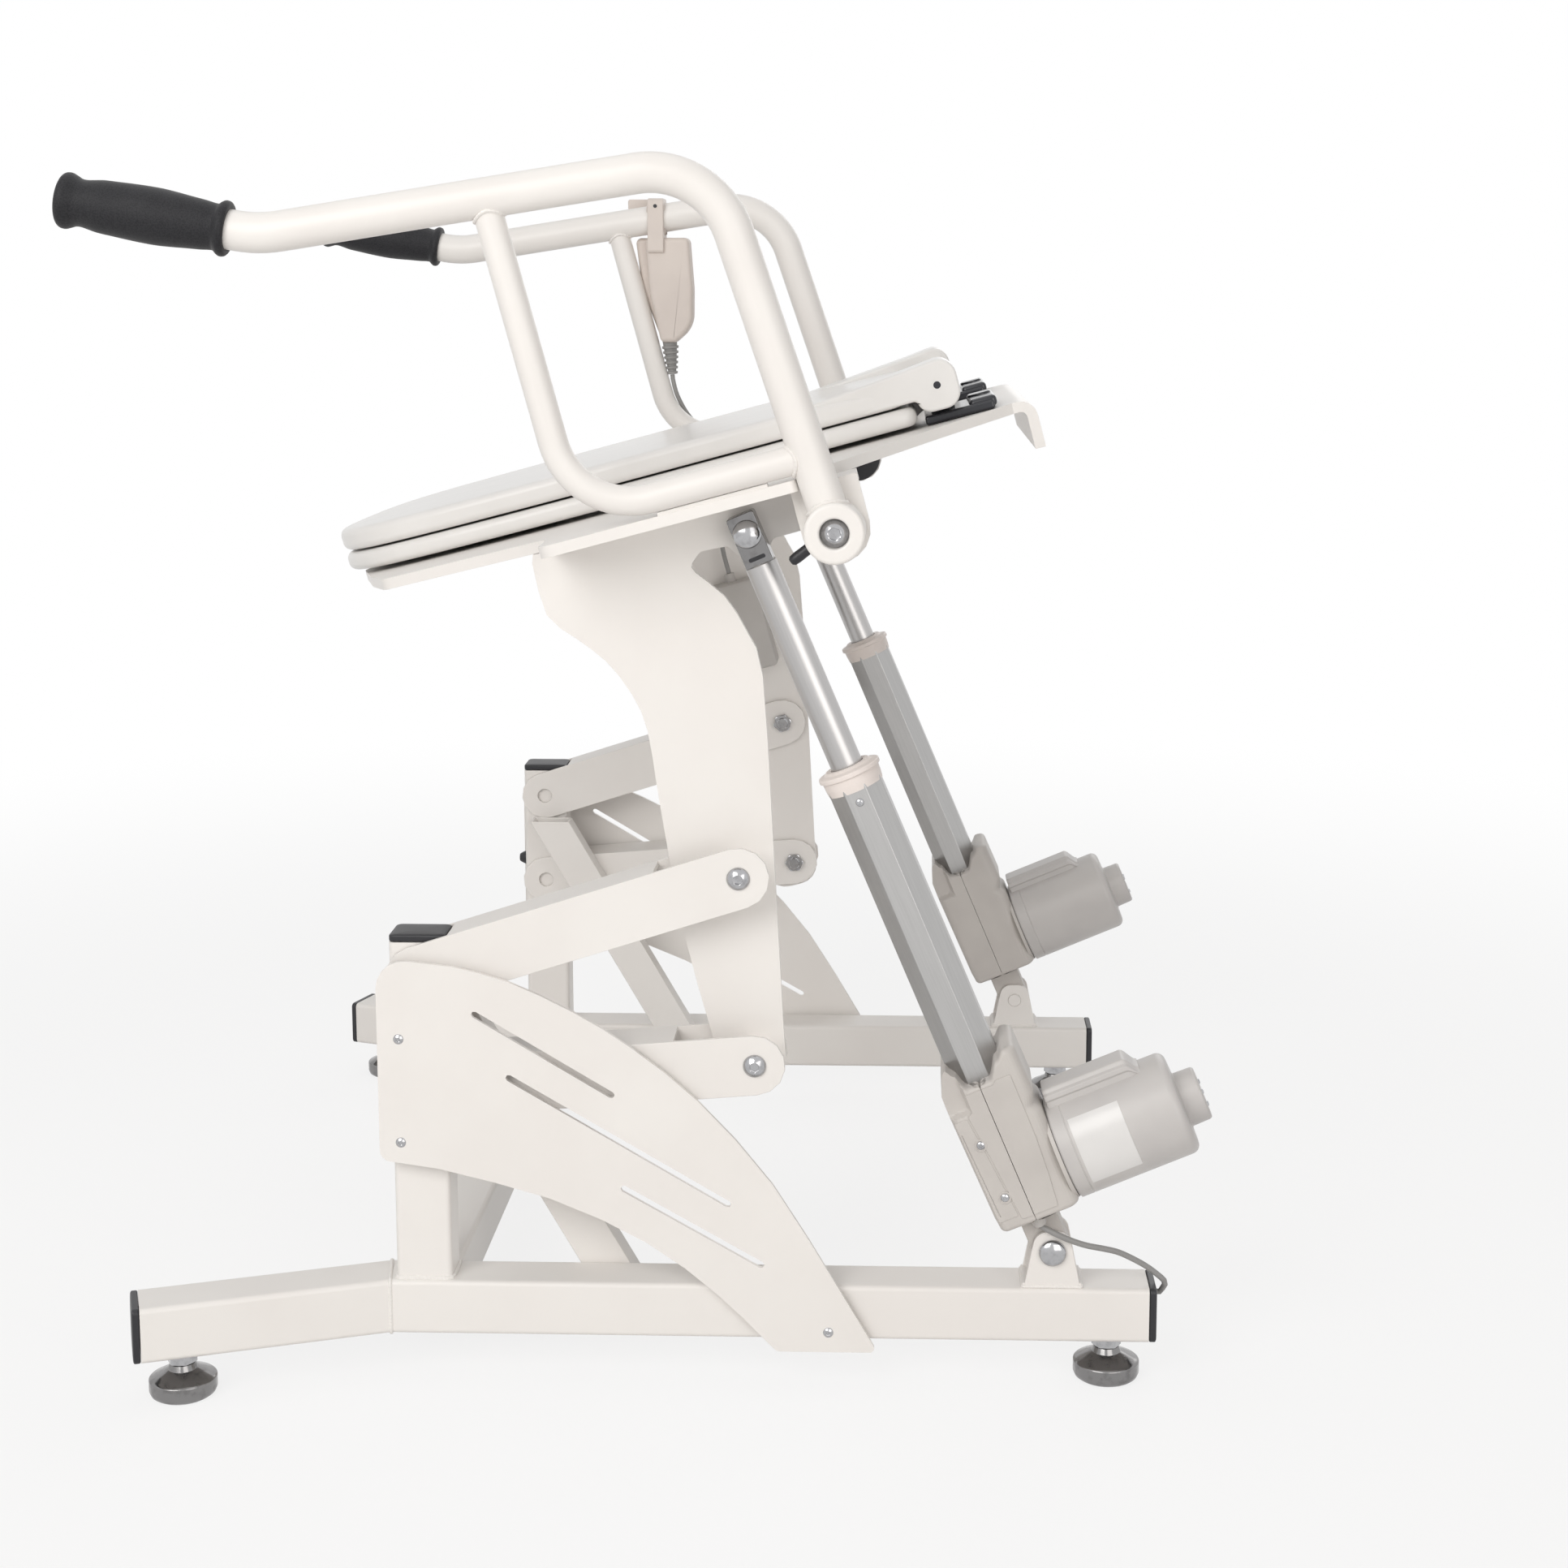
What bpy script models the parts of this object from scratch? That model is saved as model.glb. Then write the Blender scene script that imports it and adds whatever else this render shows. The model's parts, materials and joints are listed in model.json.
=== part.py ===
"""Powered toilet lift.

Two side frames stand on the floor, joined by a cross tube. On each side a pair of
channel arms swings on a post and carries a support plate, which carries the seat
deck. A linear actuator on each rail pushes the plate up. The deck has a hinged seat
ring and lid, and two armrests that swing up and back. A pendant hangs on the right
armrest.

Units are metres and radians. +Z is up, the front is at -Y, the user's left is +X.
Every paired piece is modelled on the left, and the right one is its mirror image.
"""

from math import acos, atan2, ceil, cos, hypot, pi, radians, sin, tan

import bmesh
import bpy
from mathutils import Matrix, Vector

# Clearances
GAP = 0.0003
SINK = 0.0005
TURNING_FIT = 0.0003
OPEN_PIVOT_FIT = 0.0022

# Where the middle of the lift lies along Y, in the frame that these numbers use
MIDDLE_Y = 0.007

# Base frame
RAIL_X = 0.290
RAIL_SIDE = 0.038
RAIL_WALL = 0.002
TUBE_CORNER = 0.003
RAIL_LIFT = 0.031
RAIL_REAR = 0.335
BEND_Y = -0.182
BEND_RADIUS = 0.050
LEG_SPLAY = radians(19.1)
LEG_LENGTH = 0.167
CAP_THICKNESS = 0.005
CAP_PLUG = 0.011
POST_Y = -0.156
POST_WIDTH = 0.030
POST_TOP = 0.304
UPPER_PIVOT_Z = 0.2815
LOWER_PIVOT_Z = 0.204
STUD_RADIUS = 0.006
STUD_REACH = 0.0018
POST_PLUG_CLEARANCE = 0.005
BRACE_FOOT_Y = -0.0375
BRACE_LEAN = radians(30)
BRACE_DEPTH = 0.030
BRACE_WIDTH = 0.020
BRACE_WALL = 0.002
BRACE_TOP = 0.262
BRACE_FOOT_RISE = 0.005
WELD_PAD_LOW = 0.233
WELD_PAD_HIGH = 0.250
WELD_PAD_DEPTH = 0.010
WELD_PAD_INSET = 0.001

# Levelling feet
FOOT_RADIUS = 0.0225
FOOT_STEM = 0.005
FOOT_STEM_TOP = 0.054
NUT_HEIGHT = 0.009
NUT_FLATS = 0.018
FRONT_FOOT_Y = -0.3145
REAR_FOOT_Y = 0.308

# Side cover
COVER_STANDOFF = 0.005
COVER_SHEET = 0.003
COVER_FRONT = -0.1816
COVER_BOSS = 0.006
COVER_CORNER_Z = 0.2968
COVER_CORNER = 0.019
COVER_SCREWS = ((-0.1672, 0.2411), (-0.1672, 0.1696), (0.1190, 0.0396))
SLOT_WIDTH = 0.0044
# The sheet's edges and the two ends of each slot, as world (y, z)
COVER_UPPER_EDGE = (
    (-0.1300, 0.2910),
    (-0.0945, 0.2815),
    (-0.0500, 0.2605),
    (-0.0118, 0.2364),
    (0.0326, 0.1999),
    (0.0819, 0.1430),
    (0.1266, 0.0691),
    (0.1480, 0.0330),
)
COVER_LOWER_EDGE = (
    (0.0780, 0.0320),
    (0.0443, 0.0657),
    (-0.0029, 0.1013),
    (-0.0675, 0.1316),
    (-0.1421, 0.1515),
)
COVER_FOOT = ((0.1520, 0.0257), (0.0843, 0.0257))
COVER_FOOT_CORNERS = (0.003, 0.006)
COVER_FRONT_FOOT_Z = 0.1572
COVER_FRONT_CORNER = 0.008
COVER_SLOTS = (
    ((-0.1161, 0.2585), (-0.0254, 0.2040)),
    ((-0.0939, 0.2151), (0.0520, 0.1291)),
    ((-0.0178, 0.1391), (0.0741, 0.0868)),
)

# Linkage
CHANNEL_WIDTH = 0.0374
CHANNEL_WALL = 0.003
CHANNEL_HEIGHT = 0.041
WEB_START = 0.028
WEB_STOP = 0.053
PIVOT_COLLAR = 0.0105
OPEN_PIVOT_COLLAR = 0.012
UPPER_ARM_LENGTH = 0.226
UPPER_ARM_SLOPE = radians(17.67)
ARM_BOLT_RADIUS = 0.005
ARM_BOLT_HEAD = 0.0078
ARM_BOLT_HEAD_HEIGHT = 0.0038
NUT_THICKNESS = 0.005

# Seat frame, measured from the upper pivot: u runs back along the deck, v up from it
SEAT_TILT = radians(15)
PLATE_PIVOT_U = -0.0231
PLATE_PIVOT_V = -0.1261
PLATE_PLAY = 0.0019
PLATE_SHEET = 0.005
DRIVE_U = 0.065
DRIVE_V = 0.218
LOBE_RADIUS = 0.017
TAIL_U = 0.108
TAIL_LOW = 0.210
# The support plate's front and rear edges, as (u, v)
PLATE_FRONT_EDGE = (
    (-0.0793, 0.1986),
    (-0.0650, 0.1790),
    (-0.0497, 0.1590),
    (-0.0389, 0.1329),
    (-0.0354, 0.1064),
    (-0.0403, 0.0621),
    (-0.0488, -0.0304),
)
PLATE_REAR_EDGE = (
    (0.0297, 0.0305),
    (0.0487, 0.1234),
    (0.0466, 0.1528),
    (0.0380, 0.1810),
    (0.0237, 0.2006),
    (0.0233, 0.2074),
    (0.0312, 0.2135),
)
DECK_BOTTOM = 0.240
DECK_SHEET = 0.0075
DECK_NOSE = -0.236
DECK_REAR = 0.2605
DECK_HALF_WIDTH = 0.285
# The deck's front and rear corners on one side: x, u and each corner's radius
DECK_FRONT_CORNERS = ((0.183, -0.210, 0.060), (0.249, -0.187, 0.012), (0.262, -0.140, 0.100))
DECK_REAR_CORNERS = ((0.262, 0.150, 0.020), (0.205, 0.200, 0.030))
DECK_NOSE_CORNER = (0.087, 0.020)
WING_ROOT_X = 0.313
WING_X = 0.350
WING_FRONT = -0.062
WING_REAR = 0.1075
LIP_HALF_WIDTH = 0.150
LIP_DROP = 0.0355
LIP_BEND = 0.012
OPENING_U = -0.035
OPENING_HALF_WIDTH = 0.110
OPENING_HALF_LENGTH = 0.135
REST_PAD_WIDTH = 0.012
REST_PAD_FRONT = 0.018
REST_PAD_REAR = 0.090

# Seat ring and lid
SEAT_HALF_WIDTH = 0.185
SEAT_FRONT = -0.250
SEAT_REAR = 0.190
# The seat's outer edge: shares of its half width, and how far behind its front they lie
SEAT_CURVE = ((0.40, 0.003), (0.68, 0.016), (0.86, 0.046), (0.96, 0.105), (1.0, 0.190), (0.985, 0.320))
RING_LIFT = 0.0035
RING_THICKNESS = 0.0135
RING_EDGE = 0.004
RING_HOLE_U = -0.046
RING_HOLE_HALF_WIDTH = 0.105
RING_HOLE_HALF_LENGTH = 0.132
LID_GAP = 0.0015
LID_THICKNESS = 0.016
LID_EDGE = 0.005
LID_REAR_RISE = 0.006
LID_REAR_INSET = 0.006
CHEEK_LENGTH = 0.100
BUMPER_RADIUS = 0.008
BUMPERS = ((0.110, -0.170), (0.145, 0.080))
RING_LUG_RADIUS = 0.009
RING_LUG_ROOT = 0.0055
SEAT_PIN_U = 0.209
SEAT_PIN_RISE = 0.027
SEAT_PIN_RADIUS = 0.003
KNUCKLE_HALF_WIDTH = 0.0145
KNUCKLE_HALF_HEIGHT = 0.0175
KNUCKLE_CORNER = 0.012
KNUCKLE_WIDTH = 0.030
HINGE_INSET = 0.115
HINGE_LEAF = 0.0247
HINGE_FOOT_MARGIN = 0.005
HINGE_FOOT_WIDTH = 0.095
HINGE_FOOT_HEIGHT = 0.007
HINGE_BLOCK_HEIGHT = 0.014
HINGE_FRONT = 0.195
HINGE_REAR = 0.245
KNOB_RADIUS = 0.0075
KNOB_HEIGHT = 0.008

# Armrests
ARMREST_X = 0.347
HUB_U = 0.1235
HUB_V = 0.2095
HUB_RADIUS = 0.0195
HUB_LENGTH = 0.032
HUB_START = 0.334
HUB_BOLT = 0.005
HUB_HEAD = 0.0092
HUB_HEAD_HEIGHT = 0.005
HUB_SINK = 0.006
HUB_WASHER = 0.012
HUB_NUT = 0.008
EAR_X = 0.325
EAR_SHEET = 0.006
EAR_RADIUS = 0.022
EAR_FLANGE = 0.006
EAR_FLANGE_X = 0.290
TUBE_RADIUS = 0.0127
THIN_TUBE_RADIUS = 0.0095
TOP_CORNER_U = 0.108
TOP_CORNER_V = 0.451
TOP_BEND = 0.055
GRIP_CORNER_U = -0.1765
GRIP_CORNER_V = 0.4812
GRIP_BEND = 0.080
GRIP_SLOPE = radians(25)
GRIP_START = 0.0185
GRIP_LENGTH = 0.108
GRIP_RADIUS = 0.0178
GRIP_NECK = 0.0148
GRIP_FLANGE = 0.0176
GRIP_RIM = 0.0065
GRIP_WALL_END = 0.012
THIN_TUBE_U = -0.0335
THIN_TUBE_V = 0.2595
THIN_TUBE_BEND = 0.050
LEVER_RADIUS = 0.021
LEVER_THICKNESS = 0.008
LEVER_GAP = 0.0005
LEVER_TIP_U = -0.0342
LEVER_TIP_V = -0.0144
LEVER_STUB = 0.0035

# Actuator, measured from its lower pin: y across the axis towards the motor, z along it
ACTUATOR_OFFSET = 0.001
DRIVE_PIN_Y = 0.2696
DRIVE_PIN_RISE = 0.025
DRIVE_PIN = 0.005
DRIVE_HEAD = 0.0095
DRIVE_HEAD_HEIGHT = 0.004
BRACKET_WIDTH = 0.032
BRACKET_LENGTH = 0.040
BRACKET_SHEET = 0.003
BRACKET_EAR = 0.014
BRACKET_CORNER = 0.010
LUG_WIDTH = 0.024
LUG_RADIUS = 0.013
GEARBOX_WIDTH = 0.060
GEARBOX_FRONT = -0.026
GEARBOX_REAR = 0.032
GEARBOX_BOTTOM = 0.028
GEARBOX_TOP = 0.136
GEARBOX_EDGE = 0.008
GEAR_CAVITY = 0.0195
GEAR_CAVITY_LOW = 0.050
GEAR_CAVITY_HIGH = 0.075
MOTOR_RADIUS = 0.0355
MOTOR_Z = 0.0603
MOTOR_END = 0.119
MOTOR_BOSS = 0.0175
MOTOR_BOSS_END = 0.134
RIDGE_START = 0.035
RIDGE_END = 0.100
RIDGE_TOP = 0.1055
RIDGE_WIDTH = 0.030
OUTER_FLATS = 0.036
OUTER_BORE = 0.0123
OUTER_END = 0.346
COLLAR_RADIUS = 0.020
COLLAR_END = 0.358
SHOULDER_WALL = 0.004
SHOULDER_HEIGHT = 0.007
ROD_RADIUS = 0.01075
ROD_START = 0.300
ROD_BORE_END = 0.480
ROD_END_HALF = 0.0095
ROD_END_WIDTH = 0.018
ROD_END_BELOW = 0.022
ROD_END_ABOVE = 0.0135
SCREW_RADIUS = 0.006
SCREW_START = 0.040
SCREW_END = 0.330
WHEEL_RADIUS = 0.018
WHEEL_LOW = 0.0555
WHEEL_HIGH = 0.0685

# Pendant, measured from the armrest tube's centre line, hanging plumb
PENDANT_U = 0.0015
PENDANT_DEPTH = 0.025
PENDANT_EDGE = 0.003
PENDANT_TOP = -0.0165
PENDANT_BOTTOM_Y = 0.0127
PENDANT_BOTTOM_Z = -0.1100
# Corners of the handset's back and front edges: y, z and radius
PENDANT_BACK = ((0.0350, -0.062, 0.060), (0.0330, -0.088, 0.022))
PENDANT_FACE = (-0.0046, -0.064, 0.080)
CLIP_WIDTH = 0.0197
CLIP_WALL = 0.004
CLIP_HEIGHT = 0.0185
CLIP_FOOT = -0.030
HOOK_REACH = 0.015
RELIEF_RADIUS = 0.0066
RELIEF_LENGTH = 0.029
RELIEF_LEAN = radians(4)
BUTTON_RADIUS = 0.008
BUTTON_PROUD = 0.0017
BUTTON_DEPTH = 0.0027
BUTTON_TRAVEL = 0.0013
RAISE_BUTTON_Z = -0.042
LOWER_BUTTON_Z = -0.068
BUTTON_Y = 0.013

# Control box, on the inner face of the right support plate
BOX_FRONT = -0.032
BOX_REAR = 0.012
BOX_LOW = 0.055
BOX_HIGH = 0.135
BOX_DEPTH = 0.030
GLAND_RADIUS = 0.0045
GLAND_HEIGHT = 0.008

# Cords
LEAD_RADIUS = 0.002
LEAD_X = 0.308
LEAD_EXIT_Y = 0.000
LEAD_GLAND_LENGTH = 0.0035
CORD_RADIUS = 0.002
CORD_STEP = 0.012

# The lead's route from the gearbox's gland over the rail's end, as world points
LEAD_ROUTE = (
    (0.3100, 0.2655, 0.1125),
    (0.3125, 0.2745, 0.1075),
    (0.3095, 0.2930, 0.1000),
    (0.3040, 0.3120, 0.0942),
    (0.2985, 0.3285, 0.0845),
    (0.2935, 0.3395, 0.0755),
    (0.2890, 0.3475, 0.0660),
    (0.2860, 0.3475, 0.0595),
)
# The pendant cord's route, as (x, u, v) points on the seat frame
CORD_ROUTE = (
    (-0.3475, -0.0215, 0.309),
    (-0.3515, -0.0200, 0.296),
    (-0.3570, -0.0165, 0.283),
    (-0.3598, -0.0095, 0.271),
    (-0.3605, 0.0030, 0.2625),
    (-0.3605, 0.0210, 0.2580),
    (-0.3605, 0.0420, 0.2555),
    (-0.3605, 0.0620, 0.2520),
    (-0.3600, 0.0780, 0.2440),
    (-0.3560, 0.0880, 0.2330),
    (-0.3440, 0.0920, 0.2265),
    (-0.3300, 0.0920, 0.2245),
    (-0.3160, 0.0930, 0.2240),
    (-0.3020, 0.0970, 0.2245),
    (-0.2900, 0.1055, 0.2255),
    (-0.2810, 0.1135, 0.2265),
    (-0.2735, 0.1140, 0.2270),
    (-0.2675, 0.1040, 0.2270),
    (-0.2660, 0.0760, 0.2268),
    (-0.2645, 0.0560, 0.2265),
    (-0.2640, 0.0360, 0.2255),
    (-0.2635, 0.0180, 0.2190),
    (-0.2625, 0.0040, 0.2060),
    (-0.2615, -0.0050, 0.1880),
    (-0.2610, -0.0095, 0.1680),
)

RAIL_Z = RAIL_LIFT + RAIL_SIDE / 2
RAIL_TOP = RAIL_LIFT + RAIL_SIDE
COVER_X = RAIL_X + RAIL_SIDE / 2 + COVER_STANDOFF
PLATE_X = RAIL_X - CHANNEL_WIDTH / 2 + CHANNEL_WALL + PLATE_PLAY
ACTUATOR_X = RAIL_X + ACTUATOR_OFFSET
DECK_TOP = DECK_BOTTOM + DECK_SHEET
RING_BOTTOM = DECK_TOP + RING_LIFT
RING_TOP = RING_BOTTOM + RING_THICKNESS
LID_BOTTOM = RING_TOP + LID_GAP
LID_TOP = LID_BOTTOM + LID_THICKNESS
SEAT_PIN_V = DECK_TOP + SEAT_PIN_RISE
HINGE_POST_X = SEAT_HALF_WIDTH - HINGE_INSET
HINGE_FOOT_X = HINGE_POST_X - HINGE_FOOT_MARGIN

for thing in list(bpy.data.objects):
    bpy.data.objects.remove(thing, do_unlink=True)

scene = bpy.context.scene
lift = bpy.data.collections.new("toilet_lift")
workshop = bpy.data.collections.new("shapes_and_axes")
scene.collection.children.link(lift)
scene.collection.children.link(workshop)

# Which way a flat outline's own x, y and thickness run once it is placed
AXES = {
    "XY": Matrix.Identity(4),
    "YZ": Matrix(((0, 0, 1, 0), (1, 0, 0, 0), (0, 1, 0, 0), (0, 0, 0, 1))),
    "ZX": Matrix(((0, 1, 0, 0), (0, 0, 1, 0), (1, 0, 0, 0), (0, 0, 0, 1))),
}


def finish(name, colour, roughness, metallic=0.0):
    """A plain paint, plastic or metal."""
    look = bpy.data.materials.new(name)
    look.use_nodes = True
    shader = look.node_tree.nodes["Principled BSDF"]
    shader.inputs["Base Color"].default_value = (*colour, 1.0)
    shader.inputs["Roughness"].default_value = roughness
    shader.inputs["Metallic"].default_value = metallic
    return look


WHITE_PAINT = finish("white_powder_coat", (0.86, 0.85, 0.82), 0.35)
WHITE_PLASTIC = finish("white_seat_plastic", (0.84, 0.83, 0.80), 0.28)
GREY_PLASTIC = finish("light_grey_housing", (0.60, 0.57, 0.54), 0.45)
BEIGE_PLASTIC = finish("warm_grey_handset", (0.68, 0.62, 0.57), 0.5)
BLACK_PLASTIC = finish("black_moulded_plastic", (0.025, 0.025, 0.028), 0.5)
BLACK_FOAM = finish("black_grip_rubber", (0.045, 0.045, 0.047), 0.8)
CHROME = finish("polished_steel", (0.62, 0.62, 0.63), 0.18, 1.0)
ALUMINIUM = finish("anodised_aluminium", (0.55, 0.54, 0.53), 0.38, 1.0)
CORD_PLASTIC = finish("grey_cord_sheath", (0.24, 0.23, 0.23), 0.5)


def frame(name, place, turn=0.0, spin=0.0, parent=None):
    """An empty on a joint's axis, or at a tube's end, for pieces to sit in."""
    spot = bpy.data.objects.new(name, None)
    workshop.objects.link(spot)
    spot.empty_display_size = 0.05
    spot.location = place
    spot.rotation_euler = (turn, 0.0, spin)
    spot.parent = parent
    bpy.context.view_layer.update()
    return spot


def shape(mesh):
    """A loose shape, kept out of the render until it is made a piece."""
    made = bpy.data.objects.new("shape", mesh)
    workshop.objects.link(made)
    made.hide_render = True
    made.display_type = "WIRE"
    return made


def welded(source, outwards=True):
    """The evaluated object as one mesh, with its doubled points merged."""
    bpy.context.view_layer.update()
    evaluated = source.evaluated_get(bpy.context.evaluated_depsgraph_get())
    mesh = bpy.data.meshes.new_from_object(evaluated)
    work = bmesh.new()
    work.from_mesh(mesh)
    bmesh.ops.remove_doubles(work, verts=work.verts, dist=0.00001)
    if outwards:
        bmesh.ops.recalc_face_normals(work, faces=work.faces)
    work.to_mesh(mesh)
    work.free()
    return mesh


def used_up(source, **how):
    """The welded mesh of a helper object, which is then removed."""
    mesh = welded(source, **how)
    bpy.data.objects.remove(source, do_unlink=True)
    return mesh


def poly_curve(runs, cyclic, flat):
    """A curve object of straight-segment splines."""
    curve = bpy.data.curves.new("curve", "CURVE")
    curve.dimensions = "2D" if flat else "3D"
    for run in runs:
        spline = curve.splines.new("POLY")
        spline.points.add(len(run) - 1)
        for point, place in zip(spline.points, run):
            x, y, *rest = place
            point.co = (x, y, rest[0] if rest else 0.0, 1.0)
        spline.use_cyclic_u = cyclic
    made = bpy.data.objects.new("curve", curve)
    workshop.objects.link(made)
    return made


def plate(outlines, low, high, plane="YZ", edge=0.0):
    """A flat piece from closed outlines: the first is the outside, the others are holes."""
    source = poly_curve(outlines, cyclic=True, flat=True)
    source.data.fill_mode = "BOTH"
    source.data.extrude = (high - low) / 2 - edge
    source.data.bevel_depth = edge
    source.data.bevel_resolution = 1
    source.data.offset = -edge
    mesh = used_up(source)
    mesh.transform(AXES[plane] @ Matrix.Translation((0, 0, (low + high) / 2)))
    return shape(mesh)


def tube(path, radius, resolution=3):
    """A round bar along a path of points."""
    source = poly_curve([path], cyclic=False, flat=False)
    source.data.bevel_depth = radius
    source.data.bevel_resolution = resolution
    source.data.use_fill_caps = True
    return shape(used_up(source))


def square_tube(path, side, wall, corner):
    """A hollow square tube along a level path, open at both ends."""
    half = side / 2
    section = poly_curve([rounded(rectangle(0, 0, half, half, corner), 2)], cyclic=True, flat=True)
    source = poly_curve([path], cyclic=False, flat=False)
    source.data.bevel_mode = "OBJECT"
    source.data.bevel_object = section
    source.data.twist_mode = "Z_UP"
    made = shape(used_up(source))
    bpy.data.objects.remove(section, do_unlink=True)
    skin = made.modifiers.new("wall", "SOLIDIFY")
    skin.thickness = wall
    skin.offset = -1
    skin.use_even_offset = True
    return shape(used_up(made))


def turned(profile, sides=16, axis="XY", closed=False):
    """A turned shape: (radius, height) points run down the outer side, top to bottom."""
    mesh = bpy.data.meshes.new("profile")
    links = [(i, i + 1) for i in range(len(profile) - 1)]
    if closed:
        links.append((len(profile) - 1, 0))
    mesh.from_pydata([(r, 0.0, h) for r, h in profile], links, [])
    source = shape(mesh)
    screw = source.modifiers.new("turn", "SCREW")
    screw.steps = sides
    screw.render_steps = sides
    screw.use_merge_vertices = True
    screw.merge_threshold = 0.00001
    mesh = used_up(source)
    mesh.transform(AXES[axis])
    return shape(mesh)


def moved(made, x=0.0, y=0.0, z=0.0, turn=0.0):
    """Turns a shape about X, then shifts it."""
    made.data.transform(Matrix.Translation((x, y, z)) @ Matrix.Rotation(turn, 4, "X"))
    return made


def box(low, high, edge=0.0, segments=2):
    """A block between two corners, with its edges rounded."""
    work = bmesh.new()
    bmesh.ops.create_cube(work, size=1.0)
    size = [b - a for a, b in zip(low, high)]
    bmesh.ops.scale(work, vec=size, verts=work.verts)
    bmesh.ops.translate(work, vec=[(a + b) / 2 for a, b in zip(low, high)], verts=work.verts)
    if edge:
        bmesh.ops.bevel(work, geom=work.edges[:], offset=edge, segments=segments, profile=0.5, affect="EDGES")
    mesh = bpy.data.meshes.new("box")
    work.to_mesh(mesh)
    work.free()
    return shape(mesh)


def pin(radius, start, end, y=0.0, z=0.0, sides=16):
    """A plain cylinder along X between two X values."""
    work = bmesh.new()
    length = end - start
    bmesh.ops.create_cone(work, cap_ends=True, segments=sides, radius1=radius, radius2=radius, depth=length)
    mesh = bpy.data.meshes.new("pin")
    work.to_mesh(mesh)
    work.free()
    mesh.transform(Matrix.Translation(((start + end) / 2, y, z)) @ AXES["YZ"])
    return shape(mesh)


def upright(radius, low, high, x=0.0, y=0.0, sides=16):
    """A plain cylinder along Z."""
    work = bmesh.new()
    length = high - low
    bmesh.ops.create_cone(work, cap_ends=True, segments=sides, radius1=radius, radius2=radius, depth=length)
    mesh = bpy.data.meshes.new("upright")
    work.to_mesh(mesh)
    work.free()
    mesh.transform(Matrix.Translation((x, y, (low + high) / 2)))
    return shape(mesh)


def combined(base, operation, tools):
    """The base with each tool joined to it or cut from it."""
    for tool in tools:
        change = base.modifiers.new("combine", "BOOLEAN")
        change.operation = operation
        change.object = tool
    mesh = welded(base, outwards=False)
    for used in (base, *tools):
        bpy.data.objects.remove(used, do_unlink=True)
    return shape(mesh)


def cut(base, *tools):
    return combined(base, "DIFFERENCE", tools)


def join(base, *tools):
    return combined(base, "UNION", tools)


def piece(name, made, look, parent=None):
    """Makes a shape a named piece of the lift."""
    made.name = name
    made.data.name = name
    made.data.materials.clear()
    made.data.materials.append(look)
    workshop.objects.unlink(made)
    lift.objects.link(made)
    made.hide_render = False
    made.display_type = "TEXTURED"
    made.parent = parent
    made.data.shade_smooth()
    made.data.set_sharp_from_angle(angle=radians(35))
    return made


def pair(name, made, look, left=None, right=None):
    """The left piece and its mirror image, each in its own frame."""
    mesh = made.data.copy()
    mesh.transform(Matrix.Diagonal((-1, 1, 1, 1)))
    mesh.flip_normals()
    piece("left_" + name, made, look, left)
    piece("right_" + name, shape(mesh), look, right or left)


def rectangle(x, y, half_x, half_y, corner=0.0):
    """Corners of a rectangle, anticlockwise, each with its radius."""
    return [(x - half_x, y - half_y, corner), (x + half_x, y - half_y, corner),
            (x + half_x, y + half_y, corner), (x - half_x, y + half_y, corner)]


def rectangle_points(x, y, half_x, half_y):
    """The same corners, left sharp."""
    return [(a, b) for a, b, _ in rectangle(x, y, half_x, half_y)]


def rounded(corners, steps=4):
    """Points along straight runs whose corners, (x, y, radius), are arcs."""
    points = []
    for i, (x, y, radius) in enumerate(corners):
        here = Vector((x, y))
        if not radius:
            points.append((x, y))
            continue
        back = (Vector(corners[i - 1][:2]) - here).normalized()
        ahead = (Vector(corners[(i + 1) % len(corners)][:2]) - here).normalized()
        half = back.angle(ahead) / 2
        centre = here + (back + ahead).normalized() * radius / sin(half)
        start = here + back * radius / tan(half) - centre
        sweep = pi - 2 * half
        side = 1 if back.x * ahead.y - back.y * ahead.x < 0 else -1
        count = max(2, ceil(steps * sweep / (pi / 2)))
        for k in range(count + 1):
            angle = side * sweep * k / count
            points.append((centre.x + start.x * cos(angle) - start.y * sin(angle),
                           centre.y + start.x * sin(angle) + start.y * cos(angle)))
    return points


def smooth(points, steps=3):
    """A soft curve through the points, each stretch between two of them in steps."""
    ends = [2 * Vector(points[0]) - Vector(points[1]), 2 * Vector(points[-1]) - Vector(points[-2])]
    knots = [ends[0], *map(Vector, points), ends[1]]
    curve = []
    for a, b, c, d in zip(knots, knots[1:], knots[2:], knots[3:]):
        for k in range(steps):
            t = k / steps
            curve.append(tuple(0.5 * (2 * b + (c - a) * t + (2 * a - 5 * b + 4 * c - d) * t ** 2
                                      + (3 * b - a - 3 * c + d) * t ** 3)))
    curve.append(tuple(points[-1]))
    return curve


def evenly(points, step):
    """Points a step apart along a fine curve."""
    fine = [Vector(p) for p in smooth(points, 12)]
    lengths = [0.0]
    for a, b in zip(fine, fine[1:]):
        lengths.append(lengths[-1] + (b - a).length)
    count = round(lengths[-1] / step)
    even = []
    i = 0
    for k in range(count + 1):
        target = lengths[-1] * k / count
        while i < len(fine) - 2 and lengths[i + 1] < target:
            i += 1
        share = (target - lengths[i]) / (lengths[i + 1] - lengths[i])
        even.append(tuple(fine[i].lerp(fine[i + 1], share)))
    return even


def oval(x, y, half_x, half_y, sides, start=0.0):
    """Points round an ellipse, anticlockwise."""
    return [(x + half_x * cos(start + 2 * pi * k / sides), y + half_y * sin(start + 2 * pi * k / sides))
            for k in range(sides)]


def ring(x, y, radius, sides=12, start=0.0):
    return oval(x, y, radius, radius, sides, start)


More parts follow.
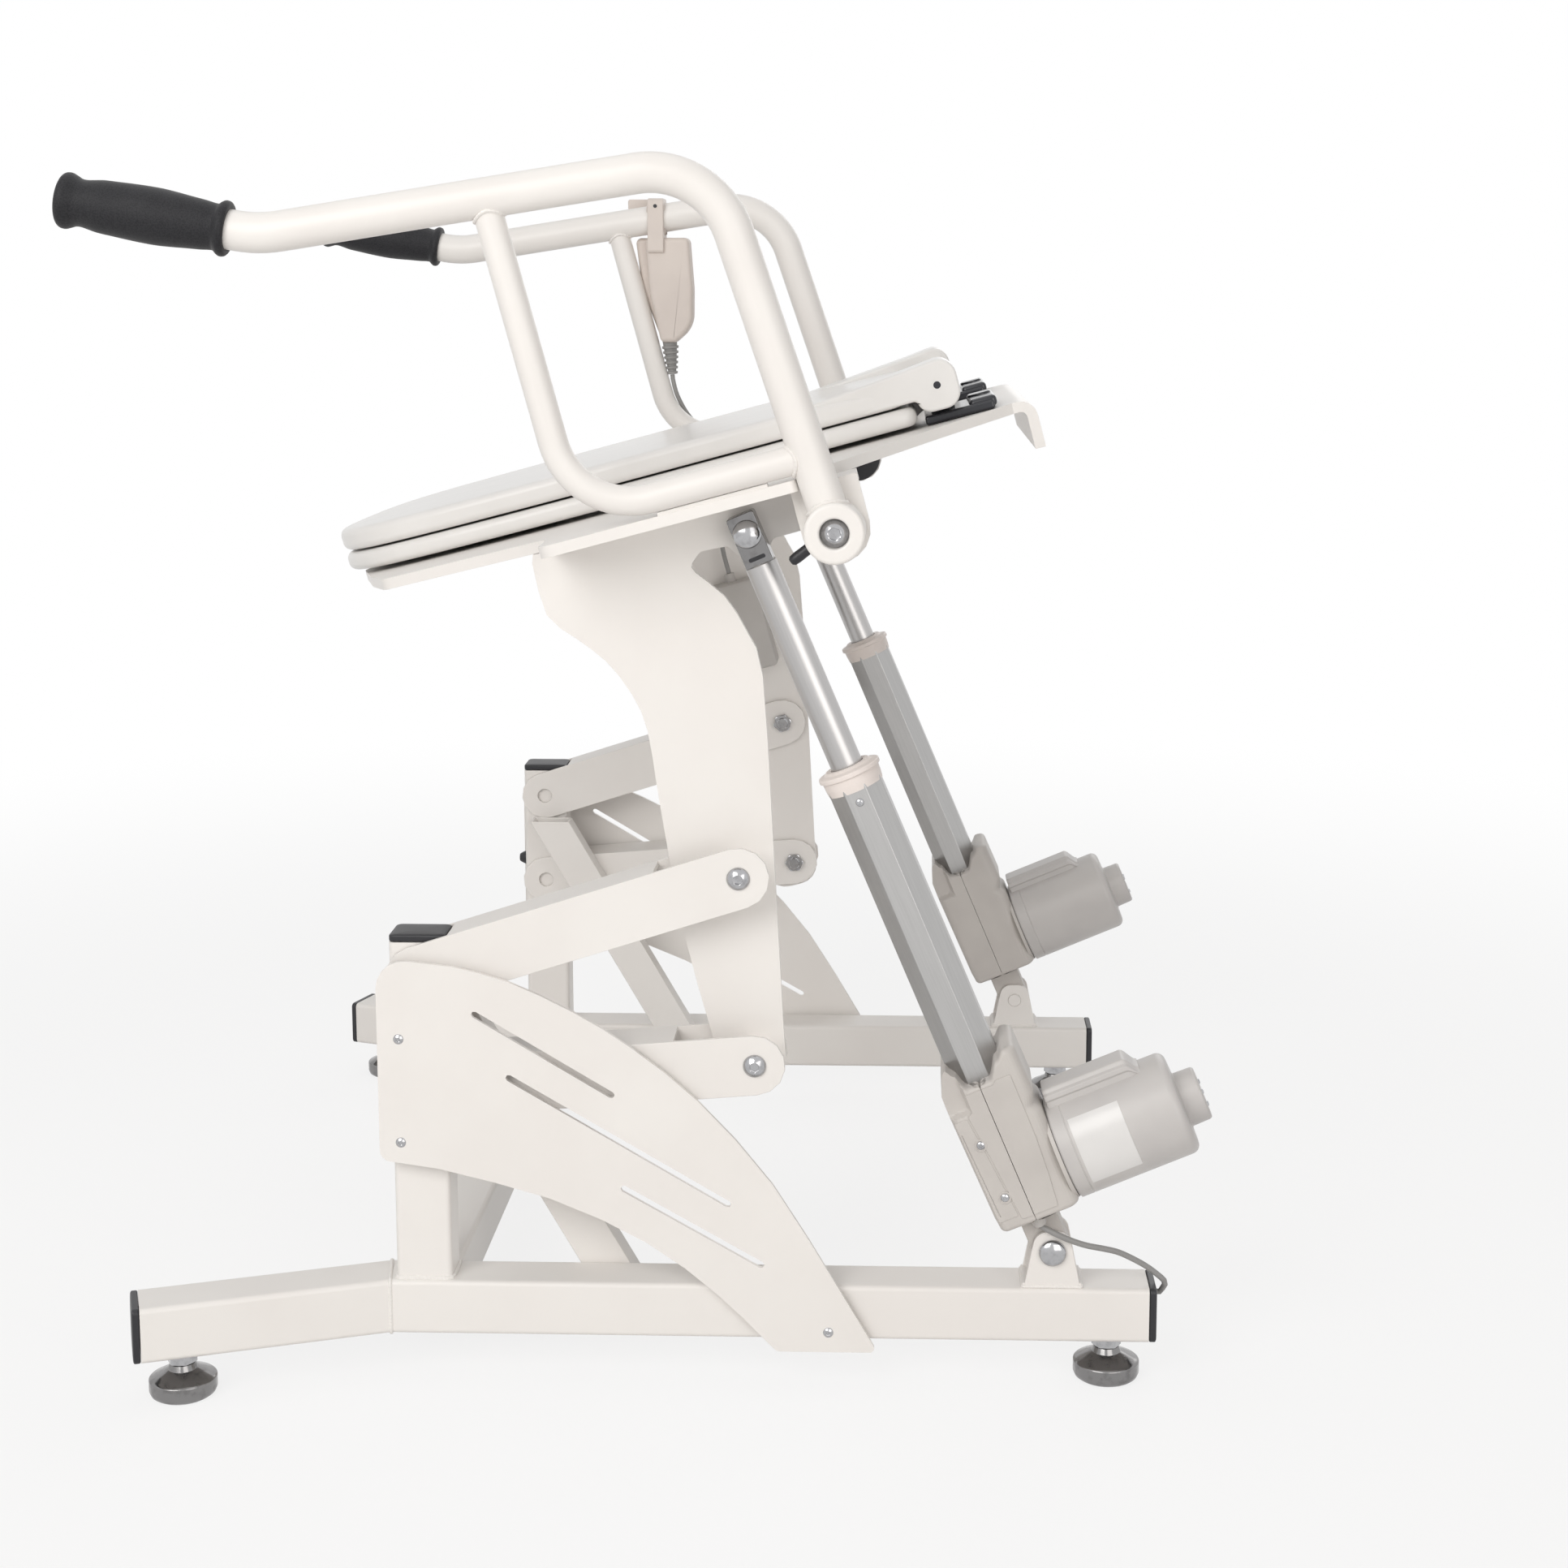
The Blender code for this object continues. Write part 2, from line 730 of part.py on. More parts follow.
def bore_for(shaft, sides=12, fit=TURNING_FIT):
    """The radius of a many-sided bore whose flats clear a round shaft by the fit."""
    return (shaft + fit) / cos(pi / sides)


def capsule(start, start_radius, end, end_radius, steps=6):
    """The outline that wraps two circles."""
    reach = hypot(end[0] - start[0], end[1] - start[1])
    along = atan2(end[1] - start[1], end[0] - start[0])
    lean = acos((start_radius - end_radius) / reach)
    outline = []
    for k in range(steps + 1):
        angle = along - lean + 2 * lean * k / steps
        outline.append((end[0] + end_radius * cos(angle), end[1] + end_radius * sin(angle)))
    for k in range(steps + 1):
        angle = along + lean + 2 * (pi - lean) * k / steps
        outline.append((start[0] + start_radius * cos(angle), start[1] + start_radius * sin(angle)))
    return outline


def line_point(start, end, share):
    return tuple(a + (b - a) * share for a, b in zip(start, end))


# Where the linkage's pivots lie at rest, as (y, z)
A = Vector((POST_Y, UPPER_PIVOT_Z))
B = Vector((POST_Y, LOWER_PIVOT_Z))
C = A + UPPER_ARM_LENGTH * Vector((cos(UPPER_ARM_SLOPE), sin(UPPER_ARM_SLOPE)))


def on_seat(u, v):
    """A point of the seat frame, as world (y, z)."""
    return C + Vector((u * cos(SEAT_TILT) - v * sin(SEAT_TILT), u * sin(SEAT_TILT) + v * cos(SEAT_TILT)))


D = on_seat(PLATE_PIVOT_U, PLATE_PIVOT_V)
E = Vector((DRIVE_PIN_Y, RAIL_TOP + DRIVE_PIN_RISE))
F = on_seat(DRIVE_U, DRIVE_V)
LOWER_ARM_LENGTH = (D - B).length
LOWER_ARM_SLOPE = atan2(D.y - B.y, D.x - B.x)
ACTUATOR_LENGTH = (F - E).length
ACTUATOR_LEAN = atan2(E.x - F.x, F.y - E.y)

upper_axis = frame("upper_arm_axis", (0, A.x, A.y), UPPER_ARM_SLOPE)
lower_axis = frame("lower_arm_axis", (0, B.x, B.y), LOWER_ARM_SLOPE)
seat_axis = frame("seat_frame_axis", (0, C.x, C.y), SEAT_TILT)
actuator_axis = frame("actuator_axis", (0, E.x, E.y), ACTUATOR_LEAN)
armrest_axis = frame("armrest_axis", (0, HUB_U, HUB_V), parent=seat_axis)
seat_pin_axis = frame("seat_pin_axis", (0, SEAT_PIN_U, SEAT_PIN_V), parent=seat_axis)
LEG_END = Vector((RAIL_X + LEG_LENGTH * sin(LEG_SPLAY), BEND_Y - LEG_LENGTH * cos(LEG_SPLAY)))
left_leg_end = frame("left_leg_end", (LEG_END.x, LEG_END.y, RAIL_Z), spin=pi + LEG_SPLAY)
right_leg_end = frame("right_leg_end", (-LEG_END.x, LEG_END.y, RAIL_Z), spin=-pi - LEG_SPLAY)
left_rail_end = frame("left_rail_end", (RAIL_X, RAIL_REAR, RAIL_Z))
right_rail_end = frame("right_rail_end", (-RAIL_X, RAIL_REAR, RAIL_Z))


def leg_x(y):
    """The splayed leg's centre line, as the rail's X at a Y ahead of the bend."""
    return RAIL_X + max(0.0, BEND_Y - y) * tan(LEG_SPLAY)


FEET = {
    "front": (leg_x(FRONT_FOOT_Y), FRONT_FOOT_Y),
    "rear": (RAIL_X, REAR_FOOT_Y),
}


def make_rails():
    """Square tubes, bent outwards at the front, with a welded nut over each foot."""
    corners = [(RAIL_X, RAIL_REAR, 0), (RAIL_X, BEND_Y, BEND_RADIUS), (LEG_END.x, LEG_END.y, 0)]
    path = [(x, y, RAIL_Z) for x, y in rounded(corners, 8)]
    rail = square_tube(path, RAIL_SIDE, RAIL_WALL, TUBE_CORNER)
    for x, y in FEET.values():
        hexagon = ring(x, y, NUT_FLATS / 2 / cos(pi / 6), 6)
        rail = join(rail, plate([hexagon], RAIL_LIFT - NUT_HEIGHT, RAIL_LIFT + SINK, "XY"))
        drill = upright(bore_for(FOOT_STEM), RAIL_LIFT - 2 * NUT_HEIGHT, RAIL_LIFT + 2 * RAIL_WALL, x, y, 12)
        rail = cut(rail, drill)
    pair("rail", rail, WHITE_PAINT)


def make_feet():
    """Chromed domed pads on threaded stems."""
    top = RAIL_LIFT - NUT_HEIGHT - GAP
    profile = [(0, FOOT_STEM_TOP), (FOOT_STEM, FOOT_STEM_TOP), (FOOT_STEM, top),
               (0.40 * FOOT_RADIUS, top), (0.74 * FOOT_RADIUS, 0.78 * top), (0.93 * FOOT_RADIUS, 0.50 * top),
               (FOOT_RADIUS, 0.22 * top), (FOOT_RADIUS, 0.0), (0, 0.0)]
    for end, (x, y) in FEET.items():
        pair(end + "_foot", moved(turned(profile, 16), x, y), CHROME)


def tube_section(x, y, half_x, half_y, wall):
    """A rounded rectangle and the bore inside it."""
    outside = rounded(rectangle(x, y, half_x, half_y, TUBE_CORNER), 2)
    inside = rectangle_points(x, y, half_x - wall, half_y - wall)
    return [outside, inside[::-1]]


def make_posts():
    """Upright rectangular tubes on the rails, with a stud through them for each arm."""
    post = plate(tube_section(RAIL_X, POST_Y, POST_WIDTH / 2, RAIL_SIDE / 2, RAIL_WALL),
                 RAIL_TOP + GAP, POST_TOP, "XY")
    reach = CHANNEL_WIDTH / 2 + STUD_REACH
    studs = [pin(STUD_RADIUS, RAIL_X - reach, RAIL_X + reach, pivot.x, pivot.y, 12) for pivot in (A, B)]
    pair("post", join(post, *studs), WHITE_PAINT)


def end_cap(half_x, half_y, plane, x=0.0, y=0.0, end=0.0, plug=CAP_PLUG):
    """A moulded cap: a flange flush with the tube, and a plug inside it."""
    flange = plate([rounded(rectangle(x, y, half_x, half_y, TUBE_CORNER), 2)],
                   end + GAP, end + CAP_THICKNESS, plane)
    inset = RAIL_WALL + 3 * GAP
    core = plate([rectangle_points(x, y, half_x - inset, half_y - inset)],
                 end - plug, end + GAP + SINK, plane)
    return join(flange, core)


def make_caps():
    """Black caps on the legs, the rails' rear ends and the posts."""
    half = RAIL_SIDE / 2
    pair("leg_cap", end_cap(half, half, "ZX"), BLACK_PLASTIC, left_leg_end, right_leg_end)
    pair("rail_cap", end_cap(half, half, "ZX"), BLACK_PLASTIC, left_rail_end, right_rail_end)
    plug = POST_TOP - UPPER_PIVOT_Z - STUD_RADIUS - POST_PLUG_CLEARANCE
    cap = end_cap(POST_WIDTH / 2, half, "XY", RAIL_X, POST_Y, POST_TOP, plug)
    pair("post_cap", cap, BLACK_PLASTIC)


def make_cross_tube():
    """A square tube between the rails, under the posts."""
    half = RAIL_SIDE / 2
    reach = RAIL_X - half - GAP
    section = tube_section(POST_Y, RAIL_Z, half, half, RAIL_WALL)
    piece("cross_tube", plate(section, -reach, reach), WHITE_PAINT)


def brace_outline(low, high, half):
    """The leaning bar seen from the side, level at both ends."""
    def centre(z):
        return BRACE_FOOT_Y - (z - RAIL_TOP) * tan(BRACE_LEAN)
    return [(centre(low) - half, low), (centre(low) + half, low),
            (centre(high) + half, high), (centre(high) - half, high)]


def make_braces():
    """Rectangular tubes from the rails' inner sides up to the posts, open at the top."""
    half = BRACE_DEPTH / 2 / cos(BRACE_LEAN)
    outer = RAIL_X - RAIL_SIDE / 2 - GAP
    inner = outer - BRACE_WIDTH
    low = RAIL_LIFT + BRACE_FOOT_RISE
    wall = BRACE_WALL / cos(BRACE_LEAN)
    bar = plate([brace_outline(low, BRACE_TOP, half)], inner, outer)
    bore = plate([brace_outline(low + BRACE_WALL, BRACE_TOP + BRACE_WIDTH, half - wall)],
                 inner + BRACE_WALL, outer - BRACE_WALL)
    bar = cut(bar, bore)
    middle = BRACE_FOOT_Y - ((WELD_PAD_LOW + WELD_PAD_HIGH) / 2 - RAIL_TOP) * tan(BRACE_LEAN)
    post_rear = POST_Y + RAIL_SIDE / 2
    pad_rear = min(middle + half / 2, post_rear - WELD_PAD_INSET)
    pad = box((outer - SINK, post_rear - WELD_PAD_INSET - WELD_PAD_DEPTH, WELD_PAD_LOW),
              (RAIL_X - POST_WIDTH / 2 - GAP, pad_rear, WELD_PAD_HIGH))
    pair("brace", join(bar, pad), WHITE_PAINT)


def slot(start, end):
    return capsule(start, SLOT_WIDTH / 2, end, SLOT_WIDTH / 2, 3)[::-1]


def make_side_covers():
    """Flat white sheets beside the linkage, on bosses from the posts and the rails."""
    upper = smooth(COVER_UPPER_EDGE, 2)
    lower = smooth(COVER_LOWER_EDGE, 2)
    shoulder = (COVER_FRONT, (COVER_CORNER_Z + COVER_FRONT_FOOT_Z) / 2, 0)
    top_left = rounded([upper[0] + (0,), (COVER_FRONT, COVER_CORNER_Z, COVER_CORNER), shoulder])[1:-1]
    front_foot = (COVER_FRONT, COVER_FRONT_FOOT_Z, COVER_FRONT_CORNER)
    bottom_left = rounded([shoulder, front_foot, lower[-1] + (0,)])[1:-1]
    foot = [point + (corner,) for point, corner in zip(COVER_FOOT, COVER_FOOT_CORNERS)]
    bottom = rounded([upper[-1] + (0,), *foot, lower[0] + (0,)])[1:-1]
    outside = upper + bottom + lower + bottom_left[::-1] + top_left[::-1]
    slots = [slot(start, end) for start, end in COVER_SLOTS]
    cover = plate([outside[::-1], *[hole[::-1] for hole in slots]], COVER_X, COVER_X + COVER_SHEET)
    post_face = RAIL_X + POST_WIDTH / 2 + GAP
    rail_face = RAIL_X + RAIL_SIDE / 2 + GAP
    faces = (post_face, post_face, rail_face)
    bosses = [pin(COVER_BOSS, face, COVER_X + SINK, y, z, 10) for face, (y, z) in zip(faces, COVER_SCREWS)]
    pair("side_cover", join(cover, *bosses), WHITE_PAINT)


def make_brackets():
    """Folded U brackets welded on the rails, each with the actuator's lower pin."""
    half = BRACKET_WIDTH / 2
    low = RAIL_TOP + GAP
    foot = BRACKET_LENGTH / 2
    outline = rounded([(E.x - foot, low, 0), (E.x + foot, low, 0), (E.x + foot, low + 2 * BRACKET_SHEET, 0),
                       (E.x + BRACKET_EAR, E.y + BRACKET_EAR, BRACKET_CORNER),
                       (E.x - BRACKET_EAR, E.y + BRACKET_EAR, BRACKET_CORNER),
                       (E.x - foot, low + 2 * BRACKET_SHEET, 0)])
    solid = plate([outline], ACTUATOR_X - half, ACTUATOR_X + half)
    inside = box((ACTUATOR_X - half + BRACKET_SHEET, E.x - 2 * foot, low + BRACKET_SHEET),
                 (ACTUATOR_X + half - BRACKET_SHEET, E.x + 2 * foot, E.y + 2 * BRACKET_EAR))
    bracket = cut(solid, inside)
    shank = pin(DRIVE_PIN, ACTUATOR_X - half - DRIVE_HEAD_HEIGHT, ACTUATOR_X + half + 2 * SINK, E.x, E.y)
    head = pin(DRIVE_HEAD, ACTUATOR_X + half - SINK, ACTUATOR_X + half + DRIVE_HEAD_HEIGHT, E.x, E.y)
    pair("actuator_bracket", join(bracket, shank, head), WHITE_PAINT)


def channel_arm(length):
    """A U channel with round ends, open below, whose web stops short of both ends."""
    radius = CHANNEL_HEIGHT / 2
    half = CHANNEL_WIDTH / 2
    solid = plate([capsule((0, 0), radius, (length, 0), radius, 7), ring(0, 0, bore_for(STUD_RADIUS))[::-1],
                   ring(length, 0, bore_for(ARM_BOLT_RADIUS))[::-1]], RAIL_X - half, RAIL_X + half)
    clear = 2 * radius
    web = radius - CHANNEL_WALL
    inside = plate([[(-clear, -clear), (length + clear, -clear), (length + clear, clear),
                     (length - WEB_STOP, clear), (length - WEB_STOP, web), (WEB_START, web),
                     (WEB_START, clear), (-clear, clear)]],
                   RAIL_X - half + CHANNEL_WALL, RAIL_X + half - CHANNEL_WALL)
    return cut(solid, inside)


def arm_bolt(y):
    """A button-head bolt through an arm's free end, with its nut inside."""
    outer = RAIL_X + CHANNEL_WIDTH / 2 + GAP
    inner = RAIL_X - CHANNEL_WIDTH / 2 - GAP
    profile = [(0, outer + ARM_BOLT_HEAD_HEIGHT), (0.55 * ARM_BOLT_HEAD, outer + ARM_BOLT_HEAD_HEIGHT),
               (0.9 * ARM_BOLT_HEAD, outer + 0.6 * ARM_BOLT_HEAD_HEIGHT), (ARM_BOLT_HEAD, outer),
               (ARM_BOLT_RADIUS, outer), (ARM_BOLT_RADIUS, inner), (ARM_BOLT_HEAD, inner),
               (ARM_BOLT_HEAD, inner - NUT_THICKNESS), (0, inner - NUT_THICKNESS)]
    return moved(turned(profile, 12, "YZ"), y=y)


def make_arms():
    """Two parallel channel arms on each side, and the bolts at their free ends."""
    pair("upper_arm", channel_arm(UPPER_ARM_LENGTH), WHITE_PAINT, upper_axis)
    pair("lower_arm", channel_arm(LOWER_ARM_LENGTH), WHITE_PAINT, lower_axis)
    pair("upper_pivot_bolt", arm_bolt(UPPER_ARM_LENGTH), CHROME, upper_axis)
    pair("lower_pivot_bolt", arm_bolt(LOWER_ARM_LENGTH), CHROME, lower_axis)


def make_support_plates():
    """Flat white sheets that carry the deck, wide at the top and round at the actuator."""
    top = DECK_BOTTOM - GAP
    foot_u, foot_v = PLATE_PIVOT_U, PLATE_PIVOT_V
    shoulder = (PLATE_FRONT_EDGE[0][0], top - 0.006)
    front = smooth([shoulder, *PLATE_FRONT_EDGE, (foot_u - 0.0260, foot_v + 0.0200)], 2)
    foot = rounded([(foot_u - 0.0270, foot_v + 0.0150, 0), (foot_u - 0.0290, foot_v - 0.0220, 0.018),
                    (foot_u + 0.0155, foot_v - 0.0220, 0.018), (foot_u + 0.0225, foot_v + 0.0150, 0)])
    rear = smooth(PLATE_REAR_EDGE, 2)
    lobe = [(DRIVE_U + LOBE_RADIUS * cos(a), DRIVE_V + LOBE_RADIUS * sin(a))
            for a in [radians(angle) for angle in range(200, 331, 26)]]
    tail = [(TAIL_U, TAIL_LOW), (TAIL_U, top)]
    outline = front + foot + rear + lobe + tail + [(shoulder[0] + 0.002, top)]
    collar = (PLATE_X + PLATE_SHEET - SINK, RAIL_X + CHANNEL_WIDTH / 2 - CHANNEL_WALL - GAP)
    bore = ring(0, 0, bore_for(ARM_BOLT_RADIUS))[::-1]
    open_bore = ring(foot_u, foot_v, bore_for(ARM_BOLT_RADIUS, fit=OPEN_PIVOT_FIT))[::-1]
    sheet = plate([outline, bore, open_bore], PLATE_X, PLATE_X + PLATE_SHEET)
    upper = plate([ring(0, 0, PIVOT_COLLAR), bore], *collar)
    lower = plate([ring(foot_u, foot_v, OPEN_PIVOT_COLLAR), open_bore], *collar)
    pair("support_plate", join(sheet, upper, lower), WHITE_PAINT, seat_axis)


def mirrored(half):
    """A half outline at +X, from front to back, and its mirror image back to the front."""
    return half + [(-x, y, *rest) for x, y, *rest in half[::-1]]


def make_deck():
    """The flat deck with its wings, rear lip, armrest ears and rest pads."""
    nose_x, nose_corner = DECK_NOSE_CORNER
    wing = [(DECK_HALF_WIDTH, WING_FRONT - 0.003, 0.006), (WING_X, WING_FRONT, 0.012),
            (WING_X, WING_REAR, 0.006), (WING_ROOT_X, WING_REAR + 0.004, 0.004)]
    half = [(nose_x, DECK_NOSE, nose_corner), *DECK_FRONT_CORNERS, *wing, *DECK_REAR_CORNERS,
            (LIP_HALF_WIDTH, DECK_REAR - 0.004, 0)]
    hole = oval(0, OPENING_U, OPENING_HALF_WIDTH, OPENING_HALF_LENGTH, 24)
    deck = plate([rounded(mirrored(half)), hole[::-1]], DECK_BOTTOM, DECK_TOP, "XY")
    rear = DECK_REAR + LIP_BEND
    inner = LIP_BEND - DECK_SHEET
    lip = rounded([(DECK_REAR - 0.015, DECK_TOP, 0), (rear, DECK_TOP, LIP_BEND),
                   (rear, DECK_TOP - LIP_DROP, 0), (rear - DECK_SHEET, DECK_TOP - LIP_DROP, 0),
                   (rear - DECK_SHEET, DECK_BOTTOM, inner),
                   (DECK_REAR - 0.015, DECK_BOTTOM, 0)])
    deck = join(deck, plate([lip[::-1]], -LIP_HALF_WIDTH, LIP_HALF_WIDTH))
    for side in (1, -1):
        deck = join(deck, *deck_fittings(side))
    piece("seat_deck", deck, WHITE_PAINT, seat_axis)


def deck_fittings(side):
    """One side's armrest ear with its flange, and the pad that the armrest lies on."""
    def span(near, far):
        return sorted((side * near, side * far))
    front, rear, foot, top = HUB_U - EAR_RADIUS, HUB_U + EAR_RADIUS, HUB_V - EAR_RADIUS, DECK_BOTTOM + SINK
    corner = EAR_RADIUS - 2 * SINK
    ear_outline = rounded([(front, top, 0), (front, foot, corner), (rear, foot, corner), (rear, top, 0)])
    bore = ring(HUB_U, HUB_V, bore_for(HUB_BOLT))
    ear = plate([ear_outline, bore[::-1]], *span(EAR_X, EAR_X + EAR_SHEET))
    low_x, high_x = span(EAR_FLANGE_X, EAR_X + EAR_SHEET - 0.001)
    flange = box((low_x, HUB_U - EAR_RADIUS + 0.001, DECK_BOTTOM - EAR_FLANGE),
                 (high_x, HUB_U + EAR_RADIUS - 0.001, DECK_BOTTOM + 2 * SINK))
    low_x, high_x = span(ARMREST_X - REST_PAD_WIDTH / 2, min(ARMREST_X + REST_PAD_WIDTH / 2, WING_X - 0.001))
    pad = box((low_x, REST_PAD_FRONT, DECK_TOP - SINK),
              (high_x, REST_PAD_REAR, THIN_TUBE_V - THIN_TUBE_RADIUS - GAP))
    return ear, flange, pad


def seat_outline():
    """The outer edge of the seat: egg-shaped in front, square behind."""
    width = SEAT_HALF_WIDTH
    half = [(share * width, SEAT_FRONT + back) for share, back in SEAT_CURVE]
    return smooth([(-x, y) for x, y in half[::-1]] + [(0, SEAT_FRONT)] + half, 2)


def make_ring():
    """The seat ring on its four bumpers, with two lugs on the hinge pins."""
    rear = rounded([(0.985 * SEAT_HALF_WIDTH, 0, 0), (0.93 * SEAT_HALF_WIDTH, SEAT_REAR, 0.012),
                    (-0.93 * SEAT_HALF_WIDTH, SEAT_REAR, 0.012), (-0.985 * SEAT_HALF_WIDTH, 0, 0)])[1:-1]
    hole = oval(0, RING_HOLE_U, RING_HOLE_HALF_WIDTH, RING_HOLE_HALF_LENGTH, 24)
    seat = plate([seat_outline() + rear, hole[::-1]], RING_BOTTOM, RING_TOP, "XY", RING_EDGE)
    bumpers = [upright(BUMPER_RADIUS, DECK_TOP + GAP, RING_BOTTOM + 4 * SINK, side * x, u, 8)
               for side in (1, -1) for x, u in BUMPERS]
    start = HINGE_POST_X + HINGE_LEAF + GAP
    lugs = [ring_lug(side, start) for side in (1, -1)]
    seat = join(seat, *bumpers, *lugs)
    piece("seat_ring", moved(seat, y=-SEAT_PIN_U, z=-SEAT_PIN_V), WHITE_PLASTIC, seat_pin_axis)


def ring_lug(side, start):
    root = (SEAT_REAR - LID_REAR_INSET, RING_BOTTOM + RING_THICKNESS / 2)
    outline = capsule(root, RING_LUG_ROOT, (SEAT_PIN_U, SEAT_PIN_V), RING_LUG_RADIUS)
    bore = ring(SEAT_PIN_U, SEAT_PIN_V, bore_for(SEAT_PIN_RADIUS))
    return plate([outline, bore[::-1]], *sorted((side * start, side * (start + HINGE_LEAF))))


def make_lid():
    """The lid, thicker towards its two rear knuckles."""
    rear_u = SEAT_REAR - LID_REAR_INSET
    rear = rounded([(0.985 * SEAT_HALF_WIDTH, 0, 0), (0.93 * SEAT_HALF_WIDTH, rear_u, 0.012),
                    (-0.93 * SEAT_HALF_WIDTH, rear_u, 0.012), (-0.985 * SEAT_HALF_WIDTH, 0, 0)])[1:-1]
    lid = plate([seat_outline() + rear], LID_BOTTOM, LID_TOP, "XY", LID_EDGE)
    start = HINGE_POST_X + 2 * (HINGE_LEAF + GAP)
    lid = join(lid, *[lid_cheek(side, start) for side in (1, -1)])
    piece("seat_lid", moved(lid, y=-SEAT_PIN_U, z=-SEAT_PIN_V), WHITE_PLASTIC, seat_pin_axis)


def lid_cheek(side, start):
    """The thickened rear side of the lid, with the knuckle round the hinge pin."""
    front = SEAT_PIN_U - KNUCKLE_HALF_WIDTH
    rear = SEAT_PIN_U + KNUCKLE_HALF_WIDTH
    low = SEAT_PIN_V - KNUCKLE_HALF_HEIGHT
    high = SEAT_PIN_V + KNUCKLE_HALF_HEIGHT
    outline = rounded([(SEAT_REAR - CHEEK_LENGTH, LID_BOTTOM + 2 * SINK, 0), (front, LID_BOTTOM + 2 * SINK, 0),
                       (front, low, 0.75 * KNUCKLE_CORNER), (rear, low, KNUCKLE_CORNER),
                       (rear, high, KNUCKLE_CORNER), (front, LID_TOP + LID_REAR_RISE, 0.004),
                       (SEAT_REAR - CHEEK_LENGTH, LID_TOP - 2 * SINK, 0)])
    bore = ring(SEAT_PIN_U, SEAT_PIN_V, bore_for(SEAT_PIN_RADIUS))
    return plate([outline, bore[::-1]], *sorted((side * start, side * (start + KNUCKLE_WIDTH))))


def make_seat_hinges():
    """Dark hinge feet on the deck, each with its post, pin and fixing knob."""
    low = DECK_TOP + GAP
    end = HINGE_FOOT_X + HINGE_FOOT_WIDTH
    foot = box((HINGE_FOOT_X, HINGE_FRONT, low), (end, HINGE_REAR, DECK_TOP + HINGE_FOOT_HEIGHT), 0.0015, 1)
    block = box((HINGE_FOOT_X + 0.001, SEAT_PIN_U + KNUCKLE_HALF_WIDTH + 0.004, low + 0.002),
                (end - 0.001, HINGE_REAR - 0.0005, DECK_TOP + HINGE_BLOCK_HEIGHT), 0.0015, 1)
    post = plate([capsule((SEAT_PIN_U, low + 0.010), 0.009, (SEAT_PIN_U, SEAT_PIN_V), 0.0085)],
                 HINGE_POST_X, HINGE_POST_X + HINGE_LEAF)
    axle_end = HINGE_POST_X + 2 * HINGE_LEAF + KNUCKLE_WIDTH
    axle = pin(SEAT_PIN_RADIUS, HINGE_POST_X + SINK, axle_end, SEAT_PIN_U, SEAT_PIN_V, 12)
    block_top = DECK_TOP + HINGE_BLOCK_HEIGHT
    knob_x = (HINGE_FOOT_X + end) / 2
    knob = upright(KNOB_RADIUS, block_top - SINK, block_top + KNOB_HEIGHT, knob_x, HINGE_REAR - 0.009)
    pair("seat_hinge", join(foot, block, post, axle, knob), BLACK_PLASTIC, seat_axis)


def on_armrest(u, v):
    """A seat frame point, measured from the armrest's hub."""
    return u - HUB_U, v - HUB_V


TOP_CORNER = Vector(on_armrest(TOP_CORNER_U, TOP_CORNER_V))
GRIP_CORNER = Vector(on_armrest(GRIP_CORNER_U, GRIP_CORNER_V))
GRIP_WAY = Vector((-cos(GRIP_SLOPE), sin(GRIP_SLOPE)))
GRIP_FOOT = GRIP_CORNER + GRIP_WAY * GRIP_START
HUB_END = HUB_START + HUB_LENGTH


def make_armrests():
    """Bent tube loops: a main tube from the hub to the grip, and a thin tube under it."""
    hub_side = TOP_CORNER.normalized() * (HUB_BOLT + HUB_RADIUS) / 2
    tip = GRIP_FOOT + GRIP_WAY * (GRIP_LENGTH - GRIP_WALL_END - 0.003)
    main = rounded([(*hub_side, 0), (*TOP_CORNER, TOP_BEND), (*GRIP_CORNER, GRIP_BEND), (*tip, 0)], 5)
    thin_u, thin_v = on_armrest(THIN_TUBE_U, THIN_TUBE_V)
    share_top = (TOP_CORNER.x - thin_u) / (TOP_CORNER.x - GRIP_CORNER.x)
    thin_top = line_point(TOP_CORNER, GRIP_CORNER, share_top)
    thin_end = line_point((0, 0), TOP_CORNER, thin_v / TOP_CORNER.y)
    thin = rounded([(*thin_top, 0), (thin_u, thin_v, THIN_TUBE_BEND), (*thin_end, 0)], 5)
    arm = tube([(ARMREST_X, u, v) for u, v in main], TUBE_RADIUS, 3)
    loop = tube([(ARMREST_X, u, v) for u, v in thin], THIN_TUBE_RADIUS, 2)
    bore = bore_for(HUB_BOLT, 18)
    seat = bore_for(HUB_HEAD, 18)
    washer = EAR_X + EAR_SHEET + GAP
    barrel = turned([(bore, HUB_END - HUB_SINK), (seat, HUB_END - HUB_SINK), (seat, HUB_END),
                     (HUB_RADIUS - 0.0015, HUB_END), (HUB_RADIUS, HUB_END - 0.0015), (HUB_RADIUS, HUB_START),
                     (HUB_WASHER, HUB_START), (HUB_WASHER, washer), (bore, washer)], 18, "YZ", closed=True)
    pair("armrest", join(arm, loop, barrel), WHITE_PAINT, armrest_axis)


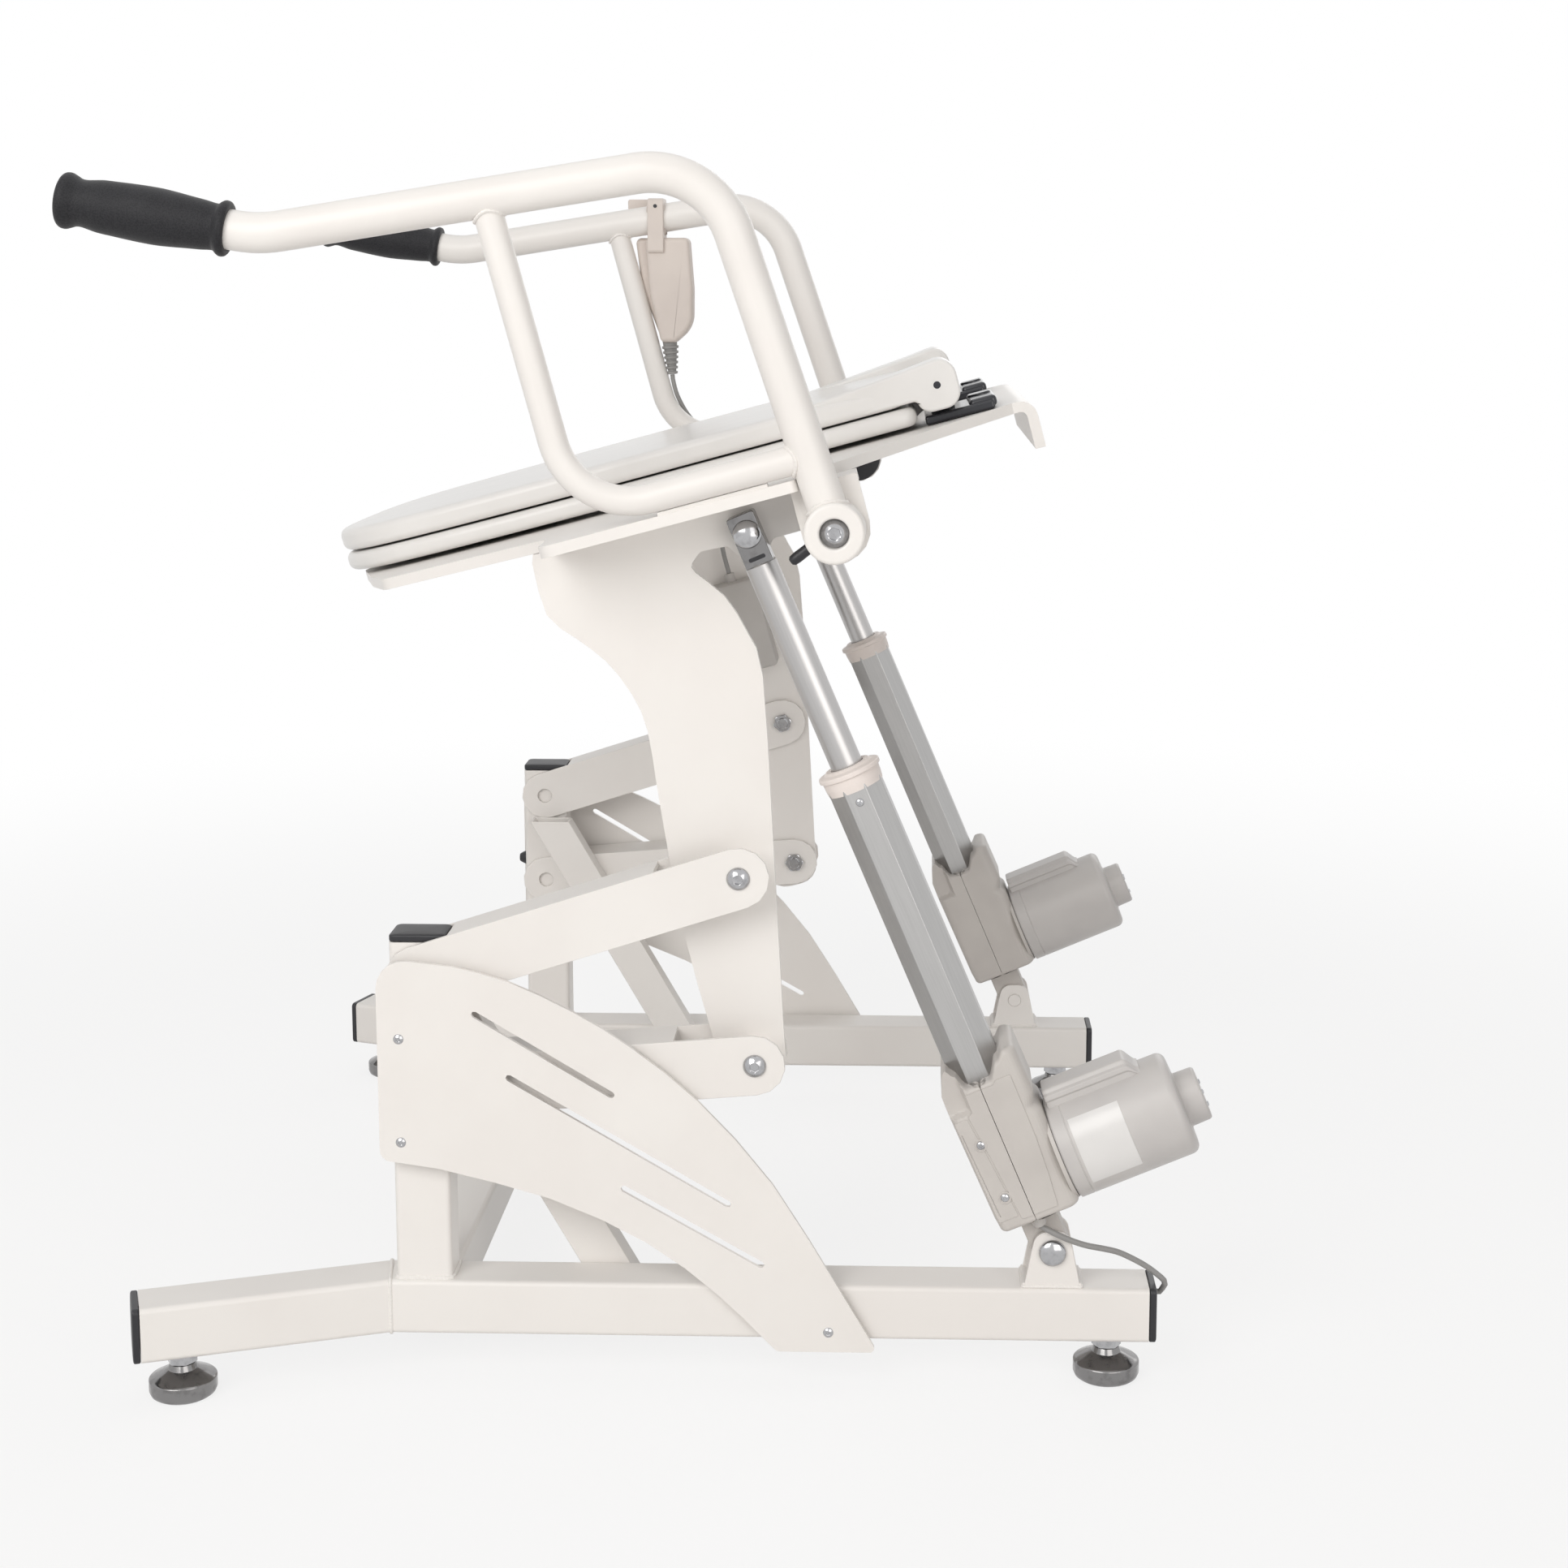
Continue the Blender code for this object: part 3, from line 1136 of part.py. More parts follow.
def make_grips():
    """Black grips over the tubes' front ends."""
    bore = bore_for(TUBE_RADIUS, 14)
    rim = GRIP_LENGTH - GRIP_RIM
    profile = [(0, GRIP_LENGTH), (0.55 * GRIP_FLANGE, GRIP_LENGTH), (0.85 * GRIP_FLANGE, rim + 0.7 * GRIP_RIM),
               (GRIP_FLANGE, rim), (GRIP_NECK, rim - 1.5 * GRIP_RIM), (GRIP_RADIUS, 0.55 * GRIP_LENGTH),
               (GRIP_RADIUS, 0.42 * GRIP_LENGTH), (GRIP_NECK, 0.012), (GRIP_NECK, 0.008),
               (GRIP_FLANGE, 0.005), (GRIP_FLANGE, 0.0), (bore, 0.0),
               (bore, GRIP_LENGTH - GRIP_WALL_END), (0, GRIP_LENGTH - GRIP_WALL_END)]
    turn = atan2(GRIP_WAY.y, GRIP_WAY.x) - pi / 2
    grip = moved(turned(profile, 14), ARMREST_X, GRIP_FOOT.x, GRIP_FOOT.y, turn)
    pair("grip", grip, BLACK_FOAM, armrest_axis)


def make_hub_fittings():
    """The bolts through the hubs, and the sprung release levers behind the ears."""
    head = HUB_END - HUB_SINK + GAP
    lever_out = EAR_X - LEVER_GAP
    lever_in = lever_out - LEVER_THICKNESS
    nut = lever_in - GAP
    bolt = turned([(0, head + HUB_HEAD_HEIGHT), (0.6 * HUB_HEAD, head + HUB_HEAD_HEIGHT),
                   (HUB_HEAD, head + 0.7 * HUB_HEAD_HEIGHT), (HUB_HEAD, head),
                   (HUB_BOLT, head), (HUB_BOLT, nut), (HUB_NUT, nut), (HUB_NUT, nut - NUT_THICKNESS),
                   (0, nut - NUT_THICKNESS)], 12, "YZ")
    pair("armrest_bolt", moved(bolt, y=HUB_U, z=HUB_V), CHROME, seat_axis)
    bore = bore_for(HUB_BOLT, 16)
    disc = turned([(bore, lever_out), (LEVER_RADIUS, lever_out), (LEVER_RADIUS, lever_in), (bore, lever_in)],
                  16, "YZ", closed=True)
    tip = Vector((LEVER_TIP_U, LEVER_TIP_V))
    root = tip.normalized() * (HUB_BOLT + LEVER_RADIUS) / 2
    middle = (lever_out + lever_in) / 2
    stub = tube([(middle, *root), (middle, *tip)], LEVER_STUB, 2)
    pair("release_lever", join(disc, stub), BLACK_PLASTIC, armrest_axis)


def make_gearboxes():
    """Cast housings on the lower pins, hollow for the worm wheel and the screw."""
    half = GEARBOX_WIDTH / 2
    body = box((ACTUATOR_X - half, GEARBOX_FRONT, GEARBOX_BOTTOM),
               (ACTUATOR_X + half, GEARBOX_REAR, GEARBOX_TOP), GEARBOX_EDGE, 2)
    lug = plate([capsule((0, 0), LUG_RADIUS, (0, GEARBOX_BOTTOM + 0.006), LUG_RADIUS)],
                ACTUATOR_X - LUG_WIDTH / 2, ACTUATOR_X + LUG_WIDTH / 2)
    flats = OUTER_FLATS / 2 / cos(pi / 8)
    shoulder = turned([(flats + SHOULDER_WALL, GEARBOX_TOP + SHOULDER_HEIGHT),
                       (flats + SHOULDER_WALL + 0.002, GEARBOX_TOP - 0.002),
                       (flats + GAP, GEARBOX_TOP - 0.002), (flats + GAP, GEARBOX_TOP + SHOULDER_HEIGHT)],
                      16, closed=True)
    gland = upright(0.004, GEARBOX_BOTTOM - LEAD_GLAND_LENGTH, GEARBOX_BOTTOM + 0.004, LEAD_X, LEAD_EXIT_Y, 12)
    body = join(body, lug, moved(shoulder, x=ACTUATOR_X), gland)
    bore = bore_for(SCREW_RADIUS, 14)
    open_top = GEARBOX_TOP + 2 * SINK
    cavity = turned([(0, open_top), (OUTER_BORE, open_top), (OUTER_BORE, GEAR_CAVITY_HIGH),
                     (GEAR_CAVITY, GEAR_CAVITY_HIGH), (GEAR_CAVITY, GEAR_CAVITY_LOW), (bore, GEAR_CAVITY_LOW),
                     (bore, SCREW_START - GAP), (0, SCREW_START - GAP)], 14)
    drill = pin(bore_for(DRIVE_PIN), ACTUATOR_X - LUG_WIDTH, ACTUATOR_X + LUG_WIDTH, sides=12)
    body = cut(body, moved(cavity, x=ACTUATOR_X), drill)
    pair("gearbox", body, GREY_PLASTIC, actuator_axis)


def make_motors():
    """Round motors behind the gearboxes, with a ridge on top and a boss at the end."""
    start = GEARBOX_REAR + GAP
    can = turned([(0, MOTOR_BOSS_END), (MOTOR_BOSS - 2 * SINK, MOTOR_BOSS_END),
                  (MOTOR_BOSS, MOTOR_BOSS_END - 2 * SINK),
                  (MOTOR_BOSS, MOTOR_END), (MOTOR_RADIUS - 0.003, MOTOR_END),
                  (MOTOR_RADIUS, MOTOR_END - 0.003),
                  (MOTOR_RADIUS, start), (0, start)], 20, "ZX")
    can = moved(can, x=ACTUATOR_X, z=MOTOR_Z)
    ridge = box((ACTUATOR_X - RIDGE_WIDTH / 2, RIDGE_START, MOTOR_Z + MOTOR_RADIUS / 2),
                (ACTUATOR_X + RIDGE_WIDTH / 2, RIDGE_END, RIDGE_TOP), 0.005)
    pair("motor", join(can, ridge), GREY_PLASTIC, actuator_axis)


def make_outer_tubes():
    """Eight-sided tubes on the gearboxes, each with a round collar that guides the rod."""
    flats = OUTER_FLATS / 2 / cos(pi / 8)
    octagon = ring(ACTUATOR_X, 0, flats, 8, pi / 8)
    barrel = plate([octagon, ring(ACTUATOR_X, 0, OUTER_BORE, 14)[::-1]], GEARBOX_TOP + GAP, OUTER_END, "XY")
    bore = bore_for(ROD_RADIUS, 16)
    edge = 2 * SINK
    collar = turned([(bore, COLLAR_END), (COLLAR_RADIUS - edge, COLLAR_END), (COLLAR_RADIUS, COLLAR_END - edge),
                     (COLLAR_RADIUS, OUTER_END - SINK), (bore, OUTER_END - SINK)], 16, closed=True)
    pair("actuator_tube", join(barrel, moved(collar, x=ACTUATOR_X)), ALUMINIUM, actuator_axis)


def make_rods():
    """Sliding rods, bored for the screw, each with its end block and bolt."""
    bore = bore_for(SCREW_RADIUS, 16)
    low = ACTUATOR_LENGTH - ROD_END_BELOW
    high = ACTUATOR_LENGTH + ROD_END_ABOVE
    rod = turned([(0, low + 0.001), (ROD_RADIUS, low + 0.001), (ROD_RADIUS, ROD_START), (bore, ROD_START),
                  (bore, ROD_BORE_END), (0, ROD_BORE_END)], 16)
    outline = rounded([(-ROD_END_HALF, low, 0), (ROD_END_HALF, low, 0), (ROD_END_HALF, high, 0.006),
                       (-ROD_END_HALF, high, 0.006)])
    inner = PLATE_X + PLATE_SHEET + SINK
    outer = inner + ROD_END_WIDTH
    block = plate([outline], inner, outer)
    head = pin(DRIVE_HEAD, outer - SINK, outer + DRIVE_HEAD_HEIGHT, 0, ACTUATOR_LENGTH)
    pair("actuator_rod", join(block, moved(rod, x=ACTUATOR_X), head), ALUMINIUM, actuator_axis)


def make_lead_screws():
    """The screws inside the actuators, each with the worm wheel that turns it."""
    profile = [(0, SCREW_END), (SCREW_RADIUS, SCREW_END), (SCREW_RADIUS, WHEEL_HIGH),
               (WHEEL_RADIUS, WHEEL_HIGH), (WHEEL_RADIUS, WHEEL_LOW), (SCREW_RADIUS, WHEEL_LOW),
               (SCREW_RADIUS, SCREW_START), (0, SCREW_START)]
    pair("lead_screw", moved(turned(profile, 12), x=ACTUATOR_X), CHROME, actuator_axis)


def tube_centre(u):
    """The height of the armrest's upper run at u, both measured from the hub."""
    share = (TOP_CORNER.x - u) / (TOP_CORNER.x - GRIP_CORNER.x)
    return TOP_CORNER.y + (GRIP_CORNER.y - TOP_CORNER.y) * share


PENDANT_Y = PENDANT_U - HUB_U
PENDANT_Z = tube_centre(PENDANT_Y)


def hung(made):
    """Puts a shape that is drawn plumb round the tube's centre line on the right armrest."""
    return moved(made, -ARMREST_X, PENDANT_Y, PENDANT_Z, -SEAT_TILT)


def make_pendant():
    """The handset: a rounded body, a clip round the tube, and a strain relief below."""
    half = PENDANT_DEPTH / 2
    outline = rounded([(-0.0082, PENDANT_TOP, 0.005), (0.0317, PENDANT_TOP, 0.005), *PENDANT_BACK,
                       (0.0195, PENDANT_BOTTOM_Z, 0.005), (0.0055, PENDANT_BOTTOM_Z, 0.005), PENDANT_FACE])
    body = plate([outline[::-1]], -half, half, edge=PENDANT_EDGE)
    clip_half = half + CLIP_WALL
    clip_outline = rounded([(CLIP_FOOT, -clip_half, 0.003), (CLIP_HEIGHT, -clip_half, 0.006),
                            (CLIP_HEIGHT, clip_half, 0.006), (CLIP_FOOT, clip_half, 0.003)], 3)
    tube_hole = oval(0, 0, TUBE_RADIUS + 0.0024, TUBE_RADIUS + 0.0006, 20)
    clip = plate([clip_outline, tube_hole[::-1]], -CLIP_WIDTH / 2, CLIP_WIDTH / 2, "ZX")
    hook = box((-clip_half + SINK, -CLIP_WIDTH / 2 - HOOK_REACH, 0.006), (-half, 0, CLIP_HEIGHT - 0.001))
    relief = turned([(0, 0.006), (RELIEF_RADIUS, 0.006), (RELIEF_RADIUS, -0.002),
                     (0.5 * RELIEF_RADIUS, -RELIEF_LENGTH), (0, -RELIEF_LENGTH)], 12)
    relief = moved(relief, y=PENDANT_BOTTOM_Y, z=PENDANT_BOTTOM_Z, turn=RELIEF_LEAN)
    pocket_end = -half + BUTTON_DEPTH + BUTTON_TRAVEL + 2 * GAP
    pockets = [pin(bore_for(BUTTON_RADIUS, 16), -2 * half, pocket_end, BUTTON_Y, z)
               for z in (RAISE_BUTTON_Z, LOWER_BUTTON_Z)]
    pendant = cut(join(body, clip, hook, relief), *pockets)
    piece("pendant", hung(pendant), BEIGE_PLASTIC, armrest_axis)
    for name, z in (("raise_button", RAISE_BUTTON_Z), ("lower_button", LOWER_BUTTON_Z)):
        button = pin(BUTTON_RADIUS, -half - BUTTON_PROUD, -half + BUTTON_DEPTH, BUTTON_Y, z)
        piece(name, hung(button), BLACK_PLASTIC, armrest_axis)


def make_control_box():
    """The box that switches the motors, on the inner face of the right support plate."""
    outer = -PLATE_X + GAP
    housing = box((outer, BOX_FRONT, BOX_LOW), (outer + BOX_DEPTH, BOX_REAR, BOX_HIGH), 0.003)
    gland = upright(GLAND_RADIUS, BOX_HIGH - SINK, BOX_HIGH + GLAND_HEIGHT, outer + BOX_DEPTH / 2,
                    (BOX_FRONT + BOX_REAR) / 2, 12)
    piece("control_box", join(housing, gland), GREY_PLASTIC, seat_axis)


def world_point(home, x, y, z):
    return tuple(home.matrix_world @ Vector((x, y, z)))


def make_cords():
    """The motor's lead over the rail's end, and the pendant's cord to the control box."""
    gland = GEARBOX_BOTTOM - LEAD_GLAND_LENGTH - GAP
    start = [world_point(actuator_axis, LEAD_X, LEAD_EXIT_Y, gland - 0.004 * k) for k in (0, 1)]
    cap_face = RAIL_REAR + CAP_THICKNESS + GAP
    end = [(0.2850, cap_face + 0.004, 0.0580), (0.2850, cap_face, 0.0580)]
    lead = [start[0], *evenly([start[1], *LEAD_ROUTE, end[0]], CORD_STEP), end[1]]
    piece("motor_lead", tube(lead, LEAD_RADIUS, 2), CORD_PLASTIC)
    plumb = armrest_axis.matrix_world @ Matrix.Translation((-ARMREST_X, PENDANT_Y, PENDANT_Z))
    plumb = plumb @ Matrix.Rotation(-SEAT_TILT, 4, "X")
    relief = plumb @ Matrix.Translation((0, PENDANT_BOTTOM_Y, PENDANT_BOTTOM_Z))
    relief = relief @ Matrix.Rotation(RELIEF_LEAN, 4, "X")
    start = [tuple(relief @ Vector((0, 0, -RELIEF_LENGTH - GAP - 0.004 * k))) for k in (0, 1)]
    middle = [world_point(seat_axis, x, u, v) for x, u, v in CORD_ROUTE]
    box_x = -PLATE_X + GAP + BOX_DEPTH / 2
    box_u = (BOX_FRONT + BOX_REAR) / 2
    top = BOX_HIGH + GLAND_HEIGHT + GAP
    end = [world_point(seat_axis, box_x, box_u, top + 0.004 * k) for k in (1, 0)]
    cord = [start[0], *evenly([start[1], *middle, end[0]], CORD_STEP), end[1]]
    piece("pendant_cord", tube(cord, CORD_RADIUS, 2), CORD_PLASTIC)


def stand_over_origin():
    """Moves the lift so that the floor's origin lies under its middle."""
    for thing in bpy.data.objects:
        if thing.parent is None:
            thing.location.y -= MIDDLE_Y


make_rails()
make_feet()
make_posts()
make_caps()
make_cross_tube()
make_braces()
make_side_covers()
make_brackets()
make_arms()
make_support_plates()
make_deck()
make_ring()
make_lid()
make_seat_hinges()
make_armrests()
make_grips()
make_hub_fittings()
make_gearboxes()
make_motors()
make_outer_tubes()
make_rods()
make_lead_screws()
make_pendant()
make_control_box()
make_cords()
stand_over_origin()
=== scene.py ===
# %% [markdown]
# # A powered toilet lift
# The packed model gives every piece its place and says what moves with what. This script
# dresses it: it makes the fine surfaces and the finishes, and sets the lamps and the camera.

import json
import math

import bmesh
import bpy
import numpy as np
from mathutils import Matrix, Vector

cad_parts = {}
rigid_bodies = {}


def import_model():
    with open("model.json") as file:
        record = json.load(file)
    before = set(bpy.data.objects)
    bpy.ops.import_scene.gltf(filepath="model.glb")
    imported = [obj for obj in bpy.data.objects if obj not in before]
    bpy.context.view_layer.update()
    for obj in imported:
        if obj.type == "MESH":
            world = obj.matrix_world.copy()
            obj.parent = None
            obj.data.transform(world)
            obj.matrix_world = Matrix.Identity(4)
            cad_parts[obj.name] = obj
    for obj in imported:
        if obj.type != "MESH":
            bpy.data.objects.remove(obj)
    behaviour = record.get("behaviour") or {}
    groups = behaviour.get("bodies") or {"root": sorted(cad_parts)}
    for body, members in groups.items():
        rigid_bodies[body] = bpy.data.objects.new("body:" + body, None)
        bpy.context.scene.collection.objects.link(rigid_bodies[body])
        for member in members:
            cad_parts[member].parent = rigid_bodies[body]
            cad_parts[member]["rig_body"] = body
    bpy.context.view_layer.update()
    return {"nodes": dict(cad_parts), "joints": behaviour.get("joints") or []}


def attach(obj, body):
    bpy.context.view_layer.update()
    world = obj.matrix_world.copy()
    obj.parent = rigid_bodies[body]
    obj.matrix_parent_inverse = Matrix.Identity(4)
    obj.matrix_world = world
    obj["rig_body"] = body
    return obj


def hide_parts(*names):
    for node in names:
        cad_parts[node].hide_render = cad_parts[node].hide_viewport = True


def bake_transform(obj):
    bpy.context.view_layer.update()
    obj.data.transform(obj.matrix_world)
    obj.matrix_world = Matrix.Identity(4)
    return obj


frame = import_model()

# %% [markdown]
# ## Camera
# The lift stands side on, a little below the camera. A camera's place, its pitch and yaw and
# its lens follow from a few points whose real places are known. The small shift crops the
# frame the way a print is trimmed, and other views keep it, so it stays small.

# %% Place the camera
CAMERA_PLACE = (1.8661, 0.1619, 0.7372)
CAMERA_PITCH = math.radians(8.004)
CAMERA_YAW = math.radians(1.774)
CAMERA_LENS = 55.647
CAMERA_SENSOR = 36.0
CAMERA_SHIFT = (-0.03, -0.10)


def in_scene(name, data):
    """A new object that shows the data, linked to the scene."""
    made = bpy.data.objects.new(name, data)
    bpy.context.scene.collection.objects.link(made)
    return made


def facing(direction):
    """The rotation of a camera or a lamp that looks in a direction."""
    return direction.to_track_quat("-Z", "Y").to_euler()


camera_data = bpy.data.cameras.new("studio_camera")
camera_data.lens = CAMERA_LENS
camera_data.sensor_width = CAMERA_SENSOR
camera_data.shift_x, camera_data.shift_y = CAMERA_SHIFT
camera = in_scene("studio_camera", camera_data)
camera.location = CAMERA_PLACE
flat = math.cos(CAMERA_PITCH)
gaze = Vector((-math.cos(CAMERA_YAW) * flat, -math.sin(CAMERA_YAW) * flat, -math.sin(CAMERA_PITCH)))
camera.rotation_euler = facing(gaze)
bpy.context.scene.camera = camera
print("camera looks along", [round(c, 3) for c in gaze])

# %% [markdown]
# ## Frames to measure in
# The seat, the actuators and the arms each lie at their own slope. A piece is easiest to
# draw square to itself, so each has a frame whose origin is its pivot, taken from the joints,
# and whose X axis is the lift's own.

# %% Frames of the leaning parts
PIVOTS = {joint["name"]: joint["pos_m"] for joint in frame["joints"] if "pos_m" in joint}
SEAT_TILT = math.radians(15)
PLATE_PIVOT = (0, -0.0231, -0.1261)
DRIVE_PIVOT = (0, 0.065, 0.218)


def at(x, y=0.0, z=0.0):
    return Matrix.Translation((x, y, z))


def turned(angle, axis):
    return Matrix.Rotation(angle, 4, axis)


def leaning(pivot, angle):
    """A frame at a pivot, turned about X: (y, z) becomes (y cos - z sin, y sin + z cos)."""
    return at(0, pivot[1], pivot[2]) @ turned(angle, "X")


def slope_between(start, end):
    """The angle of the line from start to end above the Y axis."""
    return math.atan2(end[2] - start[2], end[1] - start[1])


lift_pivot, lower_pivot = PIVOTS["lift"], PIVOTS["lower_arm_swing"]
swing_pivot = PIVOTS["actuator_swing"]
seat = leaning(PIVOTS["seat_tilt"], SEAT_TILT)
plate_foot = seat @ Vector(PLATE_PIVOT)
drive_point = seat @ Vector(DRIVE_PIVOT)
upper_arm = leaning(lift_pivot, slope_between(lift_pivot, PIVOTS["seat_tilt"]))
lower_arm = leaning(lower_pivot, slope_between(lower_pivot, plate_foot))
actuator = leaning(swing_pivot, slope_between(swing_pivot, drive_point) - math.pi / 2)
UPPER_LENGTH = math.dist(lift_pivot, PIVOTS["seat_tilt"])
LOWER_LENGTH = math.dist(lower_pivot, plate_foot)
ACTUATOR_LENGTH = math.dist(swing_pivot, drive_point)
print("arms", round(UPPER_LENGTH, 4), round(LOWER_LENGTH, 4), "actuator", round(ACTUATOR_LENGTH, 4))

# %% [markdown]
# ## Outlines and lines
# Sheet, tube and casting all start as a drawn line. Its corners are arcs where metal is bent
# or a mould is rounded, and it is one soft curve where a thing was shaped by hand or hangs
# freely. Reading points off a line by its running length spaces them evenly.


# %% Outlines
def rounded(corners, steps=10):
    """Straight runs through corners (x, y, radius), with each corner an arc: its centre lies on
    the corner's bisector, radius / sin(half the corner) away."""
    runs = []
    for i, (x, y, radius) in enumerate(corners):
        here = np.array((x, y))
        if not radius:
            runs.append(here[None])
            continue
        back = np.array(corners[i - 1][:2]) - here
        ahead = np.array(corners[(i + 1) % len(corners)][:2]) - here
        back, ahead = back / np.hypot(*back), ahead / np.hypot(*ahead)
        half = math.acos(np.clip(back @ ahead, -1, 1)) / 2
        middle = (back + ahead) / np.hypot(*(back + ahead))
        centre = here + middle * radius / math.sin(half)
        start = here + back * radius / math.tan(half) - centre
        sweep = math.pi - 2 * half
        side = 1 if back[0] * ahead[1] - back[1] * ahead[0] < 0 else -1
        angle = side * np.linspace(0, sweep, max(2, math.ceil(steps * sweep / (math.pi / 2) - 0.01)) + 1)
        runs.append(centre + np.stack([start[0] * np.cos(angle) - start[1] * np.sin(angle),
                                       start[0] * np.sin(angle) + start[1] * np.cos(angle)], -1))
    return np.concatenate(runs)


def rectangle(x, y, half_x, half_y, corner, steps=5):
    """A rectangle's outline, anticlockwise, with round corners."""
    return rounded([(x - half_x, y - half_y, corner), (x + half_x, y - half_y, corner),
                    (x + half_x, y + half_y, corner), (x - half_x, y + half_y, corner)], steps)


def circle(radius, sides):
    """Points round the origin, radius (cos a, sin a)."""
    angle = 2 * np.pi * np.arange(sides) / sides
    return np.stack([radius * np.cos(angle), radius * np.sin(angle)], -1)


def hull_outline(start, start_radius, end, end_radius, steps=14):
    """The outline that wraps two circles: an arc of each, met by their common tangents."""
    reach = math.hypot(end[0] - start[0], end[1] - start[1])
    along = math.atan2(end[1] - start[1], end[0] - start[0])
    lean = math.acos((start_radius - end_radius) / reach)
    far = along + np.linspace(-lean, lean, steps)
    near = along + np.linspace(lean, 2 * math.pi - lean, steps)
    arcs = ((end, end_radius, far), (start, start_radius, near))
    return np.vstack([np.stack([spot[0] + radius * np.cos(angle), spot[1] + radius * np.sin(angle)], -1)
                      for spot, radius, angle in arcs])


print("a square tube's outline has", len(rectangle(0, 0, 0.019, 0.019, 0.0036)), "points")


# %% Lines read by their length
def smooth(points, steps):
    """A soft curve through points: on each stretch a cubic whose slope at a point is half the
    step between that point's neighbours."""
    points = np.asarray(points, float)
    knots = np.vstack([2 * points[0] - points[1], points, 2 * points[-1] - points[-2]])
    a, b, c, d = (knots[k:len(knots) - 3 + k, None] for k in range(4))
    t = (np.arange(steps) / steps)[None, :, None]
    squared, cubed = 2 * a - 5 * b + 4 * c - d, 3 * b - a - 3 * c + d
    curve = 0.5 * (2 * b + (c - a) * t + squared * t ** 2 + cubed * t ** 3)
    return np.vstack([curve.reshape(-1, points.shape[1]), points[-1:]])


def running_length(line):
    """How far along a line each of its points lies: the steps before it, added up."""
    return np.concatenate([[0], np.cumsum(np.linalg.norm(np.diff(line, axis=0), axis=1))])


def read_at(line, marks):
    """The places on a line at given running lengths."""
    run = running_length(line)
    return np.stack([np.interp(marks, run, line[:, k]) for k in range(line.shape[1])], -1)


def evenly(points, step):
    """Points an equal step apart along the soft curve through some points."""
    fine = smooth(points, 12)
    reach = running_length(fine)[-1]
    return read_at(fine, np.linspace(0, reach, round(reach / step) + 1))


def length_of(path):
    return float(running_length(path)[-1])


print("a 10 cm line read at 1 cm has", len(evenly([(0, 0), (0.05, 0), (0.1, 0)], 0.01)), "points")

# %% [markdown]
# ## Surfaces from grids of points
# A turned foot, a bent tube and a cast housing are all one thing to a mesh: rows of points
# with faces between them. Each helper works its grid out with arrays and returns the points
# and the faces, so that a piece can be put together from several before it becomes a mesh.


# %% Turned shapes
def skin(points, wrap=False, caps=(True, True)):
    """Faces over a grid of points, (rows, columns, 3): each joins point (i, j) to (i, j + 1),
    (i + 1, j + 1) and (i + 1, j), and every row closes on itself. With wrap the last row meets
    the first; otherwise flat caps close the two end rows."""
    rows, columns, _ = points.shape
    i, j = np.meshgrid(np.arange(rows if wrap else rows - 1), np.arange(columns), indexing="ij")
    i, j = i.ravel(), j.ravel()
    here, there = i * columns, (i + 1) % rows * columns
    next_j = (j + 1) % columns
    faces = [np.stack([here + j, here + next_j, there + next_j, there + j], -1)]
    if not wrap and caps[0]:
        faces.append(np.arange(columns)[None])
    if not wrap and caps[1]:
        faces.append((rows - 1) * columns + np.arange(columns)[None])
    return points.reshape(-1, 3), faces


AXIS_ROLL = {"Z": 0, "X": 1, "Y": 2}


def lathe(profile, sides=40, axis="Z", spot=(0, 0, 0), closed=False):
    """A turned shape: each (radius, height) of the profile becomes a circle of points round the
    axis at that height. A closed profile makes a ring with a bore."""
    profile = np.asarray(profile, float)
    angle = 2 * np.pi * np.arange(sides) / sides
    r, h = profile[:, :1], profile[:, 1:]
    points = np.stack([r * np.cos(angle), r * np.sin(angle), h + 0 * angle], -1)
    points = np.roll(points, AXIS_ROLL[axis], axis=-1) + np.array(spot)
    return skin(points, wrap=closed, caps=(profile[0, 0] > 0, profile[-1, 0] > 0))


print("a turned stud has", len(lathe([(0, 0), (0.01, 0), (0.01, 0.01), (0, 0.01)])[0]), "points")


# %% Shapes along a path
def directions(path):
    """The way a path runs at each of its points: the sum of its two unit steps there."""
    steps = np.diff(path, axis=0)
    steps /= np.linalg.norm(steps, axis=1, keepdims=True)
    way = np.vstack([steps[:1], steps[:-1] + steps[1:], steps[-1:]])
    return way / np.linalg.norm(way, axis=1, keepdims=True)


def carried(section, path, side, up):
    """A flat section at every point of a path: point + first number * side + second * up."""
    return path[:, None] + section[..., :1] * side[:, None] + section[..., 1:] * up[:, None]


def sweep(path, section, across, wall=None):
    """A section carried along a path, its first number along `across`. A wall makes it a tube:
    the same section, drawn in, comes back along the path."""
    path, section = np.asarray(path, float), np.asarray(section, float)
    way = directions(path)
    side = np.broadcast_to(across, path.shape) - (way * across).sum(1, keepdims=True) * way
    side /= np.linalg.norm(side, axis=1, keepdims=True)
    up = np.cross(way, side)
    outside = carried(section[None], path, side, up)
    if wall is None:
        return skin(outside)
    inside = carried(inset(section, wall)[None], path, side, up)
    return skin(np.concatenate([outside, inside[::-1]]), wrap=True)


def cord_tube(path, radius, sides=14):
    """A round tube on any path: the side direction of each point is the last one's, laid square
    to the way the path runs there, so that the tube never twists."""
    way = directions(path)
    side = np.cross(way[0], (0.3, 0.5, 0.8))
    sides_along = []
    for step in way:
        side = side - (side @ step) * step
        side = side / np.linalg.norm(side)
        sides_along.append(side)
    side = np.array(sides_along)
    thickness = np.broadcast_to(radius, len(path))[:, None, None]
    return skin(carried(thickness * circle(1, sides)[None], path, side, np.cross(way, side)))


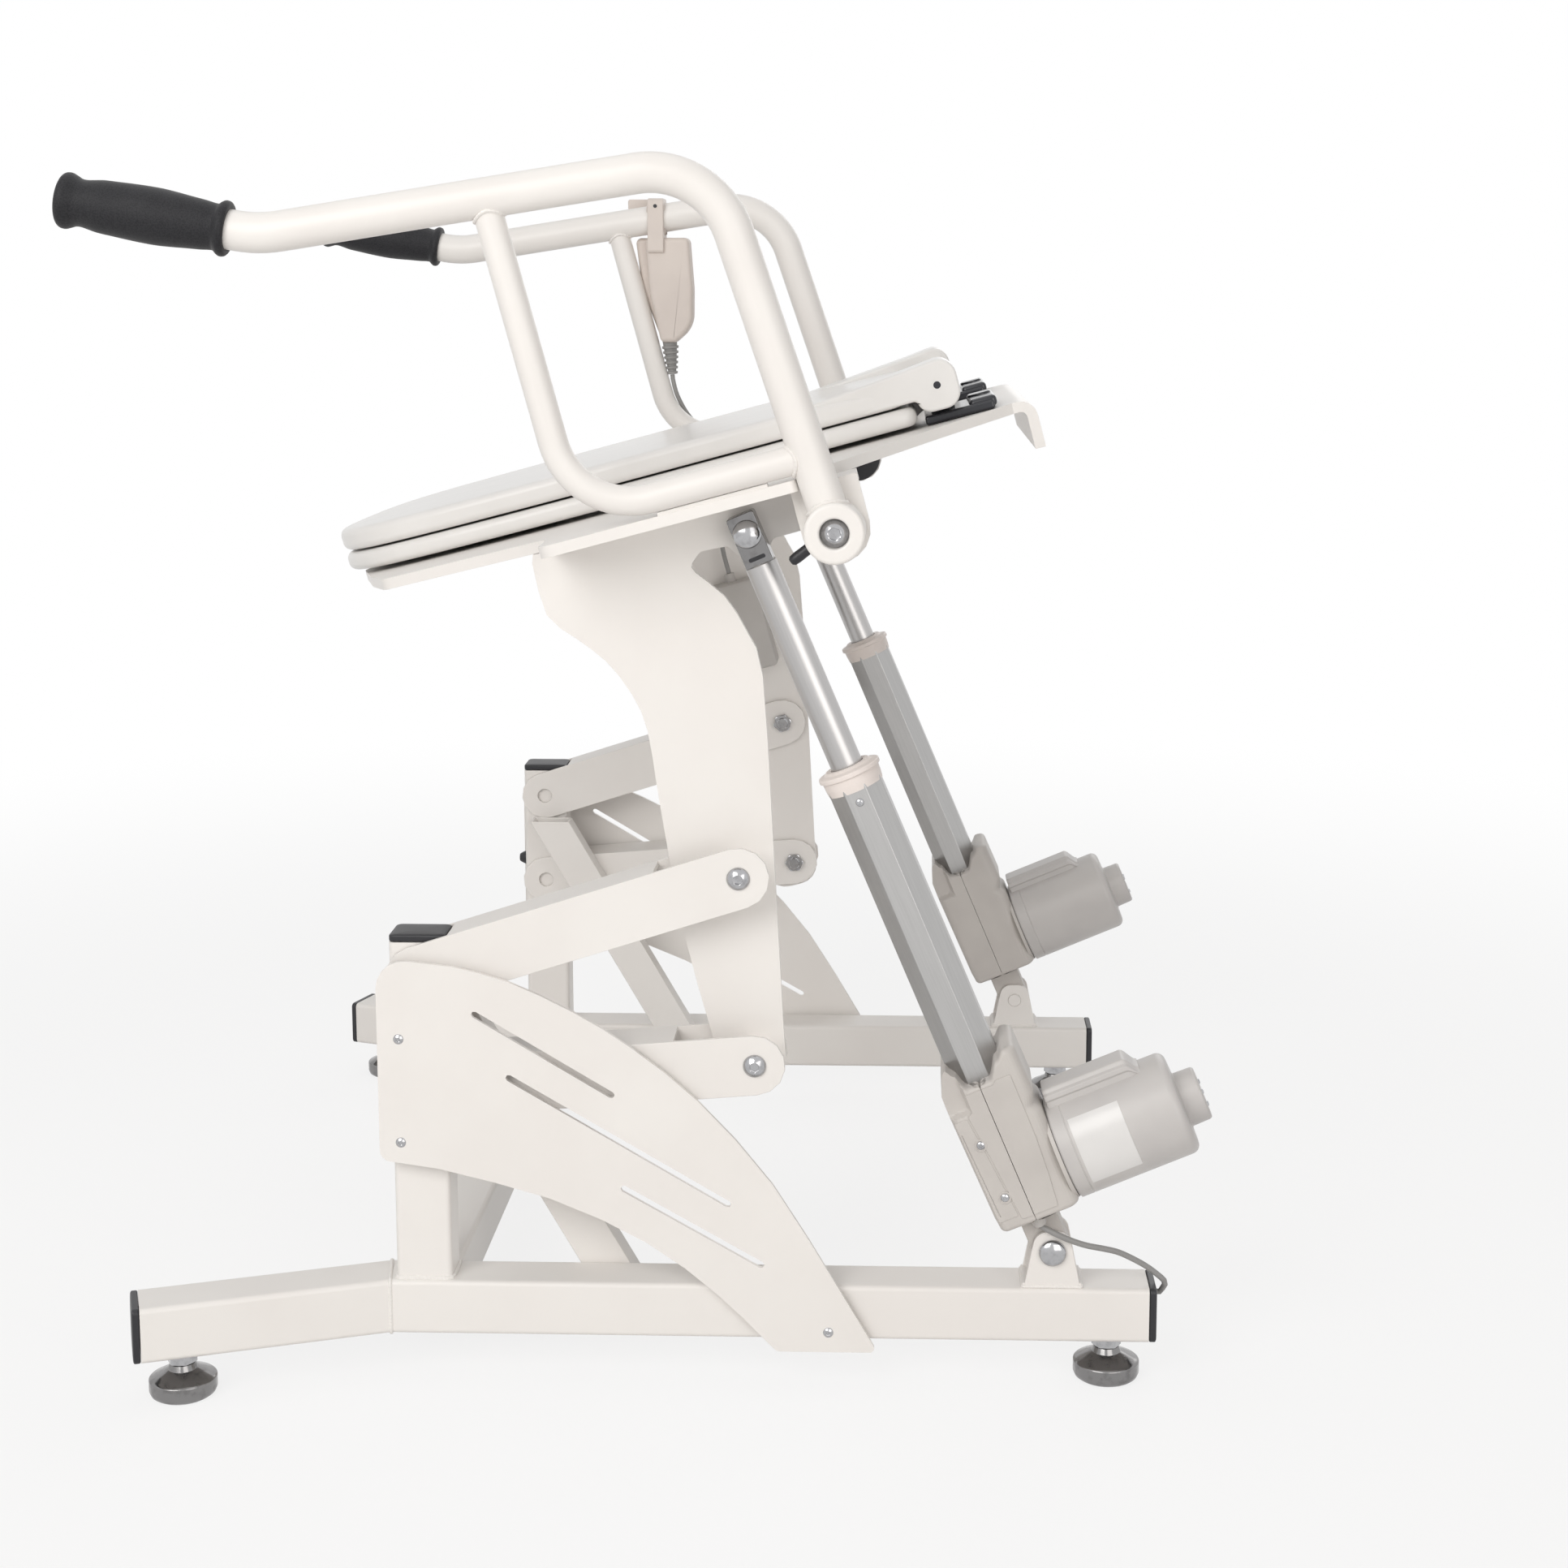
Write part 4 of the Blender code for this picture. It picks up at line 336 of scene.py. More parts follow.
print("a short bar has", len(cord_tube(np.array([(0.0, 0, 0), (0, 0, 0.1)]), 0.01)[0]), "points")


# %% Shapes from an outline
def inset(outline, distance):
    """An outline drawn in by a distance, along the mitre of its two edges at each point."""
    ahead = np.roll(outline, -1, axis=0) - outline
    ahead /= np.maximum(np.linalg.norm(ahead, axis=1, keepdims=True), 1e-12)
    back = np.roll(ahead, 1, axis=0)
    normal = np.stack([-(ahead + back)[:, 1], (ahead + back)[:, 0]], -1)
    size = (normal ** 2).sum(1, keepdims=True) / 2
    x, y = outline[:, 0], outline[:, 1]
    turn = np.sign((x * np.roll(y, -1) - y * np.roll(x, -1)).sum())
    return outline + turn * distance * normal / np.maximum(size, 0.6)


def level(outline, height):
    """An outline laid flat at a height."""
    return np.column_stack([outline, np.full(len(outline), height)])


def rim(outline, low, high, edge, steps=4):
    """The side wall of a cut sheet, with both edges rolled over: at angle a of the quarter turn
    the outline is drawn in by edge (1 - sin a) and lies edge (1 - cos a) above the face."""
    a = np.linspace(0, np.pi / 2, steps + 1)
    insets = np.concatenate([edge * (1 - np.sin(a)), edge * (1 - np.cos(a))])
    heights = np.concatenate([low + edge * (1 - np.cos(a)), high - edge + edge * np.sin(a)])
    return np.array([level(inset(outline, i), h) for i, h in zip(insets, heights)])


def slab(outline, low, high, edge, plane="Z", hole=None, steps=4):
    """A flat piece cut to an outline, with round edges, and with one hole whose outline has as
    many points as the outside."""
    rows = rim(np.asarray(outline, float), low, high, edge, steps)
    if hole is not None:
        rows = np.concatenate([rows, rim(np.asarray(hole, float), low, high, -edge, steps)[::-1]])
    return skin(np.roll(rows, AXIS_ROLL[plane], axis=-1), wrap=hole is not None)


def block(low, high, edge, steps=4):
    """A moulded block between two corners, its upright corners and both rims round."""
    middle, half = np.add(low, high) / 2, np.subtract(high, low) / 2
    outline = rectangle(middle[0], middle[1], half[0], half[1], edge, steps)
    return slab(outline, low[2], high[2], edge, steps=steps)


def hole_like(outline, x, y, half_x, half_y):
    """An oval with a point in the same direction from its centre as each of the outline's."""
    angle = np.arctan2((outline[:, 1] - y) / half_y, (outline[:, 0] - x) / half_x)
    return np.stack([x + half_x * np.cos(angle), y + half_y * np.sin(angle)], -1)


print("a block has", len(block((0, 0, 0), (0.03, 0.02, 0.01), 0.002)[0]), "points")


# %% Parts in a leaning frame
def placed(part, matrix):
    """The part in the frame that the matrix gives."""
    points, faces = part
    m = np.array(matrix)
    return points @ m[:3, :3].T + m[:3, 3], faces


def in_frame(matrix, *parts):
    """Several parts in the same frame, as a list."""
    return [placed(part, matrix) for part in parts]


def mirrored(part):
    """The part's mirror image on the lift's other side."""
    points, faces = part
    return points * (-1, 1, 1), faces


print("the seat's frame stands at", [round(c, 4) for c in seat.translation])

# %% [markdown]
# ## From points to a piece
# A mesh from a grid still has doubled points at its poles and may be inside out. Merging
# the doubles closes it, and recalculating turns every face outwards. Normals weighted by
# face area keep the flat faces flat while the rolled edges shade softly.


# %% Make a piece
def piece(name, parts, finish, body, slot, replaces=(), sharp=40, weighted=True):
    """Joins the parts into one object that rides on a body and stands for CAD nodes."""
    starts = np.cumsum([0] + [len(points) for points, _ in parts])
    faces = []
    for start, (_, grids) in zip(starts, parts):
        faces += [face for grid in grids for face in (grid + start).tolist()]
    mesh = bpy.data.meshes.new(name)
    mesh.from_pydata(np.concatenate([points for points, _ in parts]), [], faces)
    work = bmesh.new()
    work.from_mesh(mesh)
    bmesh.ops.remove_doubles(work, verts=work.verts, dist=0.000002)
    bmesh.ops.recalc_face_normals(work, faces=work.faces)
    work.to_mesh(mesh)
    work.free()
    return dressed(name, mesh, finish, body, replaces, sharp, weighted)


def dressed(name, mesh, finish, body, replaces, sharp, weighted):
    """The mesh as an object with its finish, its shading and its place in the frame."""
    mesh.materials.clear()
    mesh.materials.append(finish)
    mesh.shade_smooth()
    mesh.set_sharp_from_angle(angle=math.radians(sharp))
    made = in_scene(name, mesh)
    if weighted:
        even = made.modifiers.new("even_normals", "WEIGHTED_NORMAL")
        even.keep_sharp = True
    if body:
        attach(made, body)
    if replaces:
        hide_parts(*replaces)
    return made


def both_sides(name, parts, finish, body, slot, replaces=(), **how):
    """The piece on the left and its mirror image on the right."""
    for side in ("left", "right"):
        shapes = parts if side == "left" else [mirrored(part) for part in parts]
        nodes = [node.format(side=side) for node in replaces]
        piece(f"{side}_{name}", shapes, finish, body.format(side=side), slot, nodes, **how)


print("pieces to dress", len(frame["nodes"]))

# %% [markdown]
# ## Pieces taken from the frame
# Cut sheet and plain bars already have their true outline in the frame. A copy of such a
# piece needs only rolled edges, because paint never sits on a sharp one. Its triangles are
# first merged back into flat faces, so that the bevel runs along real edges alone.


# %% Soften a frame piece
def softened(node, name, finish, roll=0.0006, sharp=40):
    """A copy of a CAD node with its triangles merged back into flat faces and its edges rolled."""
    work = bmesh.new()
    work.from_mesh(frame["nodes"][node].data)
    bmesh.ops.remove_doubles(work, verts=work.verts, dist=0.00001)
    bmesh.ops.dissolve_limit(work, angle_limit=math.radians(0.7), verts=work.verts, edges=work.edges)
    work.verts.index_update()
    points = [v.co[:] for v in work.verts]
    mesh = bpy.data.meshes.new(name)
    mesh.from_pydata(points, [], [[v.index for v in face.verts] for face in work.faces])
    work.free()
    made = dressed(name, mesh, finish, frame["nodes"][node]["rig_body"], [node], sharp, False)
    rolled = made.modifiers.new("rolled_edges", "BEVEL")
    rolled.width = roll
    rolled.segments = 2
    rolled.limit_method = "ANGLE"
    rolled.angle_limit = math.radians(sharp)
    rolled.harden_normals = True
    return made


print("the deck comes as", len(frame["nodes"]["seat_deck"].data.polygons), "triangles")

# %% [markdown]
# ## Finishes as small programs
# Every finish reads the object's own coordinates, in metres, so a grain of one millimetre is
# a noise of scale 1000. The wrapper lets a formula be written as one: `0.3 + 0.1 * grain`
# adds the Math nodes. What is the same all over is set on the shader.


# %% Shader arithmetic
class Number:
    """A socket that carries a number. Arithmetic on it adds Math nodes."""

    def __init__(self, finish, socket):
        self.finish = finish
        self.socket = socket

    def maths(self, operation, *values):
        node = self.finish.add("ShaderNodeMath", {"operation": operation}, dict(enumerate(values)))
        return Number(self.finish, node.outputs[0])

    def __add__(self, other):
        return self.maths("ADD", self, other)

    def __rsub__(self, other):
        return self.maths("SUBTRACT", other, self)

    def __mul__(self, other):
        return self.maths("MULTIPLY", self, other)

    __radd__ = __add__
    __rmul__ = __mul__


print("operators with a plain number first:", [name for name in vars(Number) if name.startswith("__r")])


# %% Finish
class Finish:
    """A material in the making: its tree, its shader and the object's coordinates."""

    def __init__(self, name, **shader_values):
        self.material = bpy.data.materials.new(name)
        self.material.use_nodes = True
        self.tree = self.material.node_tree
        self.shader = self.tree.nodes["Principled BSDF"]
        self.place = self.add("ShaderNodeTexCoord").outputs["Object"]
        for socket, value in shader_values.items():
            self.shader.inputs[socket.replace("_", " ")].default_value = value

    def add(self, kind, settings=None, inputs=None):
        """A node of a kind, with its settings first and then its inputs, values or links."""
        node = self.tree.nodes.new(kind)
        for key, value in (settings or {}).items():
            setattr(node, key, value)
        for key, value in (inputs or {}).items():
            self.feed(node.inputs[key], value)
        return node

    def feed(self, socket, value):
        """Links a socket to a source, or sets its plain value."""
        source = value.socket if isinstance(value, Number) else value
        if isinstance(source, bpy.types.NodeSocket):
            self.tree.links.new(source, socket)
        else:
            socket.default_value = source

    def noise(self, grain, detail=2.0, along=None, stretch=1.0):
        """Noise with grains of a size in metres, between 0 and 1. Along a frame's Z axis the
        grains may be stretched, as brushed metal's are."""
        place = self.place
        if along is not None:
            turning = {"Vector": place, "Rotation": along.to_euler()}
            place = self.add("ShaderNodeMapping", {"vector_type": "TEXTURE"}, turning).outputs[0]
            stretching = {"Vector": place, "Scale": (1, 1, 1 / stretch)}
            place = self.add("ShaderNodeMapping", None, stretching).outputs[0]
        inputs = {"Vector": place, "Scale": 1 / grain, "Detail": detail}
        return Number(self, self.add("ShaderNodeTexNoise", None, inputs).outputs["Fac"])

    def band(self, value, low, high):
        """0 below low, 1 above high, and a soft step between them."""
        settings = {"interpolation_type": "SMOOTHSTEP"}
        inputs = {"Value": value, "From Min": low, "From Max": high}
        return Number(self, self.add("ShaderNodeMapRange", settings, inputs).outputs[0])

    def blend(self, share, first, second):
        """A colour between two colours."""
        inputs = {0: share, 6: first, 7: second}
        return self.add("ShaderNodeMix", {"data_type": "RGBA"}, inputs).outputs[2]

    def bumped(self, height, depth, strength=1.0):
        """Relief that moves no points: the height, from 0 to 1, times a depth in metres."""
        inputs = {"Height": height, "Distance": depth, "Strength": strength}
        self.feed(self.shader.inputs["Normal"], self.add("ShaderNodeBump", None, inputs).outputs[0])

    def set(self, **values):
        """Feeds the shader's sockets, named with low lines for spaces."""
        for socket, value in values.items():
            self.feed(self.shader.inputs[socket.replace("_", " ")], value)


def rgb(red, green, blue):
    return (red, green, blue, 1.0)


print("materials that come with the frame", len(bpy.data.materials))

# %% [markdown]
# ## White powder coat
# The steel is powder coated: the powder melts into a satin skin that is never quite level, a
# relief like orange peel about two millimetres across and a few hundredths deep. Two noises
# make the peel, a broad one lets the tone drift, and the thickest spots are the glossiest.


# %% Powder coat
def powder_coat(name, light, shade):
    """Satin paint: its roughness is 0.30 + 0.10 drift + 0.06 peel."""
    finish = Finish(name, IOR=1.5, Specular_IOR_Level=0.45)
    peel = finish.noise(0.0022, 3.0)
    pinholes = finish.noise(0.0006, 1.0)
    drift = finish.noise(0.11, 3.0)
    finish.set(Base_Color=finish.blend(finish.band(drift, 0.35, 0.65), shade, light))
    finish.set(Roughness=0.30 + 0.10 * drift + 0.06 * peel)
    finish.bumped(peel * 0.8 + pinholes * 0.2, 0.00005, 0.5)
    return finish.material


WHITE_PAINT = powder_coat("white_powder_coat", rgb(0.87, 0.845, 0.815), rgb(0.845, 0.815, 0.785))
print("finish", WHITE_PAINT.name, "of", len(WHITE_PAINT.node_tree.nodes), "nodes")

# %% [markdown]
# ## Plastics
# The seat is glossy moulded plastic with a faint waviness where it cooled, and duller spots
# where it is wiped. The handset and collars have the fine sand texture of a spark
# eroded mould, which hides fingerprints, and so have the black caps.


# %% Moulded plastics
def gloss_plastic(name, light, shade, roughness, shine=0.5):
    """Waves of 35 mm tint it, and scuffs of 2 mm dull both the plastic and its clear skin."""
    finish = Finish(name, IOR=1.46, Coat_Roughness=0.15, Specular_IOR_Level=shine)
    cooling = finish.noise(0.035, 2.0)
    scuffs = finish.noise(0.0022, 3.0)
    finish.set(Base_Color=finish.blend(finish.band(cooling, 0.3, 0.7), shade, light))
    finish.set(Roughness=roughness + 0.05 * finish.band(scuffs, 0.50, 0.75) + 0.04 * cooling)
    finish.set(Coat_Weight=0.16 - 0.06 * finish.band(scuffs, 0.5, 0.7))
    finish.bumped(cooling, 0.0002, 0.2)
    return finish.material


def sand_plastic(name, light, shade, roughness, grain=0.0005, depth=0.00004):
    """A fine grain gives the relief and the roughness, and a broad one the tone."""
    finish = Finish(name, IOR=1.5, Specular_IOR_Level=0.4)
    sand = finish.noise(grain, 2.0)
    drift = finish.noise(0.04, 2.0)
    finish.set(Base_Color=finish.blend(finish.band(drift, 0.3, 0.7), shade, light))
    finish.set(Roughness=roughness + 0.12 * sand)
    finish.bumped(sand, depth, 0.6)
    return finish.material


SEAT_WHITE, SEAT_SHADE = rgb(0.84, 0.825, 0.805), rgb(0.815, 0.80, 0.78)
SEAT_PLASTIC = gloss_plastic("white_seat_plastic", SEAT_WHITE, SEAT_SHADE, 0.28, 0.35)
HANDSET = sand_plastic("beige_handset", rgb(0.72, 0.65, 0.60), rgb(0.68, 0.61, 0.565), 0.38)
COLLAR = sand_plastic("pale_collar_plastic", rgb(0.84, 0.77, 0.73), rgb(0.80, 0.73, 0.69), 0.35)
BLACK = sand_plastic("black_moulded_plastic", rgb(0.030, 0.030, 0.034), rgb(0.022, 0.022, 0.026), 0.34)
DARK_GLOSS = gloss_plastic("black_hinge_plastic", rgb(0.020, 0.021, 0.027), rgb(0.014, 0.015, 0.020), 0.16)
MOTOR_GREY = sand_plastic("grey_motor_cover", rgb(0.60, 0.58, 0.565), rgb(0.56, 0.54, 0.53), 0.30,
                          grain=0.0008, depth=0.00002)
BOX_GREY = sand_plastic("grey_control_box", rgb(0.55, 0.53, 0.51), rgb(0.52, 0.50, 0.48), 0.42)
RELIEF_GREY = sand_plastic("grey_strain_relief", rgb(0.33, 0.325, 0.32), rgb(0.28, 0.275, 0.27), 0.42)
SHEATH = sand_plastic("grey_cord_sheath", rgb(0.33, 0.325, 0.32), rgb(0.29, 0.285, 0.28), 0.40,
                      grain=0.0012, depth=0.00003)
print("materials so far", len(bpy.data.materials))

# %% [markdown]
# ## Painted casting
# The gearboxes are die castings under a thin matt paint, so the skin of the casting shows
# through: shallow flow marks a few millimetres across, and a finer tooth on top of them.


# %% Casting paint
def casting_paint(light, shade):
    """Its relief is 0.6 flow + 0.4 tooth, and the tooth alone roughens it."""
    finish = Finish("painted_casting", IOR=1.5, Specular_IOR_Level=0.4)
    flow = finish.noise(0.006, 3.0)
    tooth = finish.noise(0.0007, 2.0)
    drift = finish.noise(0.05, 2.0)
    finish.set(Base_Color=finish.blend(finish.band(drift, 0.3, 0.7), shade, light))
    finish.set(Roughness=0.36 + 0.14 * tooth)
    finish.bumped(flow * 0.6 + tooth * 0.4, 0.00008, 0.6)
    return finish.material


CASTING = casting_paint(rgb(0.60, 0.57, 0.54), rgb(0.54, 0.51, 0.485))
print("finish", CASTING.name, "of", len(CASTING.node_tree.nodes), "nodes")

# %% [markdown]
# ## Grip rubber
# The grips are soft foamed rubber: matt, with painted shade darkening the colour in its pores,
# and a skin that shines a little where hands have polished it.


# %% Grip rubber
def grip_rubber(painted_pore_shade, skin_tone):
    """Its roughness is 0.66, less 0.16 of the polish, plus 0.1 of the pores, whose darker colour is painted
    shade.
    """
    finish = Finish("black_grip_rubber", IOR=1.45, Specular_IOR_Level=0.35, Sheen_Weight=0.15,
                    Sheen_Roughness=0.4)
    pores = finish.noise(0.0009, 3.0)
    polish = finish.noise(0.02, 2.0)
    # Painted shade: the colour is darker where the pore noise is low, in the pores' hollows.
    finish.set(Base_Color=finish.blend(finish.band(pores, 0.35, 0.6), painted_pore_shade, skin_tone))
    finish.set(Roughness=0.66 - 0.16 * polish + 0.1 * pores)
    finish.bumped(pores, 0.00012, 0.8)
    return finish.material


RUBBER = grip_rubber(rgb(0.009, 0.009, 0.011), rgb(0.022, 0.022, 0.025))
print("finish", RUBBER.name, "of", len(RUBBER.node_tree.nodes), "nodes")

# %% [markdown]
# ## Metals
# The bolts and feet are polished steel under chrome: nearly a mirror, dulled in patches by
# handling, and the feet and rod ends carry a darker plating. The actuator tubes are drawn
# aluminium, anodised, and drawing leaves fine streaks along the tube, so their noise is
# stretched forty times along the actuator.


# %% Chrome and aluminium
def polished_steel(name, light, smeared, roughness):
    """A near mirror: handling smears it in patches of 6 mm, and hairlines catch the light."""
    finish = Finish(name, Metallic=1.0)
    handling = finish.noise(0.006, 3.0)
    hairlines = finish.noise(0.0006, 2.0, Matrix.Rotation(0.5, 3, "X"), 12.0)
    smear = finish.band(handling, 0.45, 0.75)
    finish.set(Base_Color=finish.blend(smear, light, smeared))
    finish.set(Roughness=roughness + 0.12 * smear + 0.05 * hairlines)
    finish.bumped(hairlines, 0.00001, 0.3)
    return finish.material


def drawn_aluminium(name, light, shade, roughness):
    """Streaks of 1 mm by 44 mm along the actuator give the tone, the roughness and the relief."""
    finish = Finish(name, Metallic=1.0)
    streaks = finish.noise(0.0011, 3.0, actuator.to_3x3(), 40.0)
    cloud = finish.noise(0.03, 2.0)
    finish.set(Base_Color=finish.blend(finish.band(streaks, 0.30, 0.70), shade, light))
    finish.set(Roughness=roughness + 0.06 * streaks + 0.05 * cloud)
    finish.bumped(streaks, 0.00001, 0.3)
    return finish.material


CHROME = polished_steel("polished_steel", rgb(0.46, 0.46, 0.47), rgb(0.36, 0.36, 0.37), 0.12)
FOOT_STEEL = polished_steel("dark_chromed_feet", rgb(0.25, 0.245, 0.245), rgb(0.19, 0.185, 0.185), 0.15)
TUBE_METAL = drawn_aluminium("anodised_actuator_tube", rgb(0.46, 0.455, 0.45), rgb(0.43, 0.425, 0.42), 0.36)
ROD_METAL = drawn_aluminium("bright_sliding_rod", rgb(0.50, 0.49, 0.485), rgb(0.47, 0.46, 0.455), 0.30)
LABEL = gloss_plastic("bare_label_foil", rgb(0.78, 0.77, 0.76), rgb(0.75, 0.74, 0.73), 0.20)
print("materials now", len(bpy.data.materials))

# %% [markdown]
# ## Cords
# Two cords can be seen. The motor's lead leaves the gearbox beside its lug, loops over the
# rail's end and goes in at the end cap. The handset's cord drops from its strain relief,
# follows the armrest back to the hub and runs under the deck to the control box. Both
# routes are given lists of points, and a soft curve through them is read at even steps.

# %% Where the handset hangs
ARMREST_X = 0.347
HUB = Vector((0, 0.1235, 0.2095))
TOP_CORNER = Vector((0, 0.108, 0.451))
GRIP_CORNER = Vector((0, -0.1765, 0.4812))
HANDSET_U = 0.0015
RELIEF_TOP = (0, 0.0127, -0.1100)
RELIEF_LEAN = math.radians(4)
RELIEF_LENGTH = 0.029
share = (TOP_CORNER.y - HANDSET_U) / (TOP_CORNER.y - GRIP_CORNER.y)
handset_height = TOP_CORNER.z + (GRIP_CORNER.z - TOP_CORNER.z) * share
plumb = seat @ at(-ARMREST_X, HANDSET_U, handset_height) @ turned(-SEAT_TILT, "X")
relief = plumb @ at(*RELIEF_TOP) @ turned(RELIEF_LEAN, "X")
print("the handset hangs at", [round(c, 4) for c in plumb.translation])

# %% Cord routes
CORD_RADIUS = 0.002
CORD_STEP = 0.012
CORD_GAP = 0.0003
STRAIGHT = 0.004
LEAD_X, GLAND_FOOT = 0.308, 0.0245
LEAD_HOLE = (0.285, 0.3333, 0.058)
BOX_GLAND = (-0.2609, -0.010, 0.1433)
LEAD_ROUTE = (
    (0.3100, 0.2585, 0.1125),
    (0.3125, 0.2675, 0.1075),
    (0.3095, 0.2860, 0.1000),
    (0.3040, 0.3050, 0.0942),
    (0.2985, 0.3215, 0.0845),
    (0.2935, 0.3325, 0.0755),
    (0.2890, 0.3405, 0.0660),
    (0.2860, 0.3405, 0.0595),
)
CORD_ROUTE = (
    (-0.3475, -0.0215, 0.3090),
    (-0.3515, -0.0200, 0.2960),
    (-0.3570, -0.0165, 0.2830),
    (-0.3598, -0.0095, 0.2710),
    (-0.3605, 0.0030, 0.2625),
    (-0.3605, 0.0210, 0.2580),
    (-0.3605, 0.0420, 0.2555),
    (-0.3605, 0.0620, 0.2520),
    (-0.3600, 0.0780, 0.2440),
    (-0.3560, 0.0880, 0.2330),
    (-0.3440, 0.0920, 0.2265),
    (-0.3300, 0.0920, 0.2245),
    (-0.3160, 0.0930, 0.2240),
    (-0.3020, 0.0970, 0.2245),
    (-0.2900, 0.1055, 0.2255),
    (-0.2810, 0.1135, 0.2265),
    (-0.2735, 0.1140, 0.2270),
    (-0.2675, 0.1040, 0.2270),
    (-0.2660, 0.0760, 0.2268),
    (-0.2645, 0.0560, 0.2265),
    (-0.2640, 0.0360, 0.2255),
    (-0.2635, 0.0180, 0.2190),
    (-0.2625, 0.0040, 0.2060),
    (-0.2615, -0.0050, 0.1880),
    (-0.2610, -0.0095, 0.1680),
)


def world(matrix, *points):
    """The places of points that were measured in a leaning frame."""
    return np.array([matrix @ Vector(point) for point in points])


def route(start, middle, end):
    """A straight end out, one soft curve read at even steps, and a straight end in."""
    return np.vstack([start[:1], evenly([start[1], *middle, end[0]], CORD_STEP), end[1:]])


lead_start = world(actuator, *[(LEAD_X, 0, GLAND_FOOT - CORD_GAP - STRAIGHT * k) for k in (0, 1)])
lead_end = np.array([(LEAD_HOLE[0], LEAD_HOLE[1] + STRAIGHT * k, LEAD_HOLE[2]) for k in (1, 0)])
lead_path = route(lead_start, LEAD_ROUTE, lead_end)
cord_start = world(relief, *[(0, 0, -RELIEF_LENGTH - CORD_GAP - STRAIGHT * k) for k in (0, 1)])
cord_end = world(seat, *[(BOX_GLAND[0], BOX_GLAND[1], BOX_GLAND[2] + STRAIGHT * k) for k in (1, 0)])
cord_path = route(cord_start, world(seat, *CORD_ROUTE), cord_end)
print("lead", round(length_of(lead_path), 4), "m, handset cord", round(length_of(cord_path), 4), "m")

# %% Lay the cords
FINE_STEP = 0.004
BLEND_START, BLEND_END = (-0.360, 0.030, 0.256), (-0.331, 0.059, 0.246)


def lay_cord(name, node, body, path):
    """A sheath on the same line with points closer together, so that its bends shade as curves."""
    fine = np.vstack([path[:1], evenly(path[1:-1], FINE_STEP), path[-1:]])
    sheath = piece(name, [cord_tube(fine, CORD_RADIUS)], SHEATH, body, "cord_sheath", [node], sharp=80,
                   weighted=False)
    return sheath


lay_cord("motor_lead_sheath", "motor_lead", "base", lead_path)
handset_cord = lay_cord("handset_cord_sheath", "pendant_cord", None, cord_path)
blend_start, blend_end = world(seat, BLEND_START, BLEND_END)
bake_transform(handset_cord)
print("the handset's cord bends from", [round(c, 3) for c in blend_start], "to",
      [round(c, 3) for c in blend_end])

# %% [markdown]
# ## Base frame
# Each side rail is a square tube, and the leg in front of it is a second length, cut on a
# mitre and welded on, which is why the turn is sharp. A rounded square carried along the
# bent line gives both, since at a corner it stands across the halving line, as a mitre
# does. A weld is a bead of overlapping puddles: a round bar along the joint whose
# thickness ripples.

# %% Weld beads
PUDDLE = 0.0025
UP = np.array((0.0, 0.0, 1.0))
LEFT = np.array((1.0, 0.0, 0.0))


def weld(path, size):
    """A bead along a closed joint: its radius is size (1 + 0.10 sin(2 pi run / puddle))."""
    path = np.vstack([path, path[:2]])
    ripple = 1 + 0.10 * np.sin(2 * np.pi * running_length(path) / PUDDLE)
    return cord_tube(path, size * ripple, 8)


def dense(outline, height, step=0.0006):
    """A level closed path along an outline, with points a step apart."""
    closed = np.vstack([outline, outline[:1]])
    return level(read_at(closed, np.arange(0, running_length(closed)[-1], step)), height)


print("a 10 mm square's weld has", len(dense(rectangle(0, 0, 0.005, 0.005, 0.001), 0)), "rings")

# %% Rails and legs
RAIL_X = 0.290
RAIL_SIDE = 0.038
RAIL_Z = 0.050
RAIL_TOP = 0.069
RAIL_REAR = 0.328
MITRE_Y = -0.189
LEG_SPLAY = math.radians(19.1)
LEG_LENGTH = 0.167
TUBE_CORNER = 0.0036
TUBE_WALL = 0.002
GAP = 0.0003
half_rail = RAIL_SIDE / 2
half_splay = LEG_SPLAY / 2
leg_end = (RAIL_X + LEG_LENGTH * math.sin(LEG_SPLAY), MITRE_Y - LEG_LENGTH * math.cos(LEG_SPLAY))
rail_line = rounded([(RAIL_X, RAIL_REAR, 0), (RAIL_X, MITRE_Y, 0.006), (*leg_end, 0)], 40)
rail_section = rectangle(0, 0, half_rail, half_rail, TUBE_CORNER)
rail = sweep(level(rail_line, RAIL_Z), rail_section, UP, TUBE_WALL)
halving = np.array((math.cos(half_splay), math.sin(half_splay), 0.0)) / math.cos(half_splay)
seam = dense(rail_section, 0.0)
seam = np.array((RAIL_X, MITRE_Y, RAIL_Z)) + seam[:, :1] * halving + seam[:, 1:2] * UP
both_sides("rail_tube", [rail, weld(seam, 0.0013)], WHITE_PAINT, "base", "white_paint", ["{side}_rail"])
print("leg ends at", [round(c, 4) for c in leg_end])

# %% Posts, cross tube and braces
POST_Y = -0.163
POST_WIDTH = 0.030
POST_TOP = 0.304
WELD_SIZE = 0.0017
post_outline = rectangle(RAIL_X, POST_Y, POST_WIDTH / 2, half_rail, TUBE_CORNER)
post_line = np.array([(RAIL_X, POST_Y, RAIL_TOP + GAP), (RAIL_X, POST_Y, POST_TOP)])
post = sweep(post_line, rectangle(0, 0, POST_WIDTH / 2, half_rail, TUBE_CORNER), LEFT, TUBE_WALL)
post_weld = weld(dense(post_outline, RAIL_TOP + 0.0006), WELD_SIZE)
both_sides("post_tube", [post, post_weld], WHITE_PAINT, "base", "white_paint", ["{side}_post"])
cross_reach = RAIL_X - half_rail - GAP
cross_line = np.array([(-cross_reach, POST_Y, RAIL_Z), (cross_reach, POST_Y, RAIL_Z)])
cross = sweep(cross_line, rail_section, UP, TUBE_WALL)
